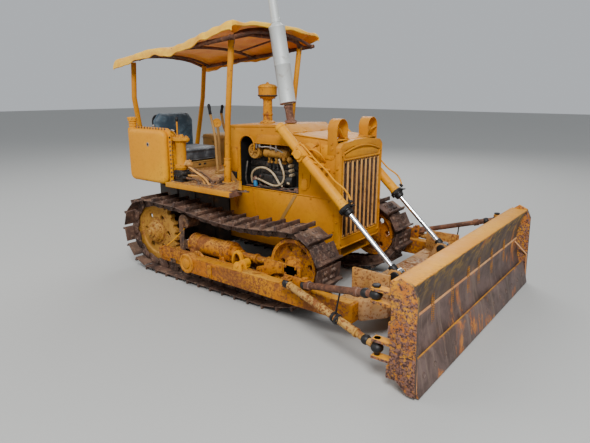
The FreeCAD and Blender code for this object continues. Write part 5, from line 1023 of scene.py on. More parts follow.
@dataclass
class Seat:
    """Padded cushion and backrest on a sheet pedestal."""

    finishes: Finishes
    voxel: float = 0.0068
    pressure: float = 4.0
    cap: float = 0.010

    def pad(self, name: str, corners: list[Vector], thickness: Vector, node: str) -> bpy.types.Object:
        """Blow up a padded shape from a flat one with rounded edges.

        Args:
            name: the piece's name.
            corners: the outline of one face.
            thickness: from that face to the other.
            node: the CAD node that it replaces.

        Returns:
            The padded piece.
        """
        core = Workshop().plate(corners, thickness, 0.024)
        piece = core.finish(name, self.finishes.seat, Body.TRACTOR, Slot.SEAT, (node,), smooth=3.0)
        remesh = piece.modifiers.new("even", "REMESH")
        remesh.mode = "VOXEL"
        remesh.voxel_size = self.voxel
        self._apply(piece)
        self._inflate(piece)
        shape = bmesh.new()
        shape.from_mesh(piece.data)
        for _ in range(3):
            bmesh.ops.smooth_vert(shape, verts=shape.verts, factor=0.5, use_axis_x=True, use_axis_y=True, use_axis_z=True)
        shape.to_mesh(piece.data)
        shape.free()
        round_off = piece.modifiers.new("smooth", "SUBSURF")
        round_off.levels = round_off.render_levels = 1
        self._apply(piece)
        piece.data.shade_smooth()
        return piece

    def _apply(self, piece: bpy.types.Object) -> None:
        """Bake a piece's modifiers into its mesh."""
        graph = bpy.context.evaluated_depsgraph_get()
        graph.update()
        mesh = bpy.data.meshes.new_from_object(piece.evaluated_get(graph), depsgraph=graph)
        piece.modifiers.clear()
        mesh.name = piece.name
        piece.data = mesh

    def _inflate(self, piece: bpy.types.Object) -> None:
        """Let the padding swell under pressure, no point going further than the cap."""
        before = [vert.co.copy() for vert in piece.data.vertices]
        cloth = piece.modifiers.new("padding", "CLOTH")
        cloth.settings.use_pressure = True
        cloth.settings.uniform_pressure_force = self.pressure
        cloth.settings.effector_weights.gravity = 0
        cloth.settings.quality = 5
        scene = bpy.context.scene
        for step in range(1, 21):
            scene.frame_set(step)
        self._apply(piece)
        for vert, start in zip(piece.data.vertices, before):
            shift = vert.co - start
            if shift.length > self.cap:
                vert.co = start + shift * (self.cap / shift.length)
        scene.frame_set(1)

    def piping(self, name: str, outline: list[Vector], radius: float = 0.0042) -> None:
        """A sewn welt along a cushion's edge."""
        Workshop().pipe(outline + outline[:3], radius, sides=8).finish(
            name, self.finishes.seat, Body.TRACTOR, Slot.SEAT, smooth=1.5)

    def build(self, frame: dict) -> None:
        """Build the seat."""
        cushion = [at(-0.362, -0.222, 0.920), at(-0.010, -0.222, 0.920), at(-0.010, 0.222, 0.920), at(-0.362, 0.222, 0.920)]
        self.pad("seat_cushion_cover", cushion, Vector((0, 0, 0.116)), "seat_cushion")
        low, high = 0.985, 1.342
        back = [at(-0.442, -0.241, low), at(-0.442, -0.241, high - 0.050), at(-0.442, -0.184, high + 0.020),
                at(-0.442, 0.184, high + 0.020), at(-0.442, 0.241, high - 0.050), at(-0.442, 0.241, low)]
        self.pad("seat_backrest_cover", back, Vector((0.060, 0, 0)), "seat_backrest").data.materials[0] = self.finishes.seat_back
        for z, name in ((1.021, "upper"), (0.933, "lower")):
            ring = []
            for corner_x, corner_y in ((-0.344, -0.204), (-0.028, -0.204), (-0.028, 0.204), (-0.344, 0.204)):
                turn = math.atan2(corner_y, corner_x + 0.186)
                ring += [at(corner_x + 0.022 * math.cos(turn + d), corner_y + 0.022 * math.sin(turn + d), z)
                         for d in (-0.7, 0.0, 0.7)]
            self.piping(f"seat_cushion_welt_{name}", ring)
        shell = Workshop()
        shell.plate([at(-0.455, y, z) for y, z in rounded((-0.225, 1.010), (0.225, 1.340), 0.060)], Vector((0.012, 0, 0)), 0.003)
        for side in SIDES:
            shell.lay(side, ("block", (-0.458, 0.130, 0.870), (-0.448, 0.170, 1.180), 0.002),
                      ("block", (-0.455, 0.130, 0.862), (-0.340, 0.170, 0.872), 0.002),
                      *(("bolt", (-0.458, 0.150, z), Way.REAR, 0.007, 0.006) for z in (1.06, 1.13)))
        shell.finish("seat_back_shell", self.finishes.black, Body.TRACTOR, Slot.DARK)
        base = Workshop().copy_node(frame["nodes"]["seat_pedestal"], 0.006)
        for side in SIDES:
            base.lay(side, ("block", (-0.290, 0.216, 0.850), (-0.070, 0.2265, 0.895), 0.002),
                     *(("bolt", (x, 0.2265, z), Way.OUT, 0.005, 0.004) for x in (-0.275, -0.085) for z in (0.860, 0.886)),
                     ("bar", (-0.0095, 0.216, 0.846), (-0.0095, 0.216, 0.908), 0.0045, 10))
        base.lay(1, ("bar", (-0.0095, -0.218, 0.907), (-0.0095, 0.218, 0.907), 0.0042, 10),
                 ("weld", (-0.006, -0.220, 0.842), (-0.006, 0.220, 0.842), 0.004),
                 ("block", (-0.011, -0.150, 0.856), (-0.0065, 0.040, 0.868), 0.001))
        base.finish("seat_base", self.finishes.brown_box, Body.TRACTOR, Slot.PAINT, ("seat_pedestal",))
        # Black blocks stand for two slots in the pedestal's front: painted shade inside the openings.
        slots = Workshop()
        for y in (-0.052, 0.014):
            slots.lay(1, ("block", (-0.012, y, 0.874), (-0.0085, y + 0.032, 0.892), 0.001))
        slots.finish("seat_base_slots", self.finishes.black, Body.TRACTOR, Slot.DARK)


# ---- running gear ----


@dataclass
class CrawlerTrack:
    """One loop of shoes, links, bushings and bolts, laid round its wheels."""

    finishes: Finishes
    side: int
    pitch: float = 0.1368
    count: int = 35
    sag: float = 0.052
    out: float = 0.570
    shoe_width: float = 0.285

    def pins(self) -> list[Vector]:
        """Places of the track pins round the loop, in the middle plane."""
        wheels = ((0.0, 0.341, 0.27215), (0.2082, 0.064 + 0.00742, 0.0), (1.3988, 0.064 + 0.00742, 0.0),
                  (1.580, 0.361, 0.2438), (0.425, 0.504, 0.103))
        wheels = tuple((x, 0.064 if r == 0 else z, r) for x, z, r in wheels)
        normals, lines = [], []
        for (x1, z1, r1), (x2, z2, r2) in zip(wheels, wheels[1:] + wheels[:1]):
            heading = math.atan2(z2 - z1, x2 - x1)
            normal = heading - math.pi / 2 + math.asin((r1 - r2) / math.hypot(x2 - x1, z2 - z1))
            across = Vector((math.cos(normal), 0, math.sin(normal)))
            normals.append(normal)
            lines.append((Vector((x1, 0, z1)) + across * r1, Vector((x2, 0, z2)) + across * r2))
        fine = []
        for index, (x, z, radius) in enumerate(wheels):
            arrive, leave = normals[index - 1], normals[index]
            turn = (leave - arrive + math.pi / 2) % (2 * math.pi) - math.pi / 2
            steps = max(1, int(abs(turn) * radius / 0.0005))
            for step in range(steps):
                angle = arrive + turn * step / steps
                fine.append(Vector((x + radius * math.cos(angle), 0, z + radius * math.sin(angle))))
            start, end = lines[index]
            steps = int((end - start).length / 0.0005)
            for step in range(steps):
                share = step / steps
                drop = 4 * self.sag * share * (1 - share) if index == 3 else 0.0
                fine.append(start.lerp(end, share) - Vector((0, 0, drop)))
        places, walked, total = [fine[0]], 0.0, 0.0
        flat = [0.0]
        for here, there in zip(fine, fine[1:] + fine[:1]):
            total += Vector((there.x - here.x, 0, there.z - here.z)).length
            flat.append(total)
        step = total / self.count
        for place, walked in zip(fine, flat):
            if walked >= step * len(places) and len(places) < self.count:
                places.append(place)
        return places

    def link(self) -> bmesh.types.BMesh:
        """One shoe with its two link rails, bushing and bolts: X forward, Z outward, its pins at the ends."""
        shop = Workshop()
        half = self.pitch / 2
        width = self.shoe_width / 2
        edge = half - 0.0035
        seat, back, tip = 0.0292, 0.0372, 0.0640
        outline = [(-edge, seat), (edge, seat), (edge, back - 0.001), (edge - 0.010, back), (-edge + 0.022, back),
                   (-edge + 0.0185, back + 0.006), (-edge + 0.0155, tip - 0.003), (-edge + 0.0125, tip), (-edge + 0.0015, tip),
                   (-edge, tip - 0.003)]
        shop.plate([Vector((x, -width, z)) for x, z in outline], Vector((0, 2 * width, 0)), 0.0026)
        for end in (-1, 1):
            shop.plate([Vector((edge - 0.030, end * 0.062, back)), Vector((edge - 0.002, end * 0.062, back)),
                        Vector((edge - 0.002, end * 0.086, back)), Vector((edge - 0.030, end * 0.086, back))],
                       Vector((0, 0, 0.0015)), 0)
            for x in (-0.022, 0.028):
                shop.bolt(Vector((x, end * 0.030, back)), Vector((0, 0, 1)), 0.0105, 0.010)
                shop.bolt(Vector((x, end * 0.060, back)), Vector((0, 0, 1)), 0.0105, 0.010)
            rail = end * 0.0450
            for lean, first, last in ((0.0065, -half - 0.021, 0.012), (-0.0065, -0.012, half + 0.021)):
                y = rail + end * lean
                pts = [(first, -0.010), (first + 0.010, -0.028), (first + 0.030, -0.0355), (last - 0.030, -0.0355),
                       (last - 0.010, -0.028), (last, -0.010), (last, 0.012), (last - 0.012, 0.0285),
                       (first + 0.012, 0.0285), (first, 0.012)]
                shop.plate([Vector((x, y - 0.0062, z)) for x, z in pts], Vector((0, 0.0124, 0)), 0.0016)
            shop.bar(Vector((-half, end * 0.036, 0)), Vector((-half, end * 0.0625, 0)), 0.0135, 12, 0.002)
            shop.bar(Vector((half, end * 0.030, 0)), Vector((half, end * 0.0575, 0)), 0.0185, 12, 0.002)
        shop.bar(Vector((-half, -0.034, 0)), Vector((-half, 0.034, 0)), 0.0198, 16, 0)
        return shop.mesh

    def build(self) -> None:
        """Lay the links round the loop."""
        template = self.link()
        stock = bpy.data.meshes.new("link")
        template.to_mesh(stock)
        template.free()
        shop = Workshop()
        pins = self.pins()
        for index, (here, there) in enumerate(zip(pins, pins[1:] + pins[:1])):
            forward = (there - here).normalized()
            outward = Vector((forward.z, 0, -forward.x))
            sway = 0.004 * noise.noise(Vector((index * 1.37, self.side, 0)))
            across = outward.cross(forward).normalized()
            start = len(shop.mesh.verts)
            shop.mesh.from_mesh(stock)
            shop.mesh.verts.ensure_lookup_table()
            turn = Matrix((forward, across, outward)).transposed().to_4x4()
            middle = (here + there) / 2
            matrix = Matrix.Translation(at(middle.x, self.side * self.out, middle.z)) @ turn @ Matrix.Rotation(sway, 4, "Z")
            bmesh.ops.transform(shop.mesh, matrix=matrix, verts=shop.mesh.verts[start:])
        bpy.data.meshes.remove(stock)
        name = SIDE_NAMES[self.side]
        shop.finish(f"crawler_track_{name}", self.finishes.track, Body.TRACTOR, Slot.TRACK, (f"track_{name}",), smooth=0.5)


@dataclass
class SoftShell:
    """A CAD node's own shape with its edges softened, so that light catches them."""

    node: str
    bevel: float
    look: str
    body: Body
    slot: Slot
    angle: float = 0.6

    def build(self, frame: dict, finishes: Finishes) -> None:
        """Build the softened shape in the node's place."""
        Workshop().copy_node(frame["nodes"][self.node], self.bevel, 2, self.angle).finish(
            f"{self.node}_shell", getattr(finishes, self.look), self.body, self.slot, (self.node,))


SHELLS = (
    SoftShell("engine_block", 0.004, "engine", Body.TRACTOR, Slot.ENGINE),
    SoftShell("radiator_core", 0.002, "black", Body.TRACTOR, Slot.DARK),
    SoftShell("cross_beam_seat", 0.003, "mottled", Body.TRACTOR, Slot.PAINT),
    SoftShell("track_tensioner_right", 0.002, "mottled", Body.TRACTOR, Slot.PAINT),
    SoftShell("track_tensioner_left", 0.002, "mottled", Body.TRACTOR, Slot.PAINT),
    SoftShell("cowl", 0.006, "paint", Body.TRACTOR, Slot.PAINT),
    SoftShell("hood", 0.003, "paint", Body.TRACTOR, Slot.PAINT),
    SoftShell("side_panel_right", 0.003, "paint", Body.TRACTOR, Slot.PAINT),
    SoftShell("side_panel_left", 0.003, "paint", Body.TRACTOR, Slot.PAINT),
    SoftShell("radiator_guard", 0.007, "paint", Body.TRACTOR, Slot.PAINT),
    SoftShell("grille", 0.003, "grille", Body.TRACTOR, Slot.PAINT),
    SoftShell("main_frame", 0.003, "paint", Body.TRACTOR, Slot.PAINT),
    # The main case takes the near-black case finish, partly painted shade under the platform.
    SoftShell("main_case", 0.010, "oily_case", Body.TRACTOR, Slot.PAINT),
    SoftShell("platform", 0.003, "paint", Body.TRACTOR, Slot.PAINT),
    SoftShell("lamp_guard_right", 0.0016, "paint", Body.TRACTOR, Slot.PAINT),
    SoftShell("lamp_guard_left", 0.0016, "paint", Body.TRACTOR, Slot.PAINT),
    SoftShell("track_frame_right", 0.005, "mottled", Body.TRACTOR, Slot.PAINT),
    SoftShell("track_frame_left", 0.005, "mottled", Body.TRACTOR, Slot.PAINT),
    SoftShell("cross_beam", 0.006, "mottled", Body.TRACTOR, Slot.PAINT),
    SoftShell("push_arm_right", 0.007, "mottled", Body.PUSH_FRAME, Slot.PAINT),
    SoftShell("push_arm_left", 0.007, "mottled", Body.PUSH_FRAME, Slot.PAINT),
    SoftShell("push_frame_nose", 0.008, "box_paint", Body.PUSH_FRAME, Slot.PAINT),
    SoftShell("push_frame_plates", 0.003, "box_paint", Body.PUSH_FRAME, Slot.PAINT),
    SoftShell("blade", 0.004, "blade", Body.PUSH_FRAME, Slot.BLADE),
    SoftShell("cutting_edge", 0.003, "edge", Body.PUSH_FRAME, Slot.EDGE),
    SoftShell("drawbar", 0.006, "wheels", Body.TRACTOR, Slot.ENGINE),
)


@dataclass
class WheelSet:
    """Dressing of one side's sprocket, idler, rollers, spring housing and track frame."""

    finishes: Finishes
    side: int
    out: float = 0.570

    def outward(self, x: float, reach: float, z: float) -> Vector:
        """A place on this side, its reach measured out from the machine's middle."""
        return at(x, self.side * reach, z)

    def sprocket(self) -> None:
        """The disc's hub, nuts and the plate over its web."""
        face = Vector((0, self.side, 0))
        disc = Workshop()
        disc.turned(self.outward(0, 0.570, 0.341), face, [
            (0.0085, 0.060), (0.0135, 0.064), (0.0135, 0.118), (0.0122, 0.122), (0.0122, 0.124)], 48)
        disc.turned(self.outward(0, 0.592, 0.341), face, [
            (-0.004, 0.104), (0.006, 0.100), (0.010, 0.092), (0.010, 0.084), (0.030, 0.080), (0.041, 0.072),
            (0.044, 0.060), (0.048, 0.046), (0.060, 0.042), (0.064, 0.036), (0.064, 0.0)], 48)
        disc.ring(self.outward(0, 0.602, 0.341), face, 10, 0.090, 0.0072, 0.009)
        disc.ring(self.outward(0, 0.635, 0.341), face, 6, 0.066, 0.0062, 0.007, 0.3)
        disc.hexagon(self.outward(0, 0.650, 0.341), self.outward(0, 0.672, 0.341), 0.026)
        name = SIDE_NAMES[self.side]
        disc.finish(f"sprocket_hub_{name}", self.finishes.hub, Body.TRACTOR, Slot.TRACK)

    def idler(self) -> None:
        """The idler's hub, its bearing block and the guard plate over the yoke."""
        face = Vector((0, self.side, 0))
        name = SIDE_NAMES[self.side]
        hub = Workshop()
        hub.turned(self.outward(1.580, 0.631, 0.361), face, [
            (-0.010, 0.072), (0.002, 0.070), (0.004, 0.052), (0.010, 0.048), (0.012, 0.036), (0.016, 0.030), (0.016, 0.0)],
            40)
        hub.ring(self.outward(1.580, 0.634, 0.361), face, 8, 0.060, 0.0058, 0.006)
        hub.finish(f"idler_hub_{name}", self.finishes.mottled, Body.TRACTOR, Slot.PAINT)
        block = Workshop()
        for y in (0.632, 0.490):
            block.block(self.outward(1.515, y, 0.290), self.outward(1.640, y + 0.019, 0.372), 0.004)
        for x in (1.530, 1.625):
            for z in (0.305, 0.357):
                block.bolt(self.outward(x, 0.651, z), face, 0.0075, 0.008)
        block.plate([self.outward(x, 0.478, z) for x, z in (
            (1.300, 0.372), (1.640, 0.388), (1.668, 0.350), (1.668, 0.300), (1.640, 0.318), (1.300, 0.330))],
            Vector((0, self.side * 0.010, 0)), 0.002)
        block.plate([self.outward(x, 0.652, z) for x, z in (
            (1.250, 0.264), (1.268, 0.300), (1.420, 0.356), (1.505, 0.372), (1.512, 0.300), (1.440, 0.286), (1.400, 0.264))],
            Vector((0, self.side * 0.008, 0)), 0.002)
        for x, z in ((1.285, 0.282), (1.350, 0.304), (1.430, 0.334), (1.490, 0.348)):
            block.bolt(self.outward(x, 0.660, z), face, 0.0075, 0.008)
        block.finish(f"idler_bearing_{name}", self.finishes.mottled, Body.TRACTOR, Slot.PAINT)

    def spring(self) -> None:
        """The spring housing's rims, straps, collars and bolts, and the adjuster on its front."""
        ahead = Vector((1, 0, 0))
        name = SIDE_NAMES[self.side]
        shop = Workshop()
        shop.turned(self.outward(0.486, self.out, 0.322), ahead, [
            (0, 0), (0, 0.050), (0.003, 0.054), (0.003, 0.070), (0.000, 0.074), (0.000, 0.080), (0.005, 0.084),
            (0.018, 0.084), (0.022, 0.080), (0.022, 0.0768), (0.200, 0.0768), (0.206, 0.0795), (0.216, 0.0795),
            (0.222, 0.0768), (0.412, 0.0768), (0.416, 0.084), (0.448, 0.086), (0.462, 0.083), (0.468, 0.074),
            (0.474, 0.058), (0.508, 0.056), (0.512, 0.050), (0.512, 0.030)], 44)
        shop.ring(self.outward(0.486, self.out, 0.322), Vector((-1, 0, 0)), 6, 0.062, 0.0070, 0.007)
        shop.ring(self.outward(0.955, self.out, 0.322), ahead, 8, 0.066, 0.0070, 0.008)
        for x in (0.560, 0.860):
            shop.turned(self.outward(x, self.out, 0.322), ahead, [
                (0, 0.0765), (0, 0.0815), (0.003, 0.083), (0.033, 0.083), (0.036, 0.0815), (0.036, 0.0765)], 36)
            for reach in (self.out - 0.078, self.out + 0.078):
                shop.block(self.outward(x + 0.004, reach - 0.010, 0.262), self.outward(x + 0.032, reach + 0.010, 0.330), 0.003)
                shop.bolt(self.outward(x + 0.018, reach, 0.330), Vector((0, 0, 1)), 0.008, 0.009)
        for x0 in (1.020, 1.180, 1.300):
            shop.turned(self.outward(x0, self.out, 0.322), ahead, [
                (0, 0.027), (0, 0.036), (0.003, 0.039), (0.019, 0.039), (0.022, 0.036), (0.022, 0.027)], 28)
        shop.finish(f"spring_housing_rims_{name}", self.finishes.mottled, Body.TRACTOR, Slot.PAINT)
        bracket = Workshop()
        arch = [self.outward(x, 0.640, z) for x, z in (
            (0.985, 0.262), (0.985, 0.300), (1.002, 0.352), (1.040, 0.376), (1.078, 0.352), (1.094, 0.300), (1.094, 0.262),
            (1.078, 0.262), (1.076, 0.300), (1.062, 0.336), (1.040, 0.350), (1.018, 0.336), (1.002, 0.300), (1.000, 0.262))]
        bracket.plate(arch, Vector((0, -self.side * 0.030, 0)), 0.003)
        bracket.turned(self.outward(1.128, 0.666, 0.292), Vector((0, self.side, 0)), [
            (-0.060, 0.018), (-0.060, 0.033), (0.018, 0.033), (0.022, 0.030), (0.022, 0.020), (0.014, 0.018), (-0.060, 0.018)],
            28)
        bracket.block(self.outward(1.098, 0.612, 0.258), self.outward(1.158, 0.682, 0.276), 0.003)
        bracket.pipe([self.outward(0.225, 0.664, 0.262), self.outward(0.320, 0.660, 0.330),
                      self.outward(0.430, 0.652, 0.430), self.outward(0.452, 0.650, 0.452)], 0.0058)
        bracket.finish(f"track_frame_brackets_{name}", self.finishes.bright_paint, Body.TRACTOR, Slot.PAINT)

    def rollers(self) -> None:
        """Roller end caps with their bolts, the carrier roller's caps and post."""
        face = Vector((0, self.side, 0))
        name = SIDE_NAMES[self.side]
        caps = Workshop()
        for step in range(5):
            x = 0.345 + 0.917 * step / 4
            for reach in (0.642, 0.498):
                way = 1 if reach > self.out else -1
                caps.turned(self.outward(x, reach, 0.165), face * way, [
                    (0.002, 0.052), (0.006, 0.048), (0.006, 0.036), (0.012, 0.034), (0.013, 0.022), (0.013, 0)], 28)
            caps.block(self.outward(x - 0.030, 0.688, 0.148), self.outward(x + 0.030, 0.700, 0.186), 0.003)
            for dx in (-0.020, 0.020):
                caps.bolt(self.outward(x + dx, 0.700, 0.156), face, 0.0062, 0.007)
                caps.bolt(self.outward(x + dx, 0.700, 0.178), face, 0.0062, 0.007)
        caps.turned(self.outward(0.425, 0.630, 0.504), face, [
            (-0.126, 0.0), (-0.126, 0.050), (-0.120, 0.060), (-0.108, 0.0605), (-0.102, 0.052), (-0.018, 0.052),
            (-0.012, 0.0605), (0.000, 0.0605), (0.006, 0.050), (0.010, 0.034), (0.020, 0.032), (0.022, 0.0)], 32)
        caps.ring(self.outward(0.425, 0.637, 0.504), face, 6, 0.041, 0.005, 0.006)
        caps.finish(f"roller_caps_{name}", self.finishes.wheels, Body.TRACTOR, Slot.TRACK)
        post = Workshop()
        post.block(self.outward(0.388, 0.596, 0.262), self.outward(0.462, 0.606, 0.340), 0.003)
        post.block(self.outward(0.380, 0.480, 0.262), self.outward(0.470, 0.612, 0.272), 0.003)
        for dx in (-0.034, 0.034):
            post.bolt(self.outward(0.425 + dx, 0.596, 0.272), Vector((0, 0, 1)), 0.009, 0.009)
            post.bolt(self.outward(0.425 + dx, 0.500, 0.272), Vector((0, 0, 1)), 0.009, 0.009)
        post.finish(f"carrier_post_{name}", self.finishes.wheels, Body.TRACTOR, Slot.TRACK)

    def frame_rails(self) -> None:
        """Ledges, guards and bolts along the track frame's side plates."""
        face = Vector((0, self.side, 0))
        name = SIDE_NAMES[self.side]
        shop = Workshop()
        shop.block(self.outward(0.195, 0.688, 0.262), self.outward(1.380, 0.652, 0.268), 0.002)
        shop.block(self.outward(0.195, 0.452, 0.262), self.outward(1.380, 0.488, 0.268), 0.002)
        shop.plate([self.outward(x, 0.688, z) for x, z in (
            (0.160, 0.192), (0.160, 0.244), (0.196, 0.266), (0.560, 0.266), (0.590, 0.240), (0.590, 0.190), (0.560, 0.172),
            (0.200, 0.172))], face * 0.010, 0.0025)
        for x in (0.205, 0.330, 0.450, 0.555):
            for z in (0.190, 0.250):
                shop.bolt(self.outward(x, 0.698, z), face, 0.008, 0.009)
        for x in (0.780, 0.960, 1.160, 1.340):
            shop.bolt(self.outward(x, 0.688, 0.232), face, 0.009, 0.010)
        shop.weld(self.outward(0.200, 0.690, 0.268), self.outward(0.560, 0.690, 0.268), 0.0035)
        shop.turned(self.outward(0.660, 0.688, 0.236), face, [
            (0, 0.074), (0.004, 0.070), (0.020, 0.066), (0.022, 0.058), (0.024, 0.036)], 36)
        shop.ring(self.outward(0.660, 0.708, 0.236), face, 6, 0.052, 0.006, 0.007)
        shop.finish(f"track_frame_ledges_{name}", self.finishes.mottled, Body.TRACTOR, Slot.PAINT)

    def build(self) -> None:
        """Build this side's dressing."""
        self.sprocket()
        self.idler()
        self.spring()
        self.rollers()
        self.frame_rails()


@dataclass
class PushGear:
    """Dressing of the push arms, cross box and braces."""

    finishes: Finishes
    arm_inner: float = 0.737
    arm_outer: float = 0.815

    def arms(self, side: int) -> None:
        """Cap rings, wear strips, brackets and welds of one arm."""
        face = Vector((0, side, 0))
        name = SIDE_NAMES[side]
        shop = Workshop()
        shop.turned(at(0.660, side * self.arm_outer, 0.236), face, [
            (-0.004, 0.078), (0.004, 0.078), (0.008, 0.074), (0.008, 0.060), (0.004, 0.056), (0.004, 0.0)], 40)
        shop.ring(at(0.660, side * (self.arm_outer + 0.006), 0.236), face, 6, 0.068, 0.0055, 0.006)
        shop.turned(at(0.660, side * (self.arm_outer + 0.004), 0.236), face, [
            (0, 0.040), (0.006, 0.038), (0.010, 0.032), (0.010, 0.0)], 28)
        shop.block(at(0.760, side * (self.arm_inner + 0.002), 0.2915), at(1.600, side * (self.arm_outer - 0.002), 0.2975), 0.002)
        shop.block(at(1.610, side * (self.arm_inner + 0.004), 0.2915), at(2.170, side * (self.arm_outer - 0.004), 0.2955), 0.002)
        for x in (0.830, 1.100, 1.520):
            shop.weld(at(x, side * self.arm_outer, 0.293), at(x + 0.09, side * self.arm_outer, 0.293), 0.0035)
        shop.block(at(0.905, side * (self.arm_outer - 0.004), 0.182), at(0.945, side * (self.arm_outer + 0.009), 0.278), 0.003)
        for z in (0.200, 0.260):
            shop.bolt(at(0.925, side * (self.arm_outer + 0.009), z), face, 0.008, 0.009)
        shop.finish(f"push_arm_trim_{name}", self.finishes.old_paint, Body.PUSH_FRAME, Slot.PAINT)
        stop = Workshop()
        stop.plate([at(x, side * (self.arm_outer - 0.020), z) for x, z in (
            (1.165, 0.292), (1.176, 0.346), (1.196, 0.364), (1.222, 0.364), (1.242, 0.346), (1.253, 0.292))],
            face * 0.016, 0.003)
        stop.plate([at(x, side * (self.arm_inner + 0.006), z) for x, z in (
            (1.165, 0.292), (1.176, 0.346), (1.196, 0.364), (1.222, 0.364), (1.242, 0.346), (1.253, 0.292))],
            face * 0.016, 0.003)
        stop.bar(at(1.209, side * (self.arm_inner + 0.002), 0.334), at(1.209, side * (self.arm_outer + 0.004), 0.334), 0.0145, 16)
        stop.finish(f"push_arm_ears_{name}", self.finishes.bright_paint, Body.PUSH_FRAME, Slot.PAINT)

    def braces(self, side: int) -> None:
        """Collars, nuts, threads, pins and the hanger rod of the braces on one side."""
        name = SIDE_NAMES[side]
        rear_out, front_out = 0.846, 1.045
        upper_rear, upper_front = at(1.850, side * rear_out, 0.352), at(2.470, side * front_out, 0.513)
        lower_rear, lower_front = at(1.700, side * rear_out, 0.330), at(2.490, side * front_out, 0.208)
        rod = Workshop()
        run = upper_front - upper_rear
        rod.bar(upper_rear, upper_front, 0.0218, 20)
        for share, wide, size in ((0.02, 0.05, 0.031), (0.72, 0.045, 0.030), (0.84, 0.025, 0.0275)):
            rod.hexagon(upper_rear + run * share, upper_rear + run * share + run.normalized() * wide, size)
        for step in range(14):
            spot = upper_rear + run * (0.74 + 0.0085 * step)
            rod.bar(spot, spot + run.normalized() * 0.0030, 0.0232, 14, 0)
        rod.finish(f"upper_brace_rod_{name}", self.finishes.bar_rust, Body.PUSH_FRAME, Slot.PAINT)
        tube = Workshop()
        run = lower_front - lower_rear
        tube.bar(lower_rear + run * 0.03, lower_rear + run * 0.80, 0.0245, 22)
        tube.bar(lower_rear + run * 0.80, lower_rear + run * 0.965, 0.0215, 22)
        for share in (0.035, 0.42, 0.79):
            tube.bar(lower_rear + run * share, lower_rear + run * (share + 0.022), 0.0285, 22)
        tube.finish(f"lower_brace_tube_{name}", self.finishes.brace_paint, Body.PUSH_FRAME, Slot.PAINT)
        black = Workshop()
        ahead = run.normalized()
        for share in (0.56, 0.60):
            black.bar(lower_rear + run * share, lower_rear + run * share + ahead * 0.020, 0.0315, 20)
        clamp = lower_rear + run * 0.58
        black.pipe([clamp + Vector((0.010, 0, 0.028)), clamp + Vector((0.034, side * 0.022, 0.030)),
                    clamp + Vector((0.042, side * 0.036, -0.004)), clamp + Vector((0.016, side * 0.028, -0.034)),
                    clamp + Vector((-0.014, 0, -0.028))], 0.005)
        hang = upper_rear + (upper_front - upper_rear) * 0.54
        black.pipe([hang + Vector((0, 0, -0.016)), hang.lerp(clamp, 0.5) + Vector((0.008, side * 0.014, 0)), clamp], 0.0055,
                   sides=8)
        for place in (upper_front, lower_front):
            black.ball(place, 0.036, 0.85)
            black.bar(place - Vector((0, 0, 0.052)), place + Vector((0, 0, 0.052)), 0.0165, 18)
            black.hexagon(place + Vector((0, 0, 0.044)), place + Vector((0, 0, 0.058)), 0.024)
            back = place - (place - (upper_rear if place is upper_front else lower_rear)).normalized() * 0.085
            black.ball(back, 0.031, 0.95)
        for place in (upper_rear, lower_rear):
            black.ball(place, 0.033, 0.95)
        black.finish(f"brace_pins_{name}", self.finishes.black, Body.PUSH_FRAME, Slot.DARK)
        seat = Workshop()
        seat.block(at(1.660, side * 0.8155, 0.288), at(1.880, side * 0.829, 0.380), 0.004)
        for x in (1.690, 1.760, 1.815, 1.865):
            seat.bolt(at(x, side * 0.829, 0.312), Vector((0, side, 0)), 0.0085, 0.009)
        for centre in (upper_rear, lower_rear):
            for lift in (-0.032, 0.032):
                seat.block(centre + Vector((-0.036, -0.018, lift - 0.006)), centre + Vector((0.036, 0.018, lift + 0.006)), 0.003)
            seat.hexagon(centre + Vector((0, 0, 0.038)), centre + Vector((0, 0, 0.050)), 0.022)
        seat.finish(f"brace_seat_{name}", self.finishes.mottled, Body.PUSH_FRAME, Slot.PAINT, (f"blade_braces_{name}",))

    def nose(self) -> None:
        """Welds, wear plates and pins on the cross box."""
        shop = Workshop()
        for side in SIDES:
            for y in (0.578, 0.600):
                shop.weld(at(2.060, side * y, 0.293), at(2.310, side * y, 0.293), 0.0045)
            shop.plate([at(x, side * y, 0.2925) for x, y in ((2.070, 0.130), (2.300, 0.130), (2.300, 0.320), (2.070, 0.320))],
                       Vector((0, 0, 0.005)), 0.002)
            shop.plate([at(x, side * y, 0.2925) for x, y in ((2.080, 0.440), (2.290, 0.440), (2.290, 0.565), (2.080, 0.565))],
                       Vector((0, 0, 0.004)), 0.002)
            shop.weld(at(2.200, side * 0.730, 0.293), at(2.315, side * 0.604, 0.293), 0.004)
            for z in (0.190, 0.268):
                shop.bolt(at(2.320, side * 0.420, z), Vector((1, 0, 0)), 0.010, 0.010)
                shop.bolt(at(2.320, side * 0.520, z), Vector((1, 0, 0)), 0.010, 0.010)
            for z, x in ((0.330, 2.085), (0.420, 2.085), (0.330, 2.285), (0.420, 2.285)):
                shop.bolt(at(x, side * 0.600, z), Vector((0, side, 0)), 0.0085, 0.008)
        shop.finish("cross_box_plates", self.finishes.box_paint, Body.PUSH_FRAME, Slot.PAINT)
        pins = Workshop()
        for side in SIDES:
            pins.bar(at(2.279, side * 0.330, 0.386), at(2.279, side * 0.442, 0.386), 0.0205, 22)
            for reach, way in ((0.436, side), (0.336, -side)):
                pins.turned(at(2.279, side * reach, 0.386), Vector((0, way, 0)), [
                    (0, 0.036), (0.006, 0.036), (0.010, 0.032), (0.012, 0.020), (0.012, 0)], 26)
        pins.hexagon(at(2.468, 0, 0.316), at(2.468, 0, 0.338), 0.040)
        pins.finish("rod_eye_pins", self.finishes.black, Body.PUSH_FRAME, Slot.DARK)

    def build(self) -> None:
        """Build the dressing of the push frame."""
        for side in SIDES:
            self.arms(side)
            self.braces(side)
        self.nose()


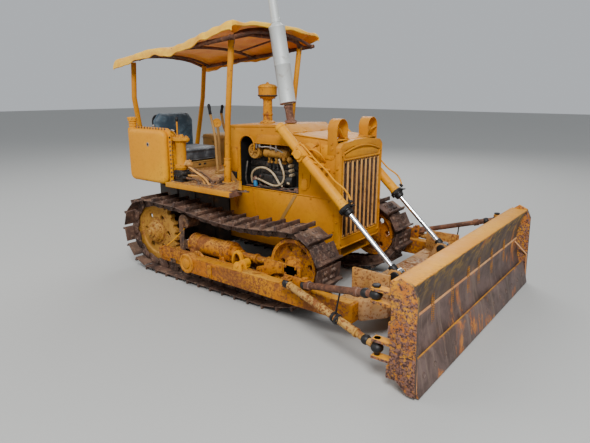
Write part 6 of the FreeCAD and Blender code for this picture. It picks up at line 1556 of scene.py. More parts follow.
@dataclass
class LiftCylinder:
    """Dressing of one lift cylinder: barrel, gland, pipes, eye and trunnion bracket."""

    finishes: Finishes
    side: int
    slope: float = math.radians(42.37)

    def on(self, along: float, out: float = 0.0, up: float = 0.0) -> Vector:
        """A place measured along the cylinder from its trunnion, outward and square to its upper side."""
        pivot = at(1.470, self.side * 0.386, 1.124)
        ahead = Vector((math.cos(self.slope), 0, -math.sin(self.slope)))
        above = Vector((math.sin(self.slope), 0, math.cos(self.slope)))
        return pivot + ahead * along + Vector((0, self.side * out, 0)) + above * up

    def build(self) -> None:
        """Build the dressing."""
        name = SIDE_NAMES[self.side]
        barrel = Body.BARREL_RIGHT if self.side < 0 else Body.BARREL_LEFT
        rod = Body.ROD_RIGHT if self.side < 0 else Body.ROD_LEFT
        ahead = (self.on(1) - self.on(0)).normalized()
        out = Vector((0, self.side, 0))
        tube = Workshop()
        tube.turned(self.on(-0.290), ahead, [
            (0, 0), (0, 0.026), (0.004, 0.032), (0.012, 0.039), (0.034, 0.041), (0.040, 0.0366), (0.225, 0.0366),
            (0.227, 0.0384), (0.232, 0.0384), (0.234, 0.0366), (0.360, 0.0366), (0.362, 0.0384), (0.367, 0.0384),
            (0.369, 0.0366), (0.778, 0.0366), (0.782, 0.041), (0.800, 0.041), (0.800, 0.030), (0.020, 0.030), (0.016, 0)], 40)
        tube.block(self.on(0) + Vector((-0.050, -0.047, -0.040)), self.on(0) + Vector((0.050, 0.047, 0.040)), 0.010,
                   Matrix.Rotation(self.slope, 3, "Y"))
        tube.turned(self.on(0, 0.040), out, [(0, 0.034), (0.014, 0.034), (0.018, 0.030), (0.018, 0.0)], 28)
        for up in (-0.028, 0.028):
            for along in (-0.034, 0.034):
                tube.bolt(self.on(along, 0.047, up), out, 0.007, 0.007)
        tube.finish(f"lift_barrel_{name}", self.finishes.bright_paint, barrel, Slot.PAINT, (f"cylinder_barrel_{name}",))
        cap = Workshop()
        cap.turned(self.on(0.506), ahead, [
            (0, 0.036), (0, 0.044), (0.003, 0.047), (0.014, 0.047), (0.018, 0.043), (0.034, 0.0425), (0.040, 0.036),
            (0.062, 0.034), (0.066, 0.026), (0.070, 0.0185)], 36)
        cap.bar(self.on(0.512), self.on(0.532), 0.054, 8, 0.003)
        cap.ring(self.on(0.532), ahead, 8, 0.045, 0.0058, 0.008, math.radians(22.5))
        cap.block(self.on(0.508, -0.016, 0.030), self.on(0.546, 0.016, 0.076), 0.005)
        cap.hexagon(self.on(0.520, 0, 0.070), self.on(0.492, 0, 0.070), 0.013)
        cap.block(self.on(0.512, 0.040, -0.016), self.on(0.546, 0.070, 0.016), 0.005)
        cap.bolt(self.on(0.529, 0.070, 0.0), out, 0.009, 0.009)
        cap.finish(f"lift_gland_{name}", self.finishes.black, barrel, Slot.DARK)
        pipe = Workshop()
        pipe.pipe([self.on(-0.060, 0, 0.034), self.on(-0.058, 0, 0.052), self.on(0.010, 0, 0.058), self.on(0.130, 0.002, 0.060),
                   self.on(0.220, 0.004, 0.078), self.on(0.330, 0.006, 0.074), self.on(0.400, 0.010, 0.098),
                   self.on(0.470, 0.006, 0.096), self.on(0.506, 0, 0.074)], 0.0064)
        for along in (0.060, 0.120):
            pipe.block(self.on(along, -0.012, 0.032), self.on(along + 0.016, 0.012, 0.064), 0.003)
            pipe.bolt(self.on(along + 0.008, 0, 0.060), self.on(0, 0, 1) - self.on(0), 0.006, 0.006)
        pipe.hexagon(self.on(-0.060, 0, 0.034), self.on(-0.060, 0, 0.052), 0.011)
        pipe.finish(f"lift_pipe_{name}", self.finishes.bright_paint, barrel, Slot.PAINT)
        reach = 1.0950
        eye = Workshop()
        eye.turned(self.on(reach, -0.0225), out, [
            (0, 0.0205), (0, 0.040), (0.004, 0.043), (0.041, 0.043), (0.045, 0.040), (0.045, 0.0205), (0, 0.0205)], 36)
        eye.turned(self.on(reach - 0.078), ahead, [
            (0, 0.0172), (0, 0.024), (0.004, 0.027), (0.030, 0.029), (0.050, 0.026)], 28)
        eye.bolt(self.on(reach, 0, 0.042), self.on(0, 0, 1) - self.on(0), 0.004, 0.008, False)
        eye.finish(f"lift_rod_eye_{name}", self.finishes.black, rod, Slot.DARK)
        mount = Workshop()
        hood = 0.280
        mount.plate([at(x, self.side * (hood + 0.0005), z) for x, z in (
            (1.375, 1.060), (1.375, 1.200), (1.400, 1.222), (1.540, 1.222), (1.565, 1.196), (1.565, 1.060), (1.520, 1.010),
            (1.440, 1.004))], Vector((0, self.side * 0.013, 0)), 0.004)
        mount.turned(at(1.470, self.side * (hood + 0.010), 1.124), out, [
            (0, 0.078), (0.006, 0.074), (0.020, 0.066), (0.044, 0.060), (0.046, 0.034)], 36)
        for x, z in ((1.394, 1.190), (1.394, 1.080), (1.546, 1.190), (1.546, 1.080), (1.455, 1.030), (1.505, 1.030)):
            mount.bolt(at(x, self.side * (hood + 0.0135), z), out, 0.0088, 0.010)
        for turn in (45, 135, 225, 315):
            angle = math.radians(turn)
            mount.plate([at(1.470 + r * math.cos(angle), self.side * (hood + y), 1.124 + r * math.sin(angle))
                         for r, y in ((0.056, 0.012), (0.095, 0.012), (0.062, 0.044), (0.056, 0.044))],
                        Vector((0.006 * math.sin(angle), 0, -0.006 * math.cos(angle))), 0.001)
        mount.finish(f"trunnion_bracket_{name}", self.finishes.paint, Body.TRACTOR, Slot.PAINT,
                     (f"cylinder_bracket_{name}",))


@dataclass
class FrontEnd:
    """Dressing of the hood, cowl, side panels, radiator guard, grille and lamp guards."""

    finishes: Finishes
    hood_half: float = 0.280

    def sheet_edges(self) -> None:
        """Folded edges, hinge, creases, seams and bolts of the hood, cowl and side panels."""
        bands = Workshop()
        shop = Workshop()
        half = self.hood_half
        for side in SIDES:
            face = Vector((0, side, 0))
            y = side * half
            rise = [(0.606, 1.283), (1.218, 1.306), (1.298, 1.250)]
            for (x1, z1), (x2, z2) in zip(rise, rise[1:]):
                shop.bar(at(x1, y * 1.004, z1 - 0.004), at(x2, y * 1.004, z2 - 0.004), 0.0050, 10, 0)
            shop.bar(at(1.302, y * 1.004, 1.251), at(1.700, y * 1.004, 1.222), 0.0050, 10, 0)
            arch = [at(0.836 + 0.082 * math.cos(a), y * 1.006, 1.135 + 0.082 * math.sin(a))
                    for a in [math.pi * k / 14 for k in range(-2, 17)]]
            shop.pipe(arch, 0.0048, sides=8)
            shop.bar(at(0.757, y * 1.005, 0.845), at(0.757, y * 1.005, 1.128), 0.0046, 10, 0)
            shop.bar(at(0.918, y * 1.005, 1.163), at(1.300, y * 1.005, 1.163), 0.0046, 10, 0)
            shop.plate([at(x, y * 1.001, z) for x, z in (
                (0.930, 1.166), (1.292, 1.166), (1.298, 1.180), (1.298, 1.222), (1.250, 1.240), (0.990, 1.232), (0.944, 1.200))],
                face * 0.0035, 0.0015)
            for x in (0.640, 0.700, 1.000, 1.140, 1.270):
                shop.bolt(at(x, y * 1.001, 1.268), face, 0.0058, 0.005)
            for x in (0.660, 0.900, 1.180, 1.330, 1.480, 1.640):
                shop.bolt(at(x, y * 1.001, 0.782), face, 0.0062, 0.006)
            shop.bar(at(0.640, y * 1.003, 0.797), at(1.700, y * 1.003, 0.797), 0.0042, 10, 0)
            shop.plate([at(x, y * 1.001, z) for x, z in ((0.886, 0.792), (0.899, 0.792), (0.957, 0.470), (0.944, 0.470))],
                       face * 0.003, 0.001)
            # The brown band on each frame side is a thin rib whose brown is a rust strip and the rib's painted shadow.
            bands.plate([at(x, y * 1.001, z) for x, z in ((1.322, 0.792), (1.354, 0.792), (1.180, 0.520), (1.150, 0.530))],
                        face * 0.004, 0.0012)
            shop.plate([at(x, y * 1.001, z) for x, z in (
                (1.395, 0.830), (1.440, 0.838), (1.452, 0.900), (1.440, 0.925), (1.398, 0.918), (1.388, 0.860))],
                face * 0.004, 0.001)
            for z in (0.560, 0.680, 0.860, 1.000):
                shop.bolt(at(1.686, y * 1.001, z), face, 0.0066, 0.006)
            door = [(1.400, 0.962), (1.400, 0.868), (1.436, 0.850), (1.470, 0.866), (1.474, 0.962)]
            shop.pipe([at(x, y * 1.004, z) for x, z in door], 0.0032)
        bands.finish("frame_side_bands_rust_and_shade", self.finishes.brown_box, Body.TRACTOR, Slot.PAINT)
        shop.bar(at(1.300, -half, 1.2565), at(1.300, half, 1.2565), 0.0052, 10, 0)
        for y in (-0.24, -0.12, 0.12, 0.24):
            shop.bar(at(1.300, y - 0.022, 1.2595), at(1.300, y + 0.022, 1.2595), 0.0075, 12)
            shop.bolt(at(1.690, y, 1.229), Vector((0, 0, 1)), 0.0062, 0.006)
        shop.finish("hood_folds_and_bolts", self.finishes.paint, Body.TRACTOR, Slot.PAINT)

    def hood_side(self, side: int) -> None:
        """Brackets, latch door and fittings on the hood's side near the cylinder trunnion."""
        face = Vector((0, side, 0))
        y = side * self.hood_half
        shop = Workshop()
        shop.plate([at(x, y * 1.001, z) for x, z in (
            (1.560, 1.196), (1.690, 1.186), (1.696, 1.172), (1.680, 1.098), (1.662, 1.086), (1.600, 1.090), (1.572, 1.110))],
            face * 0.005, 0.0016)
        shop.bolt(at(1.588, y * 1.01, 1.172), face, 0.006, 0.006)
        shop.bolt(at(1.672, y * 1.01, 1.168), face, 0.006, 0.006)
        shop.bolt(at(1.662, y * 1.01, 1.106), face, 0.006, 0.006)
        shop.bar(at(1.588, y, 1.040), at(1.588, y + side * 0.040, 1.040), 0.017, 16)
        shop.hexagon(at(1.588, y + side * 0.026, 1.040), at(1.588, y + side * 0.052, 1.040), 0.021)
        shop.bar(at(1.640, y, 1.010), at(1.640, y + side * 0.030, 1.010), 0.012, 14)
        shop.hexagon(at(1.640, y + side * 0.022, 1.010), at(1.640, y + side * 0.040, 1.010), 0.016)
        shop.pipe([at(1.588, y + side * 0.046, 1.040), at(1.588, y + side * 0.066, 1.040), at(1.596, y + side * 0.070, 1.000),
                   at(1.620, y + side * 0.050, 0.962), at(1.640, y + side * 0.012, 0.948)], 0.0064)
        shop.pipe([at(1.510, y + side * 0.060, 1.152), at(1.548, y + side * 0.078, 1.160), at(1.590, y + side * 0.060, 1.140),
                   at(1.610, y + side * 0.030, 1.096), at(1.606, y + side * 0.004, 1.070)], 0.0075)
        shop.finish(f"hood_side_fittings_{SIDE_NAMES[side]}", self.finishes.bright_paint, Body.TRACTOR, Slot.PAINT)

    def guard(self) -> None:
        """The radiator guard's raised arch, blank panel, side flanges and bolts, and the grille's bars."""
        ahead = Vector((1, 0, 0))
        front = 1.748
        shop = Workshop()
        arch = [at(front + 0.001, -0.262 + 0.524 * k / 16, 1.134 + 0.044 * math.sin(math.pi * k / 16)) for k in range(17)]
        shop.pipe(arch, 0.0075)
        shop.pipe([at(front + 0.001, -0.262, 1.134), at(front + 0.001, -0.262, 1.098), at(front + 0.001, -0.255, 1.088)], 0.0065)
        shop.pipe([at(front + 0.001, 0.262, 1.134), at(front + 0.001, 0.262, 1.098), at(front + 0.001, 0.255, 1.088)], 0.0065)
        shop.bar(at(front + 0.001, -0.262, 1.088), at(front + 0.001, 0.262, 1.088), 0.0055, 10, 0)
        panel = [(-0.232, 1.100), (0.232, 1.100), (0.236, 1.126), (0.150, 1.148), (0.0, 1.157), (-0.150, 1.148), (-0.236, 1.126)]
        shop.plate([at(front - 0.006, y, z) for y, z in panel], ahead * 0.0085, 0.003)
        for side in SIDES:
            shop.bar(at(front + 0.0005, side * 0.292, 0.446), at(front + 0.0005, side * 0.292, 1.170), 0.0060, 10, 0)
            shop.bar(at(front + 0.0005, side * 0.264, 0.512), at(front + 0.0005, side * 0.264, 1.082), 0.0042, 10, 0)
            for z in (0.470, 0.640, 0.840, 1.030, 1.150):
                shop.bolt(at(1.727, side * 0.302, z), Vector((0, side, 0)), 0.0075, 0.008)
            shop.bolt(at(front, side * 0.278, 0.476), ahead, 0.0080, 0.008)
            shop.bolt(at(front, side * 0.278, 1.120), ahead, 0.0066, 0.006)
        shop.bar(at(front + 0.0005, -0.262, 0.508), at(front + 0.0005, 0.262, 0.508), 0.0046, 10, 0)
        shop.bar(at(front, -0.290, 0.440), at(front, 0.290, 0.440), 0.0055, 10, 0)
        shop.finish("radiator_guard_trim", self.finishes.paint, Body.TRACTOR, Slot.PAINT)
        bars = Workshop()
        for index in range(9):
            y = -0.262 + (0.524 - 0.015) * index / 8 + 0.0075
            bars.bar(at(1.7425, y, 0.520), at(1.7425, y, 1.072), 0.0085, 14, 0)
            bars.bolt(at(1.748, y, 0.526), ahead, 0.0045, 0.004, False)
        for index in range(8):
            y = -0.262 + (0.524 - 0.015) * (index + 0.5) / 8 + 0.0075
            bars.bar(at(1.722, y, 0.520), at(1.722, y, 1.072), 0.0055, 12, 0)
        bars.finish("grille_bars", self.finishes.grille, Body.TRACTOR, Slot.PAINT)
        # Dark blocks fill the gaps between the front bars: painted shade for the space behind them.
        gaps = Workshop()
        for index in range(16):
            y = -0.2545 + (0.524 - 0.015) * (index + 0.5) / 16
            gaps.block(at(1.7300, y - 0.0038, 0.516), at(1.7448, y + 0.0038, 1.076), 0.001)
        gaps.finish("grille_gaps", self.finishes.rust_dark, Body.TRACTOR, Slot.DARK)
        core = Workshop()
        for index in range(26):
            z = 0.530 + 0.021 * index
            core.block(at(1.641, -0.255, z), at(1.650, 0.255, z + 0.004), 0)
        core.block(at(1.640, -0.262, 0.512), at(1.643, 0.262, 1.080), 0)
        core.finish("radiator_fins", self.finishes.black, Body.TRACTOR, Slot.ENGINE)

    def lamp_guards(self) -> None:
        """Folded rims, slanted straps and the bolts of the empty lamp guards."""
        shop = Workshop()
        for side in SIDES:
            for x in (1.627, 1.7045):
                loop = [at(x, side * (0.214 + 0.0700 * math.cos(a)), 1.302 + 0.0700 * math.sin(a))
                        for a in [math.pi * k / 16 for k in range(-1, 18)]]
                shop.pipe(loop, 0.0034, sides=8)
            shop.plate([at(x, side * 0.2835, z) for x, z in ((1.630, 1.150), (1.700, 1.150), (1.700, 1.300), (1.630, 1.300))],
                       Vector((0, side * 0.0022, 0)), 0.001)
            shop.bar(at(1.700, side * 0.277, 1.300), at(1.640, side * 0.160, 1.238), 0.0075, 12)
            shop.plate([at(1.662 + dx, side * y, z) for dx, y, z in (
                (0.026, 0.152, 1.236), (0.026, 0.176, 1.240), (0.026, 0.222, 1.300), (0.026, 0.210, 1.304))],
                Vector((-0.052, 0, 0)), 0.001)
            for z in (1.160, 1.200):
                shop.bolt(at(1.664, side * 0.2860, z), Vector((0, side, 0)), 0.0070, 0.007)
            shop.block(at(1.632, side * 0.138 - 0.012, 1.228), at(1.700, side * 0.138 + 0.012, 1.238), 0.002)
            shop.bolt(at(1.650, side * 0.136, 1.238), Vector((0, 0, 1)), 0.006, 0.006)
            shop.bolt(at(1.684, side * 0.136, 1.236), Vector((0, 0, 1)), 0.006, 0.006)
        shop.finish("lamp_guard_rims", self.finishes.paint, Body.TRACTOR, Slot.PAINT)

    def build(self) -> None:
        """Build the dressing of the front."""
        self.sheet_edges()
        for side in SIDES:
            self.hood_side(side)
        self.guard()
        self.lamp_guards()


@dataclass
class EngineBay:
    """What shows in the open side of the hood: block, head, manifold, hoses, filter and pump."""

    finishes: Finishes
    wall: float = 0.185

    def side(self, way: int) -> None:
        """Dress one side of the engine."""
        name = SIDE_NAMES[way]
        face = Vector((0, way, 0))
        block = Workshop()
        block.block(at(0.800, way * 0.150, 0.520), at(1.340, way * 0.198, 0.760), 0.008)
        block.block(at(0.800, way * 0.150, 0.775), at(1.335, way * 0.200, 0.960), 0.010)
        block.block(at(0.810, way * 0.130, 0.965), at(1.330, way * 0.208, 1.015), 0.006)
        for x in [0.830 + 0.068 * k for k in range(8)]:
            block.bolt(at(x, way * 0.200, 0.790), face, 0.009, 0.010)
            block.bolt(at(x, way * 0.208, 0.990), face, 0.010, 0.012)
            block.bar(at(x, way * 0.196, 0.830), at(x, way * 0.214, 0.830), 0.016, 14)
        for x in (0.900, 1.035, 1.170, 1.300):
            block.block(at(x - 0.008, way * 0.198, 0.800), at(x + 0.008, way * 0.208, 0.955), 0.003)
        block.finish(f"engine_side_{name}", self.finishes.engine, Body.TRACTOR, Slot.ENGINE)
        if way > 0:
            self.left(face)
        else:
            self.right(face)

    def right(self, face: Vector) -> None:
        """The right side: fan disc, air pipe, injection pump, fuel bowl, hoses and fittings."""
        disc = Workshop()
        disc.turned(at(0.888, -0.252, 1.094), face, [
            (-0.060, 0.0), (-0.060, 0.056), (-0.052, 0.062), (-0.020, 0.062), (-0.016, 0.057), (-0.010, 0.057), (-0.006, 0.062),
            (0.000, 0.060), (0.002, 0.046), (-0.010, 0.040), (-0.014, 0.022), (-0.004, 0.018), (0.006, 0.0135), (0.006, 0.0)],
            44)
        disc.ring(at(0.888, -0.258, 1.094), face, 6, 0.030, 0.0052, 0.006)
        disc.finish("bay_pulley_disc", self.finishes.hub, Body.TRACTOR, Slot.PAINT)
        pipe = Workshop()
        pipe.turned(at(0.992, -0.226, 1.086), Vector((1, 0, 0)), [
            (0, 0), (0, 0.032), (0.004, 0.037), (0.030, 0.037), (0.034, 0.034), (0.150, 0.034), (0.154, 0.038), (0.176, 0.038),
            (0.180, 0.034), (0.235, 0.031), (0.250, 0.0)], 32)
        for x in (1.030, 1.100, 1.170):
            pipe.bar(at(x, -0.226, 1.070), at(x, -0.205, 1.010), 0.017, 16)
            pipe.block(at(x - 0.024, -0.222, 1.004), at(x + 0.024, -0.198, 1.020), 0.003)
        pipe.hexagon(at(1.190, -0.240, 1.064), at(1.190, -0.240, 1.038), 0.016)
        pipe.bar(at(1.235, -0.236, 1.054), at(1.262, -0.246, 1.036), 0.021, 18)
        pipe.finish("bay_intake_pipe", self.finishes.hub, Body.TRACTOR, Slot.ENGINE, ("engine_fittings",))
        pump = Workshop()
        pump.block(at(0.975, -0.262, 0.842), at(1.215, -0.190, 0.920), 0.010)
        pump.block(at(1.010, -0.256, 0.920), at(1.180, -0.196, 0.950), 0.006)
        for k in range(4):
            x = 1.035 + 0.040 * k
            pump.hexagon(at(x, -0.226, 0.948), at(x, -0.226, 0.972), 0.0115)
            pump.bar(at(x, -0.226, 0.970), at(x, -0.226, 0.988), 0.0065, 12)
            pump.pipe([at(x, -0.226, 0.984), at(x, -0.226, 1.016), at(x + 0.006, -0.230, 1.034), at(x + 0.012, -0.222, 1.052),
                       at(x + 0.014, -0.205, 1.060)], 0.0032)
        pump.turned(at(1.215, -0.226, 0.884), Vector((1, 0, 0)), [(0, 0.030), (0.010, 0.046), (0.058, 0.046), (0.066, 0.038),
                                                                  (0.068, 0.0)], 30)
        pump.turned(at(0.975, -0.226, 0.884), Vector((-1, 0, 0)), [(0, 0.040), (0.006, 0.042), (0.030, 0.036), (0.034, 0.0)], 30)
        pump.ring(at(0.946, -0.226, 0.884), Vector((-1, 0, 0)), 6, 0.030, 0.005, 0.006)
        for x in (0.990, 1.095, 1.200):
            pump.bolt(at(x, -0.262, 0.860), face, 0.008, 0.008)
            pump.bolt(at(x, -0.262, 0.902), face, 0.008, 0.008)
        pump.finish("injection_pump", self.finishes.engine, Body.TRACTOR, Slot.ENGINE)
        nuts = Workshop()
        for k in range(3):
            z = 0.930 + 0.036 * k
            nuts.hexagon(at(1.268 - 0.004 * k, -0.214, z), at(1.268 - 0.004 * k, -0.256, z), 0.014)
            nuts.bar(at(1.268 - 0.004 * k, -0.250, z), at(1.268 - 0.004 * k, -0.268, z), 0.0085, 14)
        nuts.hexagon(at(1.243, -0.262, 0.872), at(1.267, -0.262, 0.868), 0.0125)
        nuts.finish("bay_brass_fittings", self.finishes.pale_hose, Body.TRACTOR, Slot.ENGINE)
        loops = Workshop()
        loops.pipe([at(0.856, -0.238, 0.830), at(0.858, -0.256, 0.868), at(0.878, -0.268, 0.922), at(0.940, -0.272, 0.966),
                    at(1.028, -0.272, 0.974), at(1.106, -0.272, 0.936), at(1.146, -0.270, 0.884), at(1.166, -0.264, 0.848),
                    at(1.190, -0.256, 0.836)], 0.0085)
        loops.pipe([at(1.150, -0.250, 1.046), at(1.168, -0.262, 1.020), at(1.198, -0.270, 0.980), at(1.216, -0.272, 0.934),
                    at(1.212, -0.272, 0.884), at(1.176, -0.270, 0.846), at(1.108, -0.268, 0.832), at(1.030, -0.268, 0.850),
                    at(0.955, -0.268, 0.872), at(0.916, -0.266, 0.876)], 0.0080)
        loops.finish("fuel_hoses", self.finishes.pale_hose, Body.TRACTOR, Slot.ENGINE)
        lines = Workshop()
        lines.pipe([at(0.905, -0.240, 0.800), at(0.950, -0.262, 0.822), at(1.040, -0.268, 0.814), at(1.120, -0.262, 0.828),
                    at(1.190, -0.250, 0.812), at(1.260, -0.240, 0.826), at(1.330, -0.230, 0.840)], 0.0055)
        lines.pipe([at(0.935, -0.244, 0.870), at(0.950, -0.262, 0.838), at(0.985, -0.266, 0.812), at(0.990, -0.258, 0.790)],
                   0.0042)
        lines.pipe([at(0.790, -0.225, 1.000), at(0.800, -0.250, 0.940), at(0.790, -0.255, 0.860), at(0.800, -0.240, 0.800)],
                   0.0075)
        lines.finish("bay_lines", self.finishes.hose, Body.TRACTOR, Slot.ENGINE)
        bowl = Workshop()
        bowl.turned(at(0.900, -0.252, 0.806), Vector((0, 0, 1)), [
            (0, 0), (0, 0.012), (0.004, 0.017), (0.052, 0.018), (0.056, 0.016), (0.056, 0.0)], 28)
        bowl.finish("fuel_filter_bowl", self.finishes.blue_cap, Body.TRACTOR, Slot.ENGINE)
        cap = Workshop()
        cap.turned(at(0.900, -0.252, 0.860), Vector((0, 0, 1)), [
            (0, 0.018), (0.002, 0.025), (0.010, 0.026), (0.018, 0.022), (0.022, 0.012), (0.030, 0.010), (0.032, 0.0)], 28)
        cap.hexagon(at(0.916, -0.262, 0.874), at(0.946, -0.266, 0.874), 0.0105)
        cap.ball(at(0.963, -0.262, 0.896), 0.010)
        cap.bar(at(0.963, -0.262, 0.868), at(0.963, -0.262, 0.893), 0.004, 10)
        for x, z, r in ((0.946, 0.806, 0.024), (1.000, 0.810, 0.018), (1.062, 0.806, 0.022),
                        (1.180, 0.812, 0.020), (1.240, 0.806, 0.017), (1.310, 0.814, 0.020)):
            cap.turned(at(x, -0.226, z), face, [(0, r), (0.018, r), (0.022, r * 0.8), (0.024, r * 0.45), (0.034, r * 0.4),
                                                (0.036, 0)], 20)
        cap.block(at(0.800, -0.262, 0.798), at(1.345, -0.205, 0.808), 0.002)
        cap.finish("bay_lower_fittings", self.finishes.rusty_pipe, Body.TRACTOR, Slot.ENGINE)
        hang = Workshop()
        for k, (x, length) in enumerate(((0.925, 0.030), (0.960, 0.024), (1.075, 0.030), (1.130, 0.044))):
            hang.bar(at(x, -0.262, 1.162), at(x, -0.262, 1.162 - length), 0.008, 12)
            hang.bolt(at(x, -0.262, 1.160 - length), Vector((0, 0, -1)), 0.010, 0.008)
        hang.pipe([at(0.930, -0.258, 1.150), at(0.975, -0.268, 1.128), at(1.030, -0.268, 1.140), at(1.120, -0.262, 1.130),
                   at(1.190, -0.250, 1.100)], 0.0060)
        hang.finish("bay_linkage", self.finishes.steel, Body.TRACTOR, Slot.STEEL)

    def left(self, face: Vector) -> None:
        """The left side: exhaust manifold, starter, generator and hoses."""
        iron = Workshop()
        iron.turned(at(0.880, 0.236, 1.060), Vector((1, 0, 0)), [
            (0, 0), (0, 0.026), (0.006, 0.031), (0.390, 0.031), (0.396, 0.026), (0.396, 0)], 30)
        for x in (0.915, 1.015, 1.120, 1.225):
            iron.bar(at(x, 0.236, 1.050), at(x, 0.200, 1.000), 0.019, 16)
            iron.block(at(x - 0.028, 0.200, 0.980), at(x + 0.028, 0.214, 1.022), 0.004)
            iron.bolt(at(x - 0.020, 0.214, 0.992), face, 0.008, 0.009)
            iron.bolt(at(x + 0.020, 0.214, 1.010), face, 0.008, 0.009)
        iron.finish("exhaust_manifold", self.finishes.rusty_pipe, Body.TRACTOR, Slot.ENGINE)
        electric = Workshop()
        electric.turned(at(0.860, 0.232, 0.856), Vector((1, 0, 0)), [
            (0, 0), (0, 0.038), (0.006, 0.044), (0.160, 0.044), (0.164, 0.036), (0.215, 0.034), (0.220, 0.028), (0.220, 0)], 32)
        electric.turned(at(0.880, 0.236, 0.918), Vector((1, 0, 0)), [
            (0, 0), (0, 0.020), (0.004, 0.023), (0.100, 0.023), (0.104, 0.018), (0.104, 0)], 24)
        electric.turned(at(1.190, 0.228, 0.900), Vector((1, 0, 0)), [
            (0, 0), (0, 0.040), (0.008, 0.048), (0.096, 0.048), (0.104, 0.040), (0.116, 0.040), (0.118, 0.046), (0.124, 0.046),
            (0.126, 0.030), (0.130, 0.030), (0.132, 0.046), (0.138, 0.046), (0.140, 0)], 32)
        electric.finish("starter_and_generator", self.finishes.black, Body.TRACTOR, Slot.ENGINE)
        lines = Workshop()
        lines.pipe([at(0.985, 0.236, 0.930), at(1.030, 0.262, 0.970), at(1.110, 0.264, 0.950), at(1.180, 0.256, 0.930)], 0.0055)
        lines.pipe([at(0.800, 0.225, 1.000), at(0.830, 0.262, 0.960), at(0.850, 0.264, 0.940), at(0.880, 0.250, 0.926)], 0.0065)
        lines.pipe([at(1.320, 0.215, 1.080), at(1.335, 0.250, 1.020), at(1.330, 0.256, 0.920), at(1.320, 0.220, 0.840)], 0.018)
        lines.finish("bay_cables", self.finishes.hose, Body.TRACTOR, Slot.ENGINE)

    def top(self) -> None:
        """Rocker cover with its bolts."""
        shop = Workshop()
        shop.block(at(0.830, -0.120, 1.060), at(1.290, 0.120, 1.130), 0.018)
        for x in (0.900, 1.060, 1.220):
            shop.bolt(at(x, 0, 1.130), Vector((0, 0, 1)), 0.011, 0.012)
        shop.finish("rocker_cover", self.finishes.hub, Body.TRACTOR, Slot.ENGINE)

    def build(self) -> None:
        """Dress the engine bay."""
        # Thin black walls line the opening's rear edge and upper arc, 0.2 m deep into the bay, and a black strip lies
        # on the bay floor at the opening.
        lining = Workshop()
        arc = [(0.836 - 0.0750 * math.cos(angle), 1.135 + 0.0750 * math.sin(angle)) for angle in (0.26 * k for k in range(7))]
        wall = [(0.761, 0.802), *arc]
        inset = [(x + 0.003, z - 0.002) for x, z in reversed(wall)]
        for way in SIDES:
            self.side(way)
            lining.slab(wall + inset, way * 0.274, way * 0.070, 0)
            lining.slab([(0.765, 0.803), (1.355, 0.803), (1.355, 0.806), (0.765, 0.806)], way * 0.274, way * 0.205, 0)
        lining.finish("bay_lining", self.finishes.black, Body.TRACTOR, Slot.DARK)
        self.top()


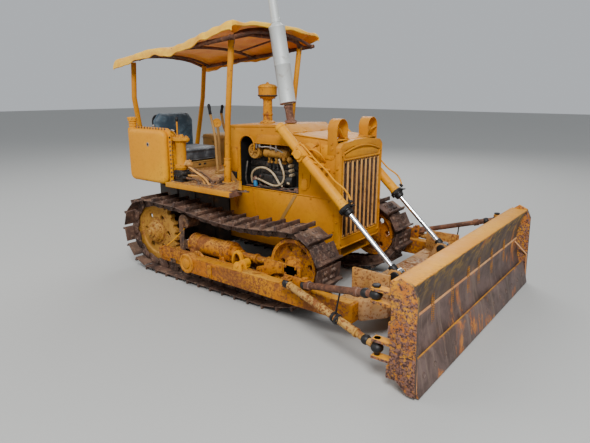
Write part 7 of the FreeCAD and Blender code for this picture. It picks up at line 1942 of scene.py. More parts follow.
@dataclass
class Stack:
    """The exhaust with its muffler, and the air pre-cleaner."""

    finishes: Finishes
    lean: float = math.radians(11)

    def build(self) -> None:
        """Build both stacks."""
        foot = at(1.163, -0.120, 1.324)
        up = Vector((-math.sin(self.lean), 0, math.cos(self.lean)))
        muffler = Workshop()
        muffler.turned(foot + up * 0.108, up, [
            (0.030, 0.030), (0.034, 0.040), (0.038, 0.054), (0.040, 0.0635), (0.046, 0.0655), (0.052, 0.0635), (0.056, 0.0620),
            (0.330, 0.0620), (0.332, 0.0632), (0.336, 0.0632), (0.338, 0.0620), (0.604, 0.0620), (0.610, 0.0640), (0.616, 0.0655),
            (0.622, 0.0635), (0.626, 0.056), (0.640, 0.040), (0.652, 0.035)], 44)
        muffler.weld(foot + up * 0.160 + Vector((0, -0.0620, 0)), foot + up * 0.715 + Vector((0, -0.0620, 0)), 0.0026)
        muffler.turned(foot + up * 0.755, up, [
            (0, 0.0342), (0.004, 0.0385), (0.030, 0.0385), (0.034, 0.0342), (0.150, 0.0342), (0.248, 0.0345), (0.255, 0.0345),
            (0.255, 0.0315), (0.150, 0.0312), (0.060, 0.031), (0.060, 0.0)], 36)
        muffler.finish("muffler_shell", self.finishes.muffler, Body.TRACTOR, Slot.STEEL, ("exhaust",))
        pipe = Workshop()
        pipe.turned(foot + up * -0.012, up, [
            (0, 0.0), (0, 0.0305), (0.020, 0.0305), (0.150, 0.0305), (0.155, 0.0335), (0.160, 0.0305)], 32)
        pipe.turned(foot - Vector((0, 0, 0.004)), Vector((0, 0, 1)), [
            (0, 0), (0, 0.043), (0.003, 0.046), (0.012, 0.046), (0.015, 0.043), (0.016, 0.036), (0.022, 0.033), (0.030, 0.031)], 32)
        for turn in range(4):
            angle = math.radians(45 + 90 * turn)
            pipe.bolt(foot + Vector((0.038 * math.cos(angle), 0.038 * math.sin(angle), 0.010)), Vector((0, 0, 1)), 0.0064, 0.008)
        pipe.turned(foot + up * 0.112, up, [(0, 0.0306), (0.002, 0.036), (0.022, 0.036), (0.024, 0.0306)], 32)
        pipe.bolt(foot + up * 0.124 + Vector((0, -0.036, 0)), Vector((0, -1, 0)), 0.006, 0.008)
        pipe.turned(foot + up * 0.144, up, [(0, 0.031), (0, 0.058), (0.003, 0.064), (0.010, 0.0655), (0.014, 0.0640)], 40)
        pipe.finish("exhaust_lower_pipe", self.finishes.rusty_pipe, Body.TRACTOR, Slot.STEEL)
        base = at(0.822, 0, 1.3025)
        up = Vector((0, 0, 1))
        cleaner = Workshop()
        cleaner.turned(base, up, [
            (0, 0), (0, 0.064), (0.004, 0.066), (0.010, 0.062), (0.016, 0.050), (0.024, 0.0400), (0.060, 0.0385), (0.064, 0.0425),
            (0.078, 0.0425), (0.082, 0.0385), (0.190, 0.0385), (0.196, 0.046), (0.204, 0.058), (0.214, 0.072), (0.224, 0.081),
            (0.230, 0.082), (0.232, 0.078), (0.234, 0.078), (0.286, 0.079), (0.288, 0.0825), (0.292, 0.0825), (0.300, 0.078),
            (0.312, 0.062), (0.318, 0.038), (0.320, 0.016), (0.326, 0.012), (0.326, 0)], 48)
        for turn in range(18):
            angle = 2 * math.pi * turn / 18
            spot = base + Vector((0.0605 * math.cos(angle), 0.0605 * math.sin(angle), 0.206))
            cleaner.block(spot - Vector((0.004, 0.0015, 0.008)), spot + Vector((0.004, 0.0015, 0.008)), 0,
                          Matrix.Rotation(angle + 0.7, 3, "Z"))
        cleaner.bolt(base + Vector((0.0, -0.0425, 0.071)), Vector((0, -1, 0)), 0.006, 0.010)
        cleaner.bolt(base + Vector((0, 0, 0.322)), up, 0.009, 0.010)
        for turn in range(6):
            angle = math.radians(60 * turn + 20)
            cleaner.bolt(base + Vector((0.056 * math.cos(angle), 0.056 * math.sin(angle), 0.008)), up, 0.0050, 0.006)
        cleaner.finish("precleaner_bowl", self.finishes.old_paint, Body.TRACTOR, Slot.PAINT, ("air_precleaner",))
        band = Workshop()
        band.turned(base + Vector((0, 0, 0.208)), up, [
            (0, 0.060), (0.004, 0.068), (0.010, 0.0775), (0.016, 0.0835), (0.021, 0.0835), (0.023, 0.079)], 44)
        band.finish("precleaner_louvre", self.finishes.dark_sheet, Body.TRACTOR, Slot.DARK)


@dataclass
class FuelTank:
    """The tank on the right fender: two pressed halves bolted along a seam."""

    finishes: Finishes
    front: float = 0.312
    rear: float = -0.172
    top: float = 1.252
    seam: float = 0.639

    def build(self, frame: dict) -> None:
        """Build the tank, its seam bolts, filler and fittings."""
        finishes = self.finishes
        right = -self.seam
        shell = Workshop()
        outer = rounded((self.rear, 0.812), (self.front, self.top), 0.058, 8)
        inner = rounded((self.rear + 0.008, 0.842), (self.front - 0.008, self.top - 0.006), 0.058, 8)
        shell.slab(outer, -0.704, -self.seam + 0.002, 0.034, 5)
        shell.slab(inner, -0.540, -self.seam + 0.002, 0.030, 5)
        shell.slab(rounded((self.rear - 0.015, 0.812), (self.front + 0.015, self.top + 0.015), 0.050, 8),
                   -self.seam, -self.seam + 0.0055, 0.001)
        shell.slab(rounded((self.rear - 0.015, 0.812), (self.front + 0.015, self.top + 0.015), 0.050, 8),
                   -self.seam + 0.0065, -self.seam + 0.012, 0.001)
        shell.lay(1, ("turned", (-0.152, -0.650, 1.206), Way.UP, [
            (0, 0.044), (0.046, 0.042), (0.050, 0.031), (0.060, 0.031), (0.062, 0.0345), (0.070, 0.0345), (0.072, 0.031),
            (0.084, 0.031), (0.086, 0.035), (0.094, 0.035), (0.096, 0.031), (0.104, 0.031)]),
            ("turned", (-0.152, -0.650, 1.310), Way.UP, [
                (0, 0.033), (0.001, 0.0385), (0.012, 0.0395), (0.014, 0.036), (0.028, 0.0365), (0.034, 0.030)]),
            ("bar", (0.066, -0.600, 1.244), (0.066, -0.600, 1.262), 0.014),
            *(("block", (x, -0.700, 0.826), (x + 0.040, -0.560, 0.842), 0.003) for x in (-0.120, 0.060, 0.220)))
        for index in range(8):
            angle = math.pi * index / 4
            x, y = -0.152 + 0.0375 * math.cos(angle), -0.650 + 0.0375 * math.sin(angle)
            shell.lay(1, ("bar", (x, y, 1.325), (x, y, 1.342), 0.0055, 8))
        shell.finish("fuel_tank_shell", finishes.bright_paint, Body.TRACTOR, Slot.PAINT, ("fuel_tank",), smooth=0.7)
        bolts = Workshop()
        rail, height = self.front + 0.0075, self.top - 0.058
        spots = [(rail, 0.838 + (height - 0.838) * step / 10) for step in range(11)]
        spots += [(self.rear - 0.0075, 0.838 + (height - 0.838) * step / 10) for step in range(11)]
        spots += [(-0.120 + 0.382 * step / 10, self.top + 0.0075) for step in range(11)]
        for x, z in spots:
            bolts.lay(1, ("bolt", (x, right, z), Way.IN, 0.0060, 0.006), ("bolt", (x, right + 0.012, z), Way.OUT, 0.0060, 0.010))
        bolts.finish("fuel_tank_bolts", finishes.wheels, Body.TRACTOR, Slot.STEEL)
        fittings = Workshop().lay(
            1, ("hexagon", (0.066, -0.600, 1.256), (0.066, -0.600, 1.268), 0.013), ("ball", (0.066, -0.600, 1.276), 0.010),
            ("pipe", [(0.276, -0.600, 1.238), (0.300, -0.600, 1.252), (0.322, -0.600, 1.248), (0.344, -0.600, 1.243)], 0.008),
            ("turned", (0.110, -0.7025, 1.130), Way.IN, [(0, 0.019), (0.002, 0.018), (0.0026, 0.012)]))
        fittings.finish("fuel_tank_fittings", finishes.steel, Body.TRACTOR, Slot.STEEL)
        # The black hexagon on the tank's outer face is painted shade: it stands for the inside of a hole in the shell.
        Workshop().lay(
            1, ("hexagon", (0.110, -0.7045, 1.131), (0.110, -0.7062, 1.131), 0.0105),
            ("bar", (0.343, -0.600, 1.2432), (0.352, -0.600, 1.2425), 0.0105),
            ("bar", (0.060, -0.700, 0.824), (0.060, -0.700, 0.822), 0.010)).finish(
            "fuel_tank_dark_bits", finishes.black, Body.TRACTOR, Slot.DARK)


@dataclass
class Valve:
    """The blade's control valve beside the tank, with its reservoir, lever and pipes."""

    finishes: Finishes
    x: float = 0.405
    y: float = -0.600

    def build(self) -> None:
        """Build the valve block, the reservoir over it and the tubes."""
        finishes, x, y = self.finishes, self.x, self.y
        body = Workshop().lay(1, ("block", (0.362, -0.642, 0.841), (0.448, -0.558, 0.938), 0.008),
                              ("block", (0.352, -0.650, 0.841), (0.458, -0.550, 0.853), 0.003))
        for across in (-0.622, -0.578):
            for z in (0.878, 0.914):
                body.lay(1, ("bar", (0.340, across, z), (0.470, across, z), 0.015, 16), ("hexagon", (0.466, across, z), (0.484, across, z), 0.014),
                         ("hexagon", (0.344, across, z), (0.330, across, z), 0.012))
        for along in (0.378, 0.405, 0.432):
            body.lay(1, ("hexagon", (along, -0.640, 0.892), (along, -0.656, 0.892), 0.012),
                     ("bar", (along, -0.652, 0.892), (along, -0.664, 0.886), 0.007, 12),
                     ("bolt", (along, -0.642, 0.922), Way.IN, 0.006, 0.005))
        body.finish("valve_body", finishes.engine, Body.TRACTOR, Slot.ENGINE, ("hydraulic_valve",))
        tower = Workshop().lay(
            1, ("turned", (x, y, 0.938), Way.UP, [
                (0, 0.046), (0.012, 0.050), (0.016, 0.0545), (0.036, 0.0545), (0.040, 0.050), (0.043, 0.043), (0.050, 0.0405),
                (0.190, 0.0405), (0.196, 0.0425), (0.228, 0.0445), (0.233, 0.052), (0.236, 0.064), (0.259, 0.064), (0.262, 0.061)], 40),
            ("plate", [(0.296, -0.588, 1.174), (0.306, -0.576, 1.174), (0.350, -0.566, 1.174), (0.460, -0.566, 1.174),
                       (0.494, -0.582, 1.174), (0.498, -0.600, 1.174), (0.494, -0.618, 1.174), (0.460, -0.634, 1.174),
                       (0.350, -0.634, 1.174), (0.306, -0.624, 1.174), (0.296, -0.612, 1.174)], Vector((0, 0, 0.022)), 0.003),
            ("turned", (x + 0.012, y, 1.198), Way.UP, [(0, 0.026), (0.010, 0.024), (0.013, 0.016), (0.024, 0.014)]),
            ("bar", (0.370, -0.600, 1.194), (0.370, -0.600, 1.216), 0.013), ("bar", (0.370, -0.600, 1.195), (0.370, -0.600, 1.335), 0.0062),
            ("block", (0.352, -0.607, 1.196), (0.392, -0.593, 1.210), 0.002),
            *(("weld", (x - 0.034, y - side * 0.026, 0.980), (x + 0.034, y - side * 0.026, 0.980), 0.004) for side in SIDES),
            ("block", (0.352, -0.630, 0.944), (0.366, -0.570, 0.972), 0.003))
        tower.ring(at(x, y, 1.200), Way.UP.value, 6, 0.050, 0.0072, 0.008, 0.3)
        tower.ring(at(x, y, 0.974), Way.UP.value, 6, 0.0485, 0.0055, 0.007, 0.1)
        for along in (0.314, 0.482):
            tower.lay(1, ("bolt", (along, -0.600, 1.196), Way.UP, 0.010, 0.012), ("bolt", (along, -0.600, 1.174), Way.DOWN, 0.010, 0.010))
        tower.finish("valve_reservoir", finishes.paint, Body.TRACTOR, Slot.PAINT)
        knob = Workshop().lay(1, ("turned", (0.370, -0.600, 1.322), Way.UP, [
            (0, 0.007), (0.006, 0.011), (0.016, 0.0135), (0.026, 0.0135), (0.034, 0.009), (0.037, 0.003)], 20))
        knob.finish("valve_knob", finishes.black, Body.TRACTOR, Slot.DARK, smooth=1.0)
        clamp = Workshop().lay(
            1, ("bar", (0.436, -0.604, 0.972), (0.476, -0.604, 0.996), 0.012), ("hexagon", (0.470, -0.606, 0.993), (0.490, -0.606, 0.997), 0.021),
            ("turned", (0.486, -0.606, 0.996), Way.FRONT, [(0, 0.018), (0.004, 0.023), (0.026, 0.023), (0.030, 0.017), (0.044, 0.015)], 24),
            ("bolt", (0.500, -0.624, 1.003), Way.IN, 0.007, 0.008), ("block", (0.476, -0.622, 1.004), (0.520, -0.592, 1.020), 0.003),
            ("bolt", (0.508, -0.604, 1.020), Way.UP, 0.006, 0.006))
        clamp.finish("valve_clamp", finishes.grille, Body.TRACTOR, Slot.PAINT)
        tubes = Workshop()
        rusty = Workshop()
        for shop, across, route in (
                (tubes, -0.606, ((0.496, 0.968), (0.528, 0.958), (0.613, 0.920), (0.707, 0.882), (0.729, 0.840))),
                (tubes, -0.590, ((0.468, 0.892), (0.520, 0.892), (0.584, 0.903), (0.645, 0.885), (0.661, 0.838))),
                (rusty, -0.574, ((0.474, 0.914), (0.540, 0.916), (0.622, 0.902), (0.668, 0.882), (0.684, 0.838))),
                (rusty, -0.622, ((0.474, 0.878), (0.530, 0.874), (0.590, 0.880), (0.624, 0.868), (0.634, 0.838))),
                (rusty, -0.560, ((0.450, 0.950), (0.540, 0.946), (0.650, 0.906), (0.700, 0.884), (0.712, 0.838)))):
            shop.lay(1, ("pipe", [(along, across, z) for along, z in route], 0.0085, True, 12),
                     ("hexagon", (route[-1][0], across, 0.840), (route[-1][0], across, 0.856), 0.014))
        tubes.finish("valve_tubes", finishes.grille, Body.TRACTOR, Slot.PAINT, smooth=1.2)
        rusty.lay(1, ("block", (0.610, -0.640, 0.8405), (0.745, -0.545, 0.846), 0.001),
                  ("pipe", [(0.352, -0.622, 0.900), (0.320, -0.622, 0.910), (0.322, -0.600, 0.880), (0.300, -0.580, 0.846)], 0.007, True, 12),
                  ("pipe", [(0.352, -0.578, 0.940), (0.330, -0.580, 1.010), (0.345, -0.590, 1.080), (0.372, -0.596, 1.110)], 0.005, True, 12))
        rusty.finish("valve_rusty_tubes", finishes.wheels, Body.TRACTOR, Slot.STEEL, smooth=1.2)


@dataclass
class Controls:
    """Steering levers, pedals, the box at the operator's left and the fittings round the floor."""

    finishes: Finishes

    def levers(self) -> None:
        """Two steering levers, the stick between them with its round plate, and the base."""
        sticks = Workshop().lay(
            1, ("block", (0.322, -0.164, 0.841), (0.380, 0.164, 0.856), 0.004), ("block", (0.330, -0.150, 0.852), (0.372, 0.150, 0.869), 0.005),
            ("pipe", [(0.350, -0.144, 0.852), (0.322, -0.130, 1.000), (0.300, -0.112, 1.140), (0.262, -0.098, 1.240), (0.237, -0.090, 1.300),
                      (0.217, -0.090, 1.362)], 0.0120, True, 12),
            ("pipe", [(0.350, 0.144, 0.852), (0.322, 0.130, 1.000), (0.250, 0.110, 1.130), (0.204, 0.098, 1.210), (0.190, 0.090, 1.280),
                      (0.173, 0.090, 1.370)], 0.0120, True, 12),
            ("pipe", [(0.236, 0, 0.846), (0.226, 0, 0.960), (0.222, 0, 1.090), (0.222, 0, 1.190), (0.214, 0, 1.246)], 0.0135, True, 16),
            ("turned", (0.236, 0, 0.841), Way.UP, [(0, 0.042), (0.004, 0.042), (0.012, 0.030), (0.030, 0.022), (0.046, 0.016)], 28),
            *(("bolt", (0.236 + 0.032 * math.cos(angle), 0.032 * math.sin(angle), 0.845), Way.UP, 0.006, 0.006) for angle in (0.8, 2.4, 3.9, 5.5)),
            *(("bolt", (along, across, 0.856), Way.UP, 0.007, 0.007) for along in (0.328, 0.374) for across in (-0.157, 0.157)))
        sticks.finish("lever_sticks", self.finishes.brown_box, Body.TRACTOR, Slot.PAINT, ("steering_levers",), smooth=1.2)
        facing = Vector((0.62, -0.78, 0.10)).normalized()
        disc = Workshop().turned(at(0.198, 0.010, 1.276), facing, [
            (0, 0.030), (0.004, 0.040), (0.014, 0.042), (0.018, 0.038), (0.016, 0.032), (0.018, 0.010), (0.024, 0.008)], 36)
        disc.ring(at(0.198, 0.010, 1.276) + facing * 0.015, facing, 4, 0.024, 0.0035, 0.003)
        disc.finish("lever_disc", self.finishes.bright_paint, Body.TRACTOR, Slot.PAINT)
        knobs = Workshop()
        for across, foot, tip in ((-0.090, (0.219, 1.356), (0.201, 1.450)), (0.090, (0.175, 1.364), (0.194, 1.440))):
            run = Vector((tip[0] - foot[0], 0, tip[1] - foot[1]))
            knobs.turned(at(foot[0], across, foot[1]), run, [
                (0, 0.011), (0.006, 0.0145), (0.040, 0.0125), (0.068, 0.0155), (run.length - 0.010, 0.0150), (run.length, 0.006)], 20)
        knobs.finish("lever_grips", self.finishes.black, Body.TRACTOR, Slot.DARK, smooth=1.0)

    def floor(self) -> None:
        """Pedals, tread bars, and the bolts, brackets and scraps round the posts' feet."""
        worn = Workshop()
        for side in SIDES:
            worn.lay(side, ("block", (0.560, 0.080, 0.960), (0.572, 0.170, 1.020), 0.004), *(
                ("block", (0.554, 0.086, z), (0.562, 0.164, z + 0.006), 0.001) for z in (0.970, 0.987, 1.004)),
                ("pipe", [(0.572, 0.125, 0.985), (0.600, 0.125, 0.960), (0.606, 0.125, 0.900), (0.600, 0.125, 0.842)], 0.009, True, 12),
                *(("bolt", (along, across, 0.840), Way.UP, 0.0085, 0.007) for along in (0.420, 0.560, 0.700, 0.860, 0.990)
                  for across in ((0.690,) if along > 0.75 else (0.300, 0.690))),
                ("block", (0.700, 0.372, 0.8405), (0.800, 0.470, 0.848), 0.003),
                ("plate", [(0.765, 0.395, 0.846), (0.765, 0.330, 0.846), (0.765, 0.395, 0.930)], Vector((0.008, 0, 0)), 0.002),
                ("weld", (0.722, 0.396, 0.849), (0.770, 0.396, 0.849), 0.005), ("weld", (0.722, 0.444, 0.849), (0.770, 0.444, 0.849), 0.005))
        for row in range(9):
            for column in range(12):
                x, y = -0.02 + 0.06 * row + 0.03 * (column % 2), -0.245 + 0.045 * column
                if x < 0.27 or abs(y) > 0.19:
                    worn.lay(1, ("block", (x, y, 0.8395), (x + 0.022, y + 0.007, 0.8425), 0.001))
        worn.finish("floor_fittings", self.finishes.brown_box, Body.TRACTOR, Slot.PAINT)
        Workshop().lay(1, ("plate", [(-0.490, -0.430, 0.8402), (-0.190, -0.600, 0.8402), (0.330, -0.600, 0.8402), (0.345, -0.680, 0.8402),
                                     (1.030, -0.690, 0.8402), (1.030, -0.590, 0.8402), (0.760, -0.300, 0.8402), (0.600, -0.290, 0.8402),
                                     (0.600, 0.290, 0.8402), (0.760, 0.300, 0.8402), (1.030, 0.590, 0.8402), (1.030, 0.690, 0.8402),
                                     (-0.190, 0.690, 0.8402), (-0.490, 0.430, 0.8402)], Vector((0, 0, 0.0015)), 0.0005)).finish(
            "floor_worn_plate", self.finishes.floor, Body.TRACTOR, Slot.PAINT)
        # The rusty strip over each fender's front fold is rust and painted shade: it darkens the fold where shade falls
        # below the front bracket.
        fold = Workshop()
        for side in SIDES:
            fold.lay(side, ("plate", [(1.0605, 0.722, 0.802), (1.0605, 0.586, 0.802), (1.0605, 0.586, 0.8395), (1.0605, 0.722, 0.8395)],
                            Vector((0.0025, 0, 0)), 0.0008))
        fold.finish("fender_front_fold_rust_and_shade", self.finishes.rusty_pipe, Body.TRACTOR, Slot.PAINT)
        rust = Workshop().lay(
            1, ("block", (0.752, -0.560, 0.841), (0.792, -0.488, 0.850), 0.003), ("block", (0.758, -0.552, 0.848), (0.764, -0.496, 0.880), 0.002),
            ("block", (0.600, -0.530, 0.841), (0.700, -0.500, 0.862), 0.004), ("bar", (0.610, -0.470, 0.850), (0.700, -0.430, 0.852), 0.009, 12),
            ("block", (0.640, -0.415, 0.841), (0.705, -0.385, 0.872), 0.005), ("hexagon", (0.668, -0.400, 0.872), (0.668, -0.400, 0.882), 0.010),
            ("pipe", [(0.625, -0.300, 0.846), (0.670, -0.350, 0.852), (0.720, -0.348, 0.850), (0.780, -0.360, 0.846)], 0.006, True, 12),
            ("block", (1.030, -0.690, 0.8405), (1.062, -0.640, 0.846), 0.002),
            ("plate", [(1.000, -0.640, 0.834), (1.066, -0.640, 0.834), (1.150, -0.600, 0.834), (1.130, -0.575, 0.834), (1.000, -0.590, 0.834)],
             Vector((0, 0, 0.006)), 0.002),
            *(("bolt", (x, y, 0.841), Way.UP, 0.009, 0.008) for x, y in ((1.040, -0.625), (1.110, -0.598), (0.800, -0.640))))
        rust.finish("floor_scraps", self.finishes.wheels, Body.TRACTOR, Slot.STEEL)

    def left_box(self, frame: dict) -> None:
        """The tool box with a lipped lid, hinges, a hasp and a handle."""
        low, high = (-0.330, 0.300), (0.010, 0.630)
        box = Workshop().copy_node(frame["nodes"]["left_box"], 0.012)
        box.lay(1, ("block", (low[0] - 0.006, low[1] - 0.006, 1.098), (high[0] + 0.006, high[1] + 0.006, 1.106), 0.002),
                ("plate", [(low[0] + 0.02, low[1] + 0.02, 1.131), (high[0] - 0.02, low[1] + 0.02, 1.131),
                           (high[0] - 0.02, high[1] - 0.02, 1.131), (low[0] + 0.02, high[1] - 0.02, 1.131)], Vector((0, 0, 0.003)), 0.002),
                *(("bar", (x, 0.638, 1.110), (x + 0.050, 0.638, 1.110), 0.006, 12) for x in (-0.290, -0.080)),
                *(("block", (x, 0.628, 1.080), (x + 0.046, 0.636, 1.126), 0.002) for x in (-0.288, -0.078)),
                ("block", (-0.180, 0.290, 1.062), (-0.140, 0.302, 1.124), 0.003), ("bolt", (-0.160, 0.291, 1.078), Way.IN, 0.007, 0.006),
                ("pipe", [(0.012, 0.420, 1.030), (0.040, 0.420, 1.030), (0.040, 0.510, 1.030), (0.012, 0.510, 1.030)], 0.006, False, 12),
                *(("bolt", (x, y, 0.841), Way.UP, 0.008, 0.007) for x in (-0.345, 0.025) for y in (0.34, 0.59)),
                *(("block", (x - 0.014, y - 0.014, 0.8405), (x + 0.014, y + 0.014, 0.846), 0.001) for x in (-0.345, 0.025) for y in (0.34, 0.59)))
        box.finish("left_box_shell", self.finishes.brown_box, Body.TRACTOR, Slot.PAINT, ("left_box",))

    def dash(self) -> None:
        """Instrument panel on the cowl's rear face and the sheet at the cowl's rear corner."""
        plain = Workshop()
        for side in SIDES:
            plain.lay(side, ("block", (0.652, 0.279, 0.918), (0.734, 0.2828, 1.118), 0.001), ("block", (0.750, 0.279, 0.846), (0.760, 0.284, 1.170), 0.002),
                      *(("bolt", (x, 0.2828, z), Way.OUT, 0.005, 0.004) for x in (0.662, 0.724) for z in (0.930, 1.105)),
                      ("block", (0.596, 0.238, 0.900), (0.604, 0.262, 1.262), 0.002))
        plain.lay(1, ("block", (0.590, -0.200, 1.060), (0.602, 0.200, 1.262), 0.004), ("block", (0.594, -0.215, 1.010), (0.602, 0.215, 1.060), 0.003),
                  *(("bolt", (0.590, y, z), Way.REAR, 0.005, 0.004) for y in (-0.19, 0.19) for z in (1.072, 1.250)))
        plain.finish("cowl_rear_sheets", self.finishes.old_paint, Body.TRACTOR, Slot.PAINT)
        dark = Workshop()
        for side in SIDES:
            dark.lay(side, ("block", (0.656, 0.279, 0.852), (0.722, 0.2822, 0.912), 0.001))
        for y, z, radius in ((-0.130, 1.170, 0.036), (-0.040, 1.185, 0.036), (0.050, 1.185, 0.036), (0.140, 1.170, 0.036)):
            dark.lay(1, ("turned", (0.590, y, z), Way.REAR, [
                (0, radius), (0.008, radius), (0.012, radius - 0.004), (0.008, radius - 0.007), (0.007, 0.004), (0.010, 0.003)], 28),
                ("block", (0.5815, y - 0.001, z), (0.5825, y + 0.001, z + 0.024), 0))
        dark.lay(1, *(("bar", (0.590, y, 1.096), (0.570, y, 1.096), 0.008, 16) for y in (-0.120, -0.060, 0.060, 0.120)),
                 ("pipe", [(0.600, 0.010, 1.030), (0.560, 0.020, 1.000), (0.585, 0.030, 0.940), (0.602, 0.030, 0.900)], 0.006, True, 12))
        dark.finish("instruments", self.finishes.black, Body.TRACTOR, Slot.DARK)
        red = Workshop()
        for side in SIDES:
            red.lay(side, ("block", (0.648, 0.279, 0.802), (0.722, 0.2820, 0.838), 0.001), ("block", (0.648, 0.279, 0.765), (0.722, 0.2815, 0.800), 0.001))
        red.finish("cowl_foot_patches", self.finishes.rusty_pipe, Body.TRACTOR, Slot.STEEL)

    def build(self, frame: dict) -> None:
        """Build everything round the operator's place."""
        self.levers()
        self.floor()
        self.left_box(frame)
        self.dash()


@dataclass
class BladeWork:
    """Welds, bolts and gussets of the blade, set on the faces that a ray finds."""

    finishes: Finishes
    half: float = 1.073
    pin_x: float = 2.468

    def face(self, tree: BVHTree, y: float, z: float, way: int = -1) -> Vector:
        """Where a ray along the machine meets a surface; `way` is -1 from the front and 1 from the rear."""
        start = at(4.0 if way < 0 else 2.2, y, z)
        found = tree.ray_cast(start, Vector((way, 0, 0)))[0]
        return found if found is not None else at(self.pin_x + 0.2, y, z)

    def front(self, blade: BVHTree, edge: BVHTree) -> None:
        """Bead over the wear plate and bolts of the cutting edge."""
        bead = Workshop()
        level = 0.373
        places = [self.face(blade, -self.half + 2 * self.half * step / 12, level) for step in range(13)]
        for start, end in zip(places, places[1:]):
            bead.bar(start, end, 0.0085, 10, 0)
        for side in SIDES:
            low = at(self.pin_x + 0.262, side * (self.half - 0.001), 0.250)
            bead.bar(self.face(blade, side * (self.half - 0.075), level), low, 0.0065, 10, 0)
            bead.bar(low, at(self.pin_x + 0.275, side * (self.half - 0.001), 0.030), 0.0045, 10, 0)
        bead.finish("blade_weld_bead", self.finishes.bead, Body.PUSH_FRAME, Slot.BLADE, smooth=1.0)
        bolts = Workshop()
        for index in range(14):
            y = -0.975 + 0.150 * index
            spot = self.face(edge, y, 0.095)
            bolts.turned(spot - Vector((0.006, 0, 0)), Vector((1, 0, 0.24)), [
                (0, 0.017), (0.0065, 0.017), (0.0075, 0.0145), (0.0055, 0.0130), (0.0052, 0.0040)], 18)
        bolts.finish("cutting_edge_bolts", self.finishes.track, Body.PUSH_FRAME, Slot.EDGE)

    def top_strip(self) -> None:
        """The bright top plate between the ends, with welds at its ends."""
        strip = Workshop().lay(
            1, ("plate", [(2.576, -self.half, 0.6225), (2.700, -self.half, 0.6225), (2.700, self.half, 0.6225), (2.576, self.half, 0.6225)],
                Vector((0, 0, 0.003)), 0.001))
        for side in SIDES:
            strip.lay(side, ("weld", (2.580, self.half, 0.626), (2.695, self.half, 0.626), 0.005))
        strip.finish("blade_top_plate", self.finishes.bright_paint, Body.PUSH_FRAME, Slot.BLADE)

    def back(self, blade: BVHTree) -> None:
        """Welds beside the ribs, small gussets under the upper box and washers on the box."""
        work = Workshop()
        spacing = (1.095 - 0.020) * 0.272
        for place in (-2.35, -1.32, -0.35, 0.35, 1.32, 2.35):
            for side in SIDES:
                y = spacing * place + side * 0.010
                foot, head = self.face(blade, y + side * 0.003, 0.160, 1), self.face(blade, y + side * 0.003, 0.500, 1)
                work.weld(foot, head, 0.005)
            y = spacing * place
            work.lay(1, ("slab", [(2.560, 0.470), (2.600, 0.470), (2.600, 0.540), (2.566, 0.558)], y - 0.030, y - 0.016, 0.002),
                     ("bolt", (2.5635, y + 0.050, 0.590), Way.REAR, 0.011, 0.010))
        for z in (0.5625, 0.618):
            work.weld(self.face(blade, -1.06, z - 0.004, 1), self.face(blade, 1.06, z - 0.004, 1), 0.0045)
        work.finish("blade_back_welds", self.finishes.old_paint, Body.PUSH_FRAME, Slot.BLADE)

    def build(self, frame: dict) -> None:
        """Dress the blade."""
        trees = []
        for name in ("blade", "cutting_edge"):
            shape = bmesh.new()
            shape.from_mesh(frame["nodes"][name].data)
            trees.append(BVHTree.FromBMesh(shape))
            shape.free()
        self.front(trees[0], trees[1])
        self.top_strip()
        self.back(trees[0])


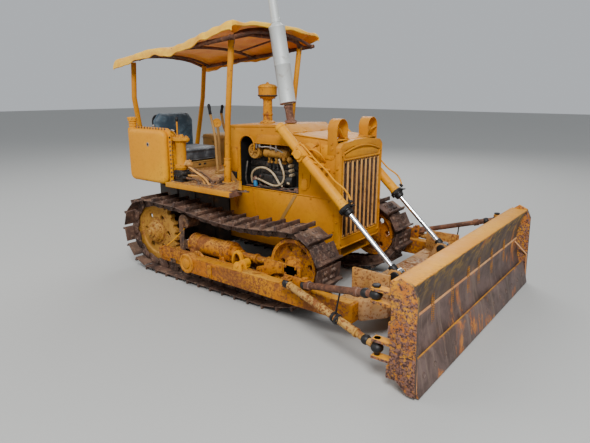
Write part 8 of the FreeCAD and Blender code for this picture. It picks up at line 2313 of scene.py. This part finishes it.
@dataclass
class RearWork:
    """The case's rear covers, the drawbar's pin and the fittings under the platform."""

    finishes: Finishes

    def build(self) -> None:
        """Build the rear fittings."""
        cover = Workshop().lay(
            1, ("turned", (-0.300, 0, 0.560), Way.REAR, [(0, 0.175), (0.012, 0.175), (0.016, 0.168), (0.020, 0.120), (0.034, 0.112), (0.038, 0.050),
                                                         (0.048, 0.046), (0.050, 0.020)], 48),
            ("block", (-0.312, -0.240, 0.770), (-0.298, 0.240, 0.820), 0.004), ("block", (-0.310, -0.270, 0.280), (-0.298, 0.270, 0.340), 0.004),
            ("hexagon", (-0.330, 0.215, 0.430), (-0.298, 0.215, 0.430), 0.020), ("hexagon", (-0.326, -0.215, 0.700), (-0.298, -0.215, 0.700), 0.016),
            ("bar", (-0.300, 0.190, 0.720), (-0.360, 0.190, 0.745), 0.018), ("bar", (-0.352, 0.190, 0.742), (-0.380, 0.190, 0.754), 0.023, 8))
        cover.ring(at(-0.312, 0, 0.560), (-1, 0, 0), 12, 0.150, 0.010, 0.011)
        for y in (-0.20, -0.10, 0.10, 0.20):
            cover.lay(1, ("bolt", (-0.312, y, 0.795), Way.REAR, 0.009, 0.009), ("bolt", (-0.310, y, 0.310), Way.REAR, 0.010, 0.010))
        for side in SIDES:
            cover.lay(side, *(("block", (x, 0.286, 0.300), (x + 0.022, 0.298, 0.790), 0.004) for x in (-0.060, 0.180, 0.420)),
                      *(("bolt", (x, 0.290, z), Way.OUT, 0.009, 0.009) for x in (0.060, 0.300, 0.540) for z in (0.300, 0.780)))
        cover.finish("case_covers", self.finishes.oily_case, Body.TRACTOR, Slot.ENGINE)
        hitch = Workshop().lay(
            1, ("bar", (-0.560, 0, 0.300), (-0.560, 0, 0.400), 0.0185, 24), ("turned", (-0.560, 0, 0.398), Way.UP, [(0, 0.034), (0.010, 0.034), (0.014, 0.028)]),
            ("pipe", [(-0.560, 0.020, 0.410), (-0.560, 0.020, 0.450), (-0.560, -0.020, 0.450), (-0.560, -0.020, 0.410)], 0.006, True, 12),
            ("bar", (-0.560, -0.040, 0.310), (-0.560, 0.040, 0.310), 0.004, 10), ("ball", (-0.560, 0.042, 0.310), 0.009),
            ("block", (-0.330, -0.100, 0.322), (-0.296, 0.100, 0.380), 0.005),
            *(("bolt", (-0.330, y, z), Way.REAR, 0.011, 0.011) for y in (-0.090, 0.090) for z in (0.335, 0.368)),
            *(("weld", (-0.325, y, 0.372), (-0.400, y, 0.372), 0.005) for y in (-0.078, 0.078)))
        hitch.finish("drawbar_fittings", self.finishes.track, Body.TRACTOR, Slot.STEEL)
        props = Workshop()
        for side in SIDES:
            props.lay(side, ("plate", [(-0.220, 0.290, 0.831), (-0.220, 0.560, 0.831), (-0.220, 0.290, 0.690)], Vector((0.008, 0, 0)), 0.002),
                      ("plate", [(0.240, 0.290, 0.831), (0.240, 0.600, 0.831), (0.240, 0.290, 0.700)], Vector((0.008, 0, 0)), 0.002),
                      ("block", (-0.230, 0.284, 0.680), (-0.200, 0.296, 0.831), 0.003), ("block", (0.230, 0.284, 0.690), (0.260, 0.296, 0.831), 0.003),
                      ("bar", (-0.490, 0.30, 0.818), (-0.490, 0.44, 0.818), 0.012, 12),
                      ("pipe", [(0.100, 0.300, 0.810), (0.300, 0.330, 0.806), (0.500, 0.300, 0.800), (0.640, 0.292, 0.780)], 0.008, True, 12))
        # The props under the platform take the same near-black finish, partly painted shade.
        props.finish("platform_props", self.finishes.oily_case, Body.TRACTOR, Slot.DARK)


def dress(frame: dict, finishes: Finishes) -> None:
    """Give every CAD node its finish."""
    looks = {
        "track": finishes.track, "sprocket": finishes.hub, "idler": finishes.mottled,
        "track_rollers": finishes.wheels, "carrier_roller": finishes.wheels, "track_frame": finishes.mottled,
        "track_tensioner": finishes.mottled, "side_panel": finishes.paint, "lamp_guard": finishes.paint,
        "push_arm": finishes.old_paint, "blade_braces": finishes.old_paint, "cylinder_barrel": finishes.bright_paint,
        "cylinder_rod": finishes.chrome, "cylinder_bracket": finishes.old_paint, "main_case": finishes.oily_case,
        "main_frame": finishes.paint, "cross_beam": finishes.mottled, "cross_beam_seat": finishes.mottled,
        "engine_block": finishes.engine, "engine_fittings": finishes.cast_grey, "radiator_core": finishes.engine,
        "radiator_guard": finishes.paint, "grille": finishes.grille, "hood": finishes.paint, "cowl": finishes.paint,
        "exhaust": finishes.muffler, "air_precleaner": finishes.old_paint, "platform": finishes.paint,
        "fuel_tank": finishes.bright_paint, "hydraulic_valve": finishes.old_paint, "left_box": finishes.paint,
        "seat_pedestal": finishes.brown_box, "seat_cushion": finishes.seat, "seat_backrest": finishes.seat,
        "steering_levers": finishes.old_paint, "canopy_posts": finishes.old_paint, "canopy_frame": finishes.old_paint,
        "canopy_cloth": finishes.cloth, "drawbar": finishes.wheels, "push_frame_nose": finishes.box_paint,
        "push_frame_plates": finishes.box_paint,
        "blade": finishes.blade, "cutting_edge": finishes.edge,
    }
    for name, node in frame["nodes"].items():
        stem = name.removesuffix("_right").removesuffix("_left")
        node.data.materials.clear()
        node.data.materials.append(looks[stem])


def main() -> None:
    """Build the whole scene."""
    logging.basicConfig(level=logging.INFO, format="%(message)s")
    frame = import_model()
    Camera().build()
    Studio().build()
    finishes = Finishes.make()
    dress(frame, finishes)
    Canopy(finishes).build(frame)
    Seat(finishes).build(frame)
    for side in SIDES:
        CrawlerTrack(finishes, side).build()
    for shell in SHELLS:
        shell.build(frame, finishes)
    for side in SIDES:
        WheelSet(finishes, side).build()
        LiftCylinder(finishes, side).build()
    PushGear(finishes).build()
    FrontEnd(finishes).build()
    EngineBay(finishes).build()
    Stack(finishes).build()
    FuelTank(finishes).build(frame)
    Valve(finishes).build()
    Controls(finishes).build(frame)
    BladeWork(finishes).build(frame)
    RearWork(finishes).build()


if __name__ == "__main__":
    main()
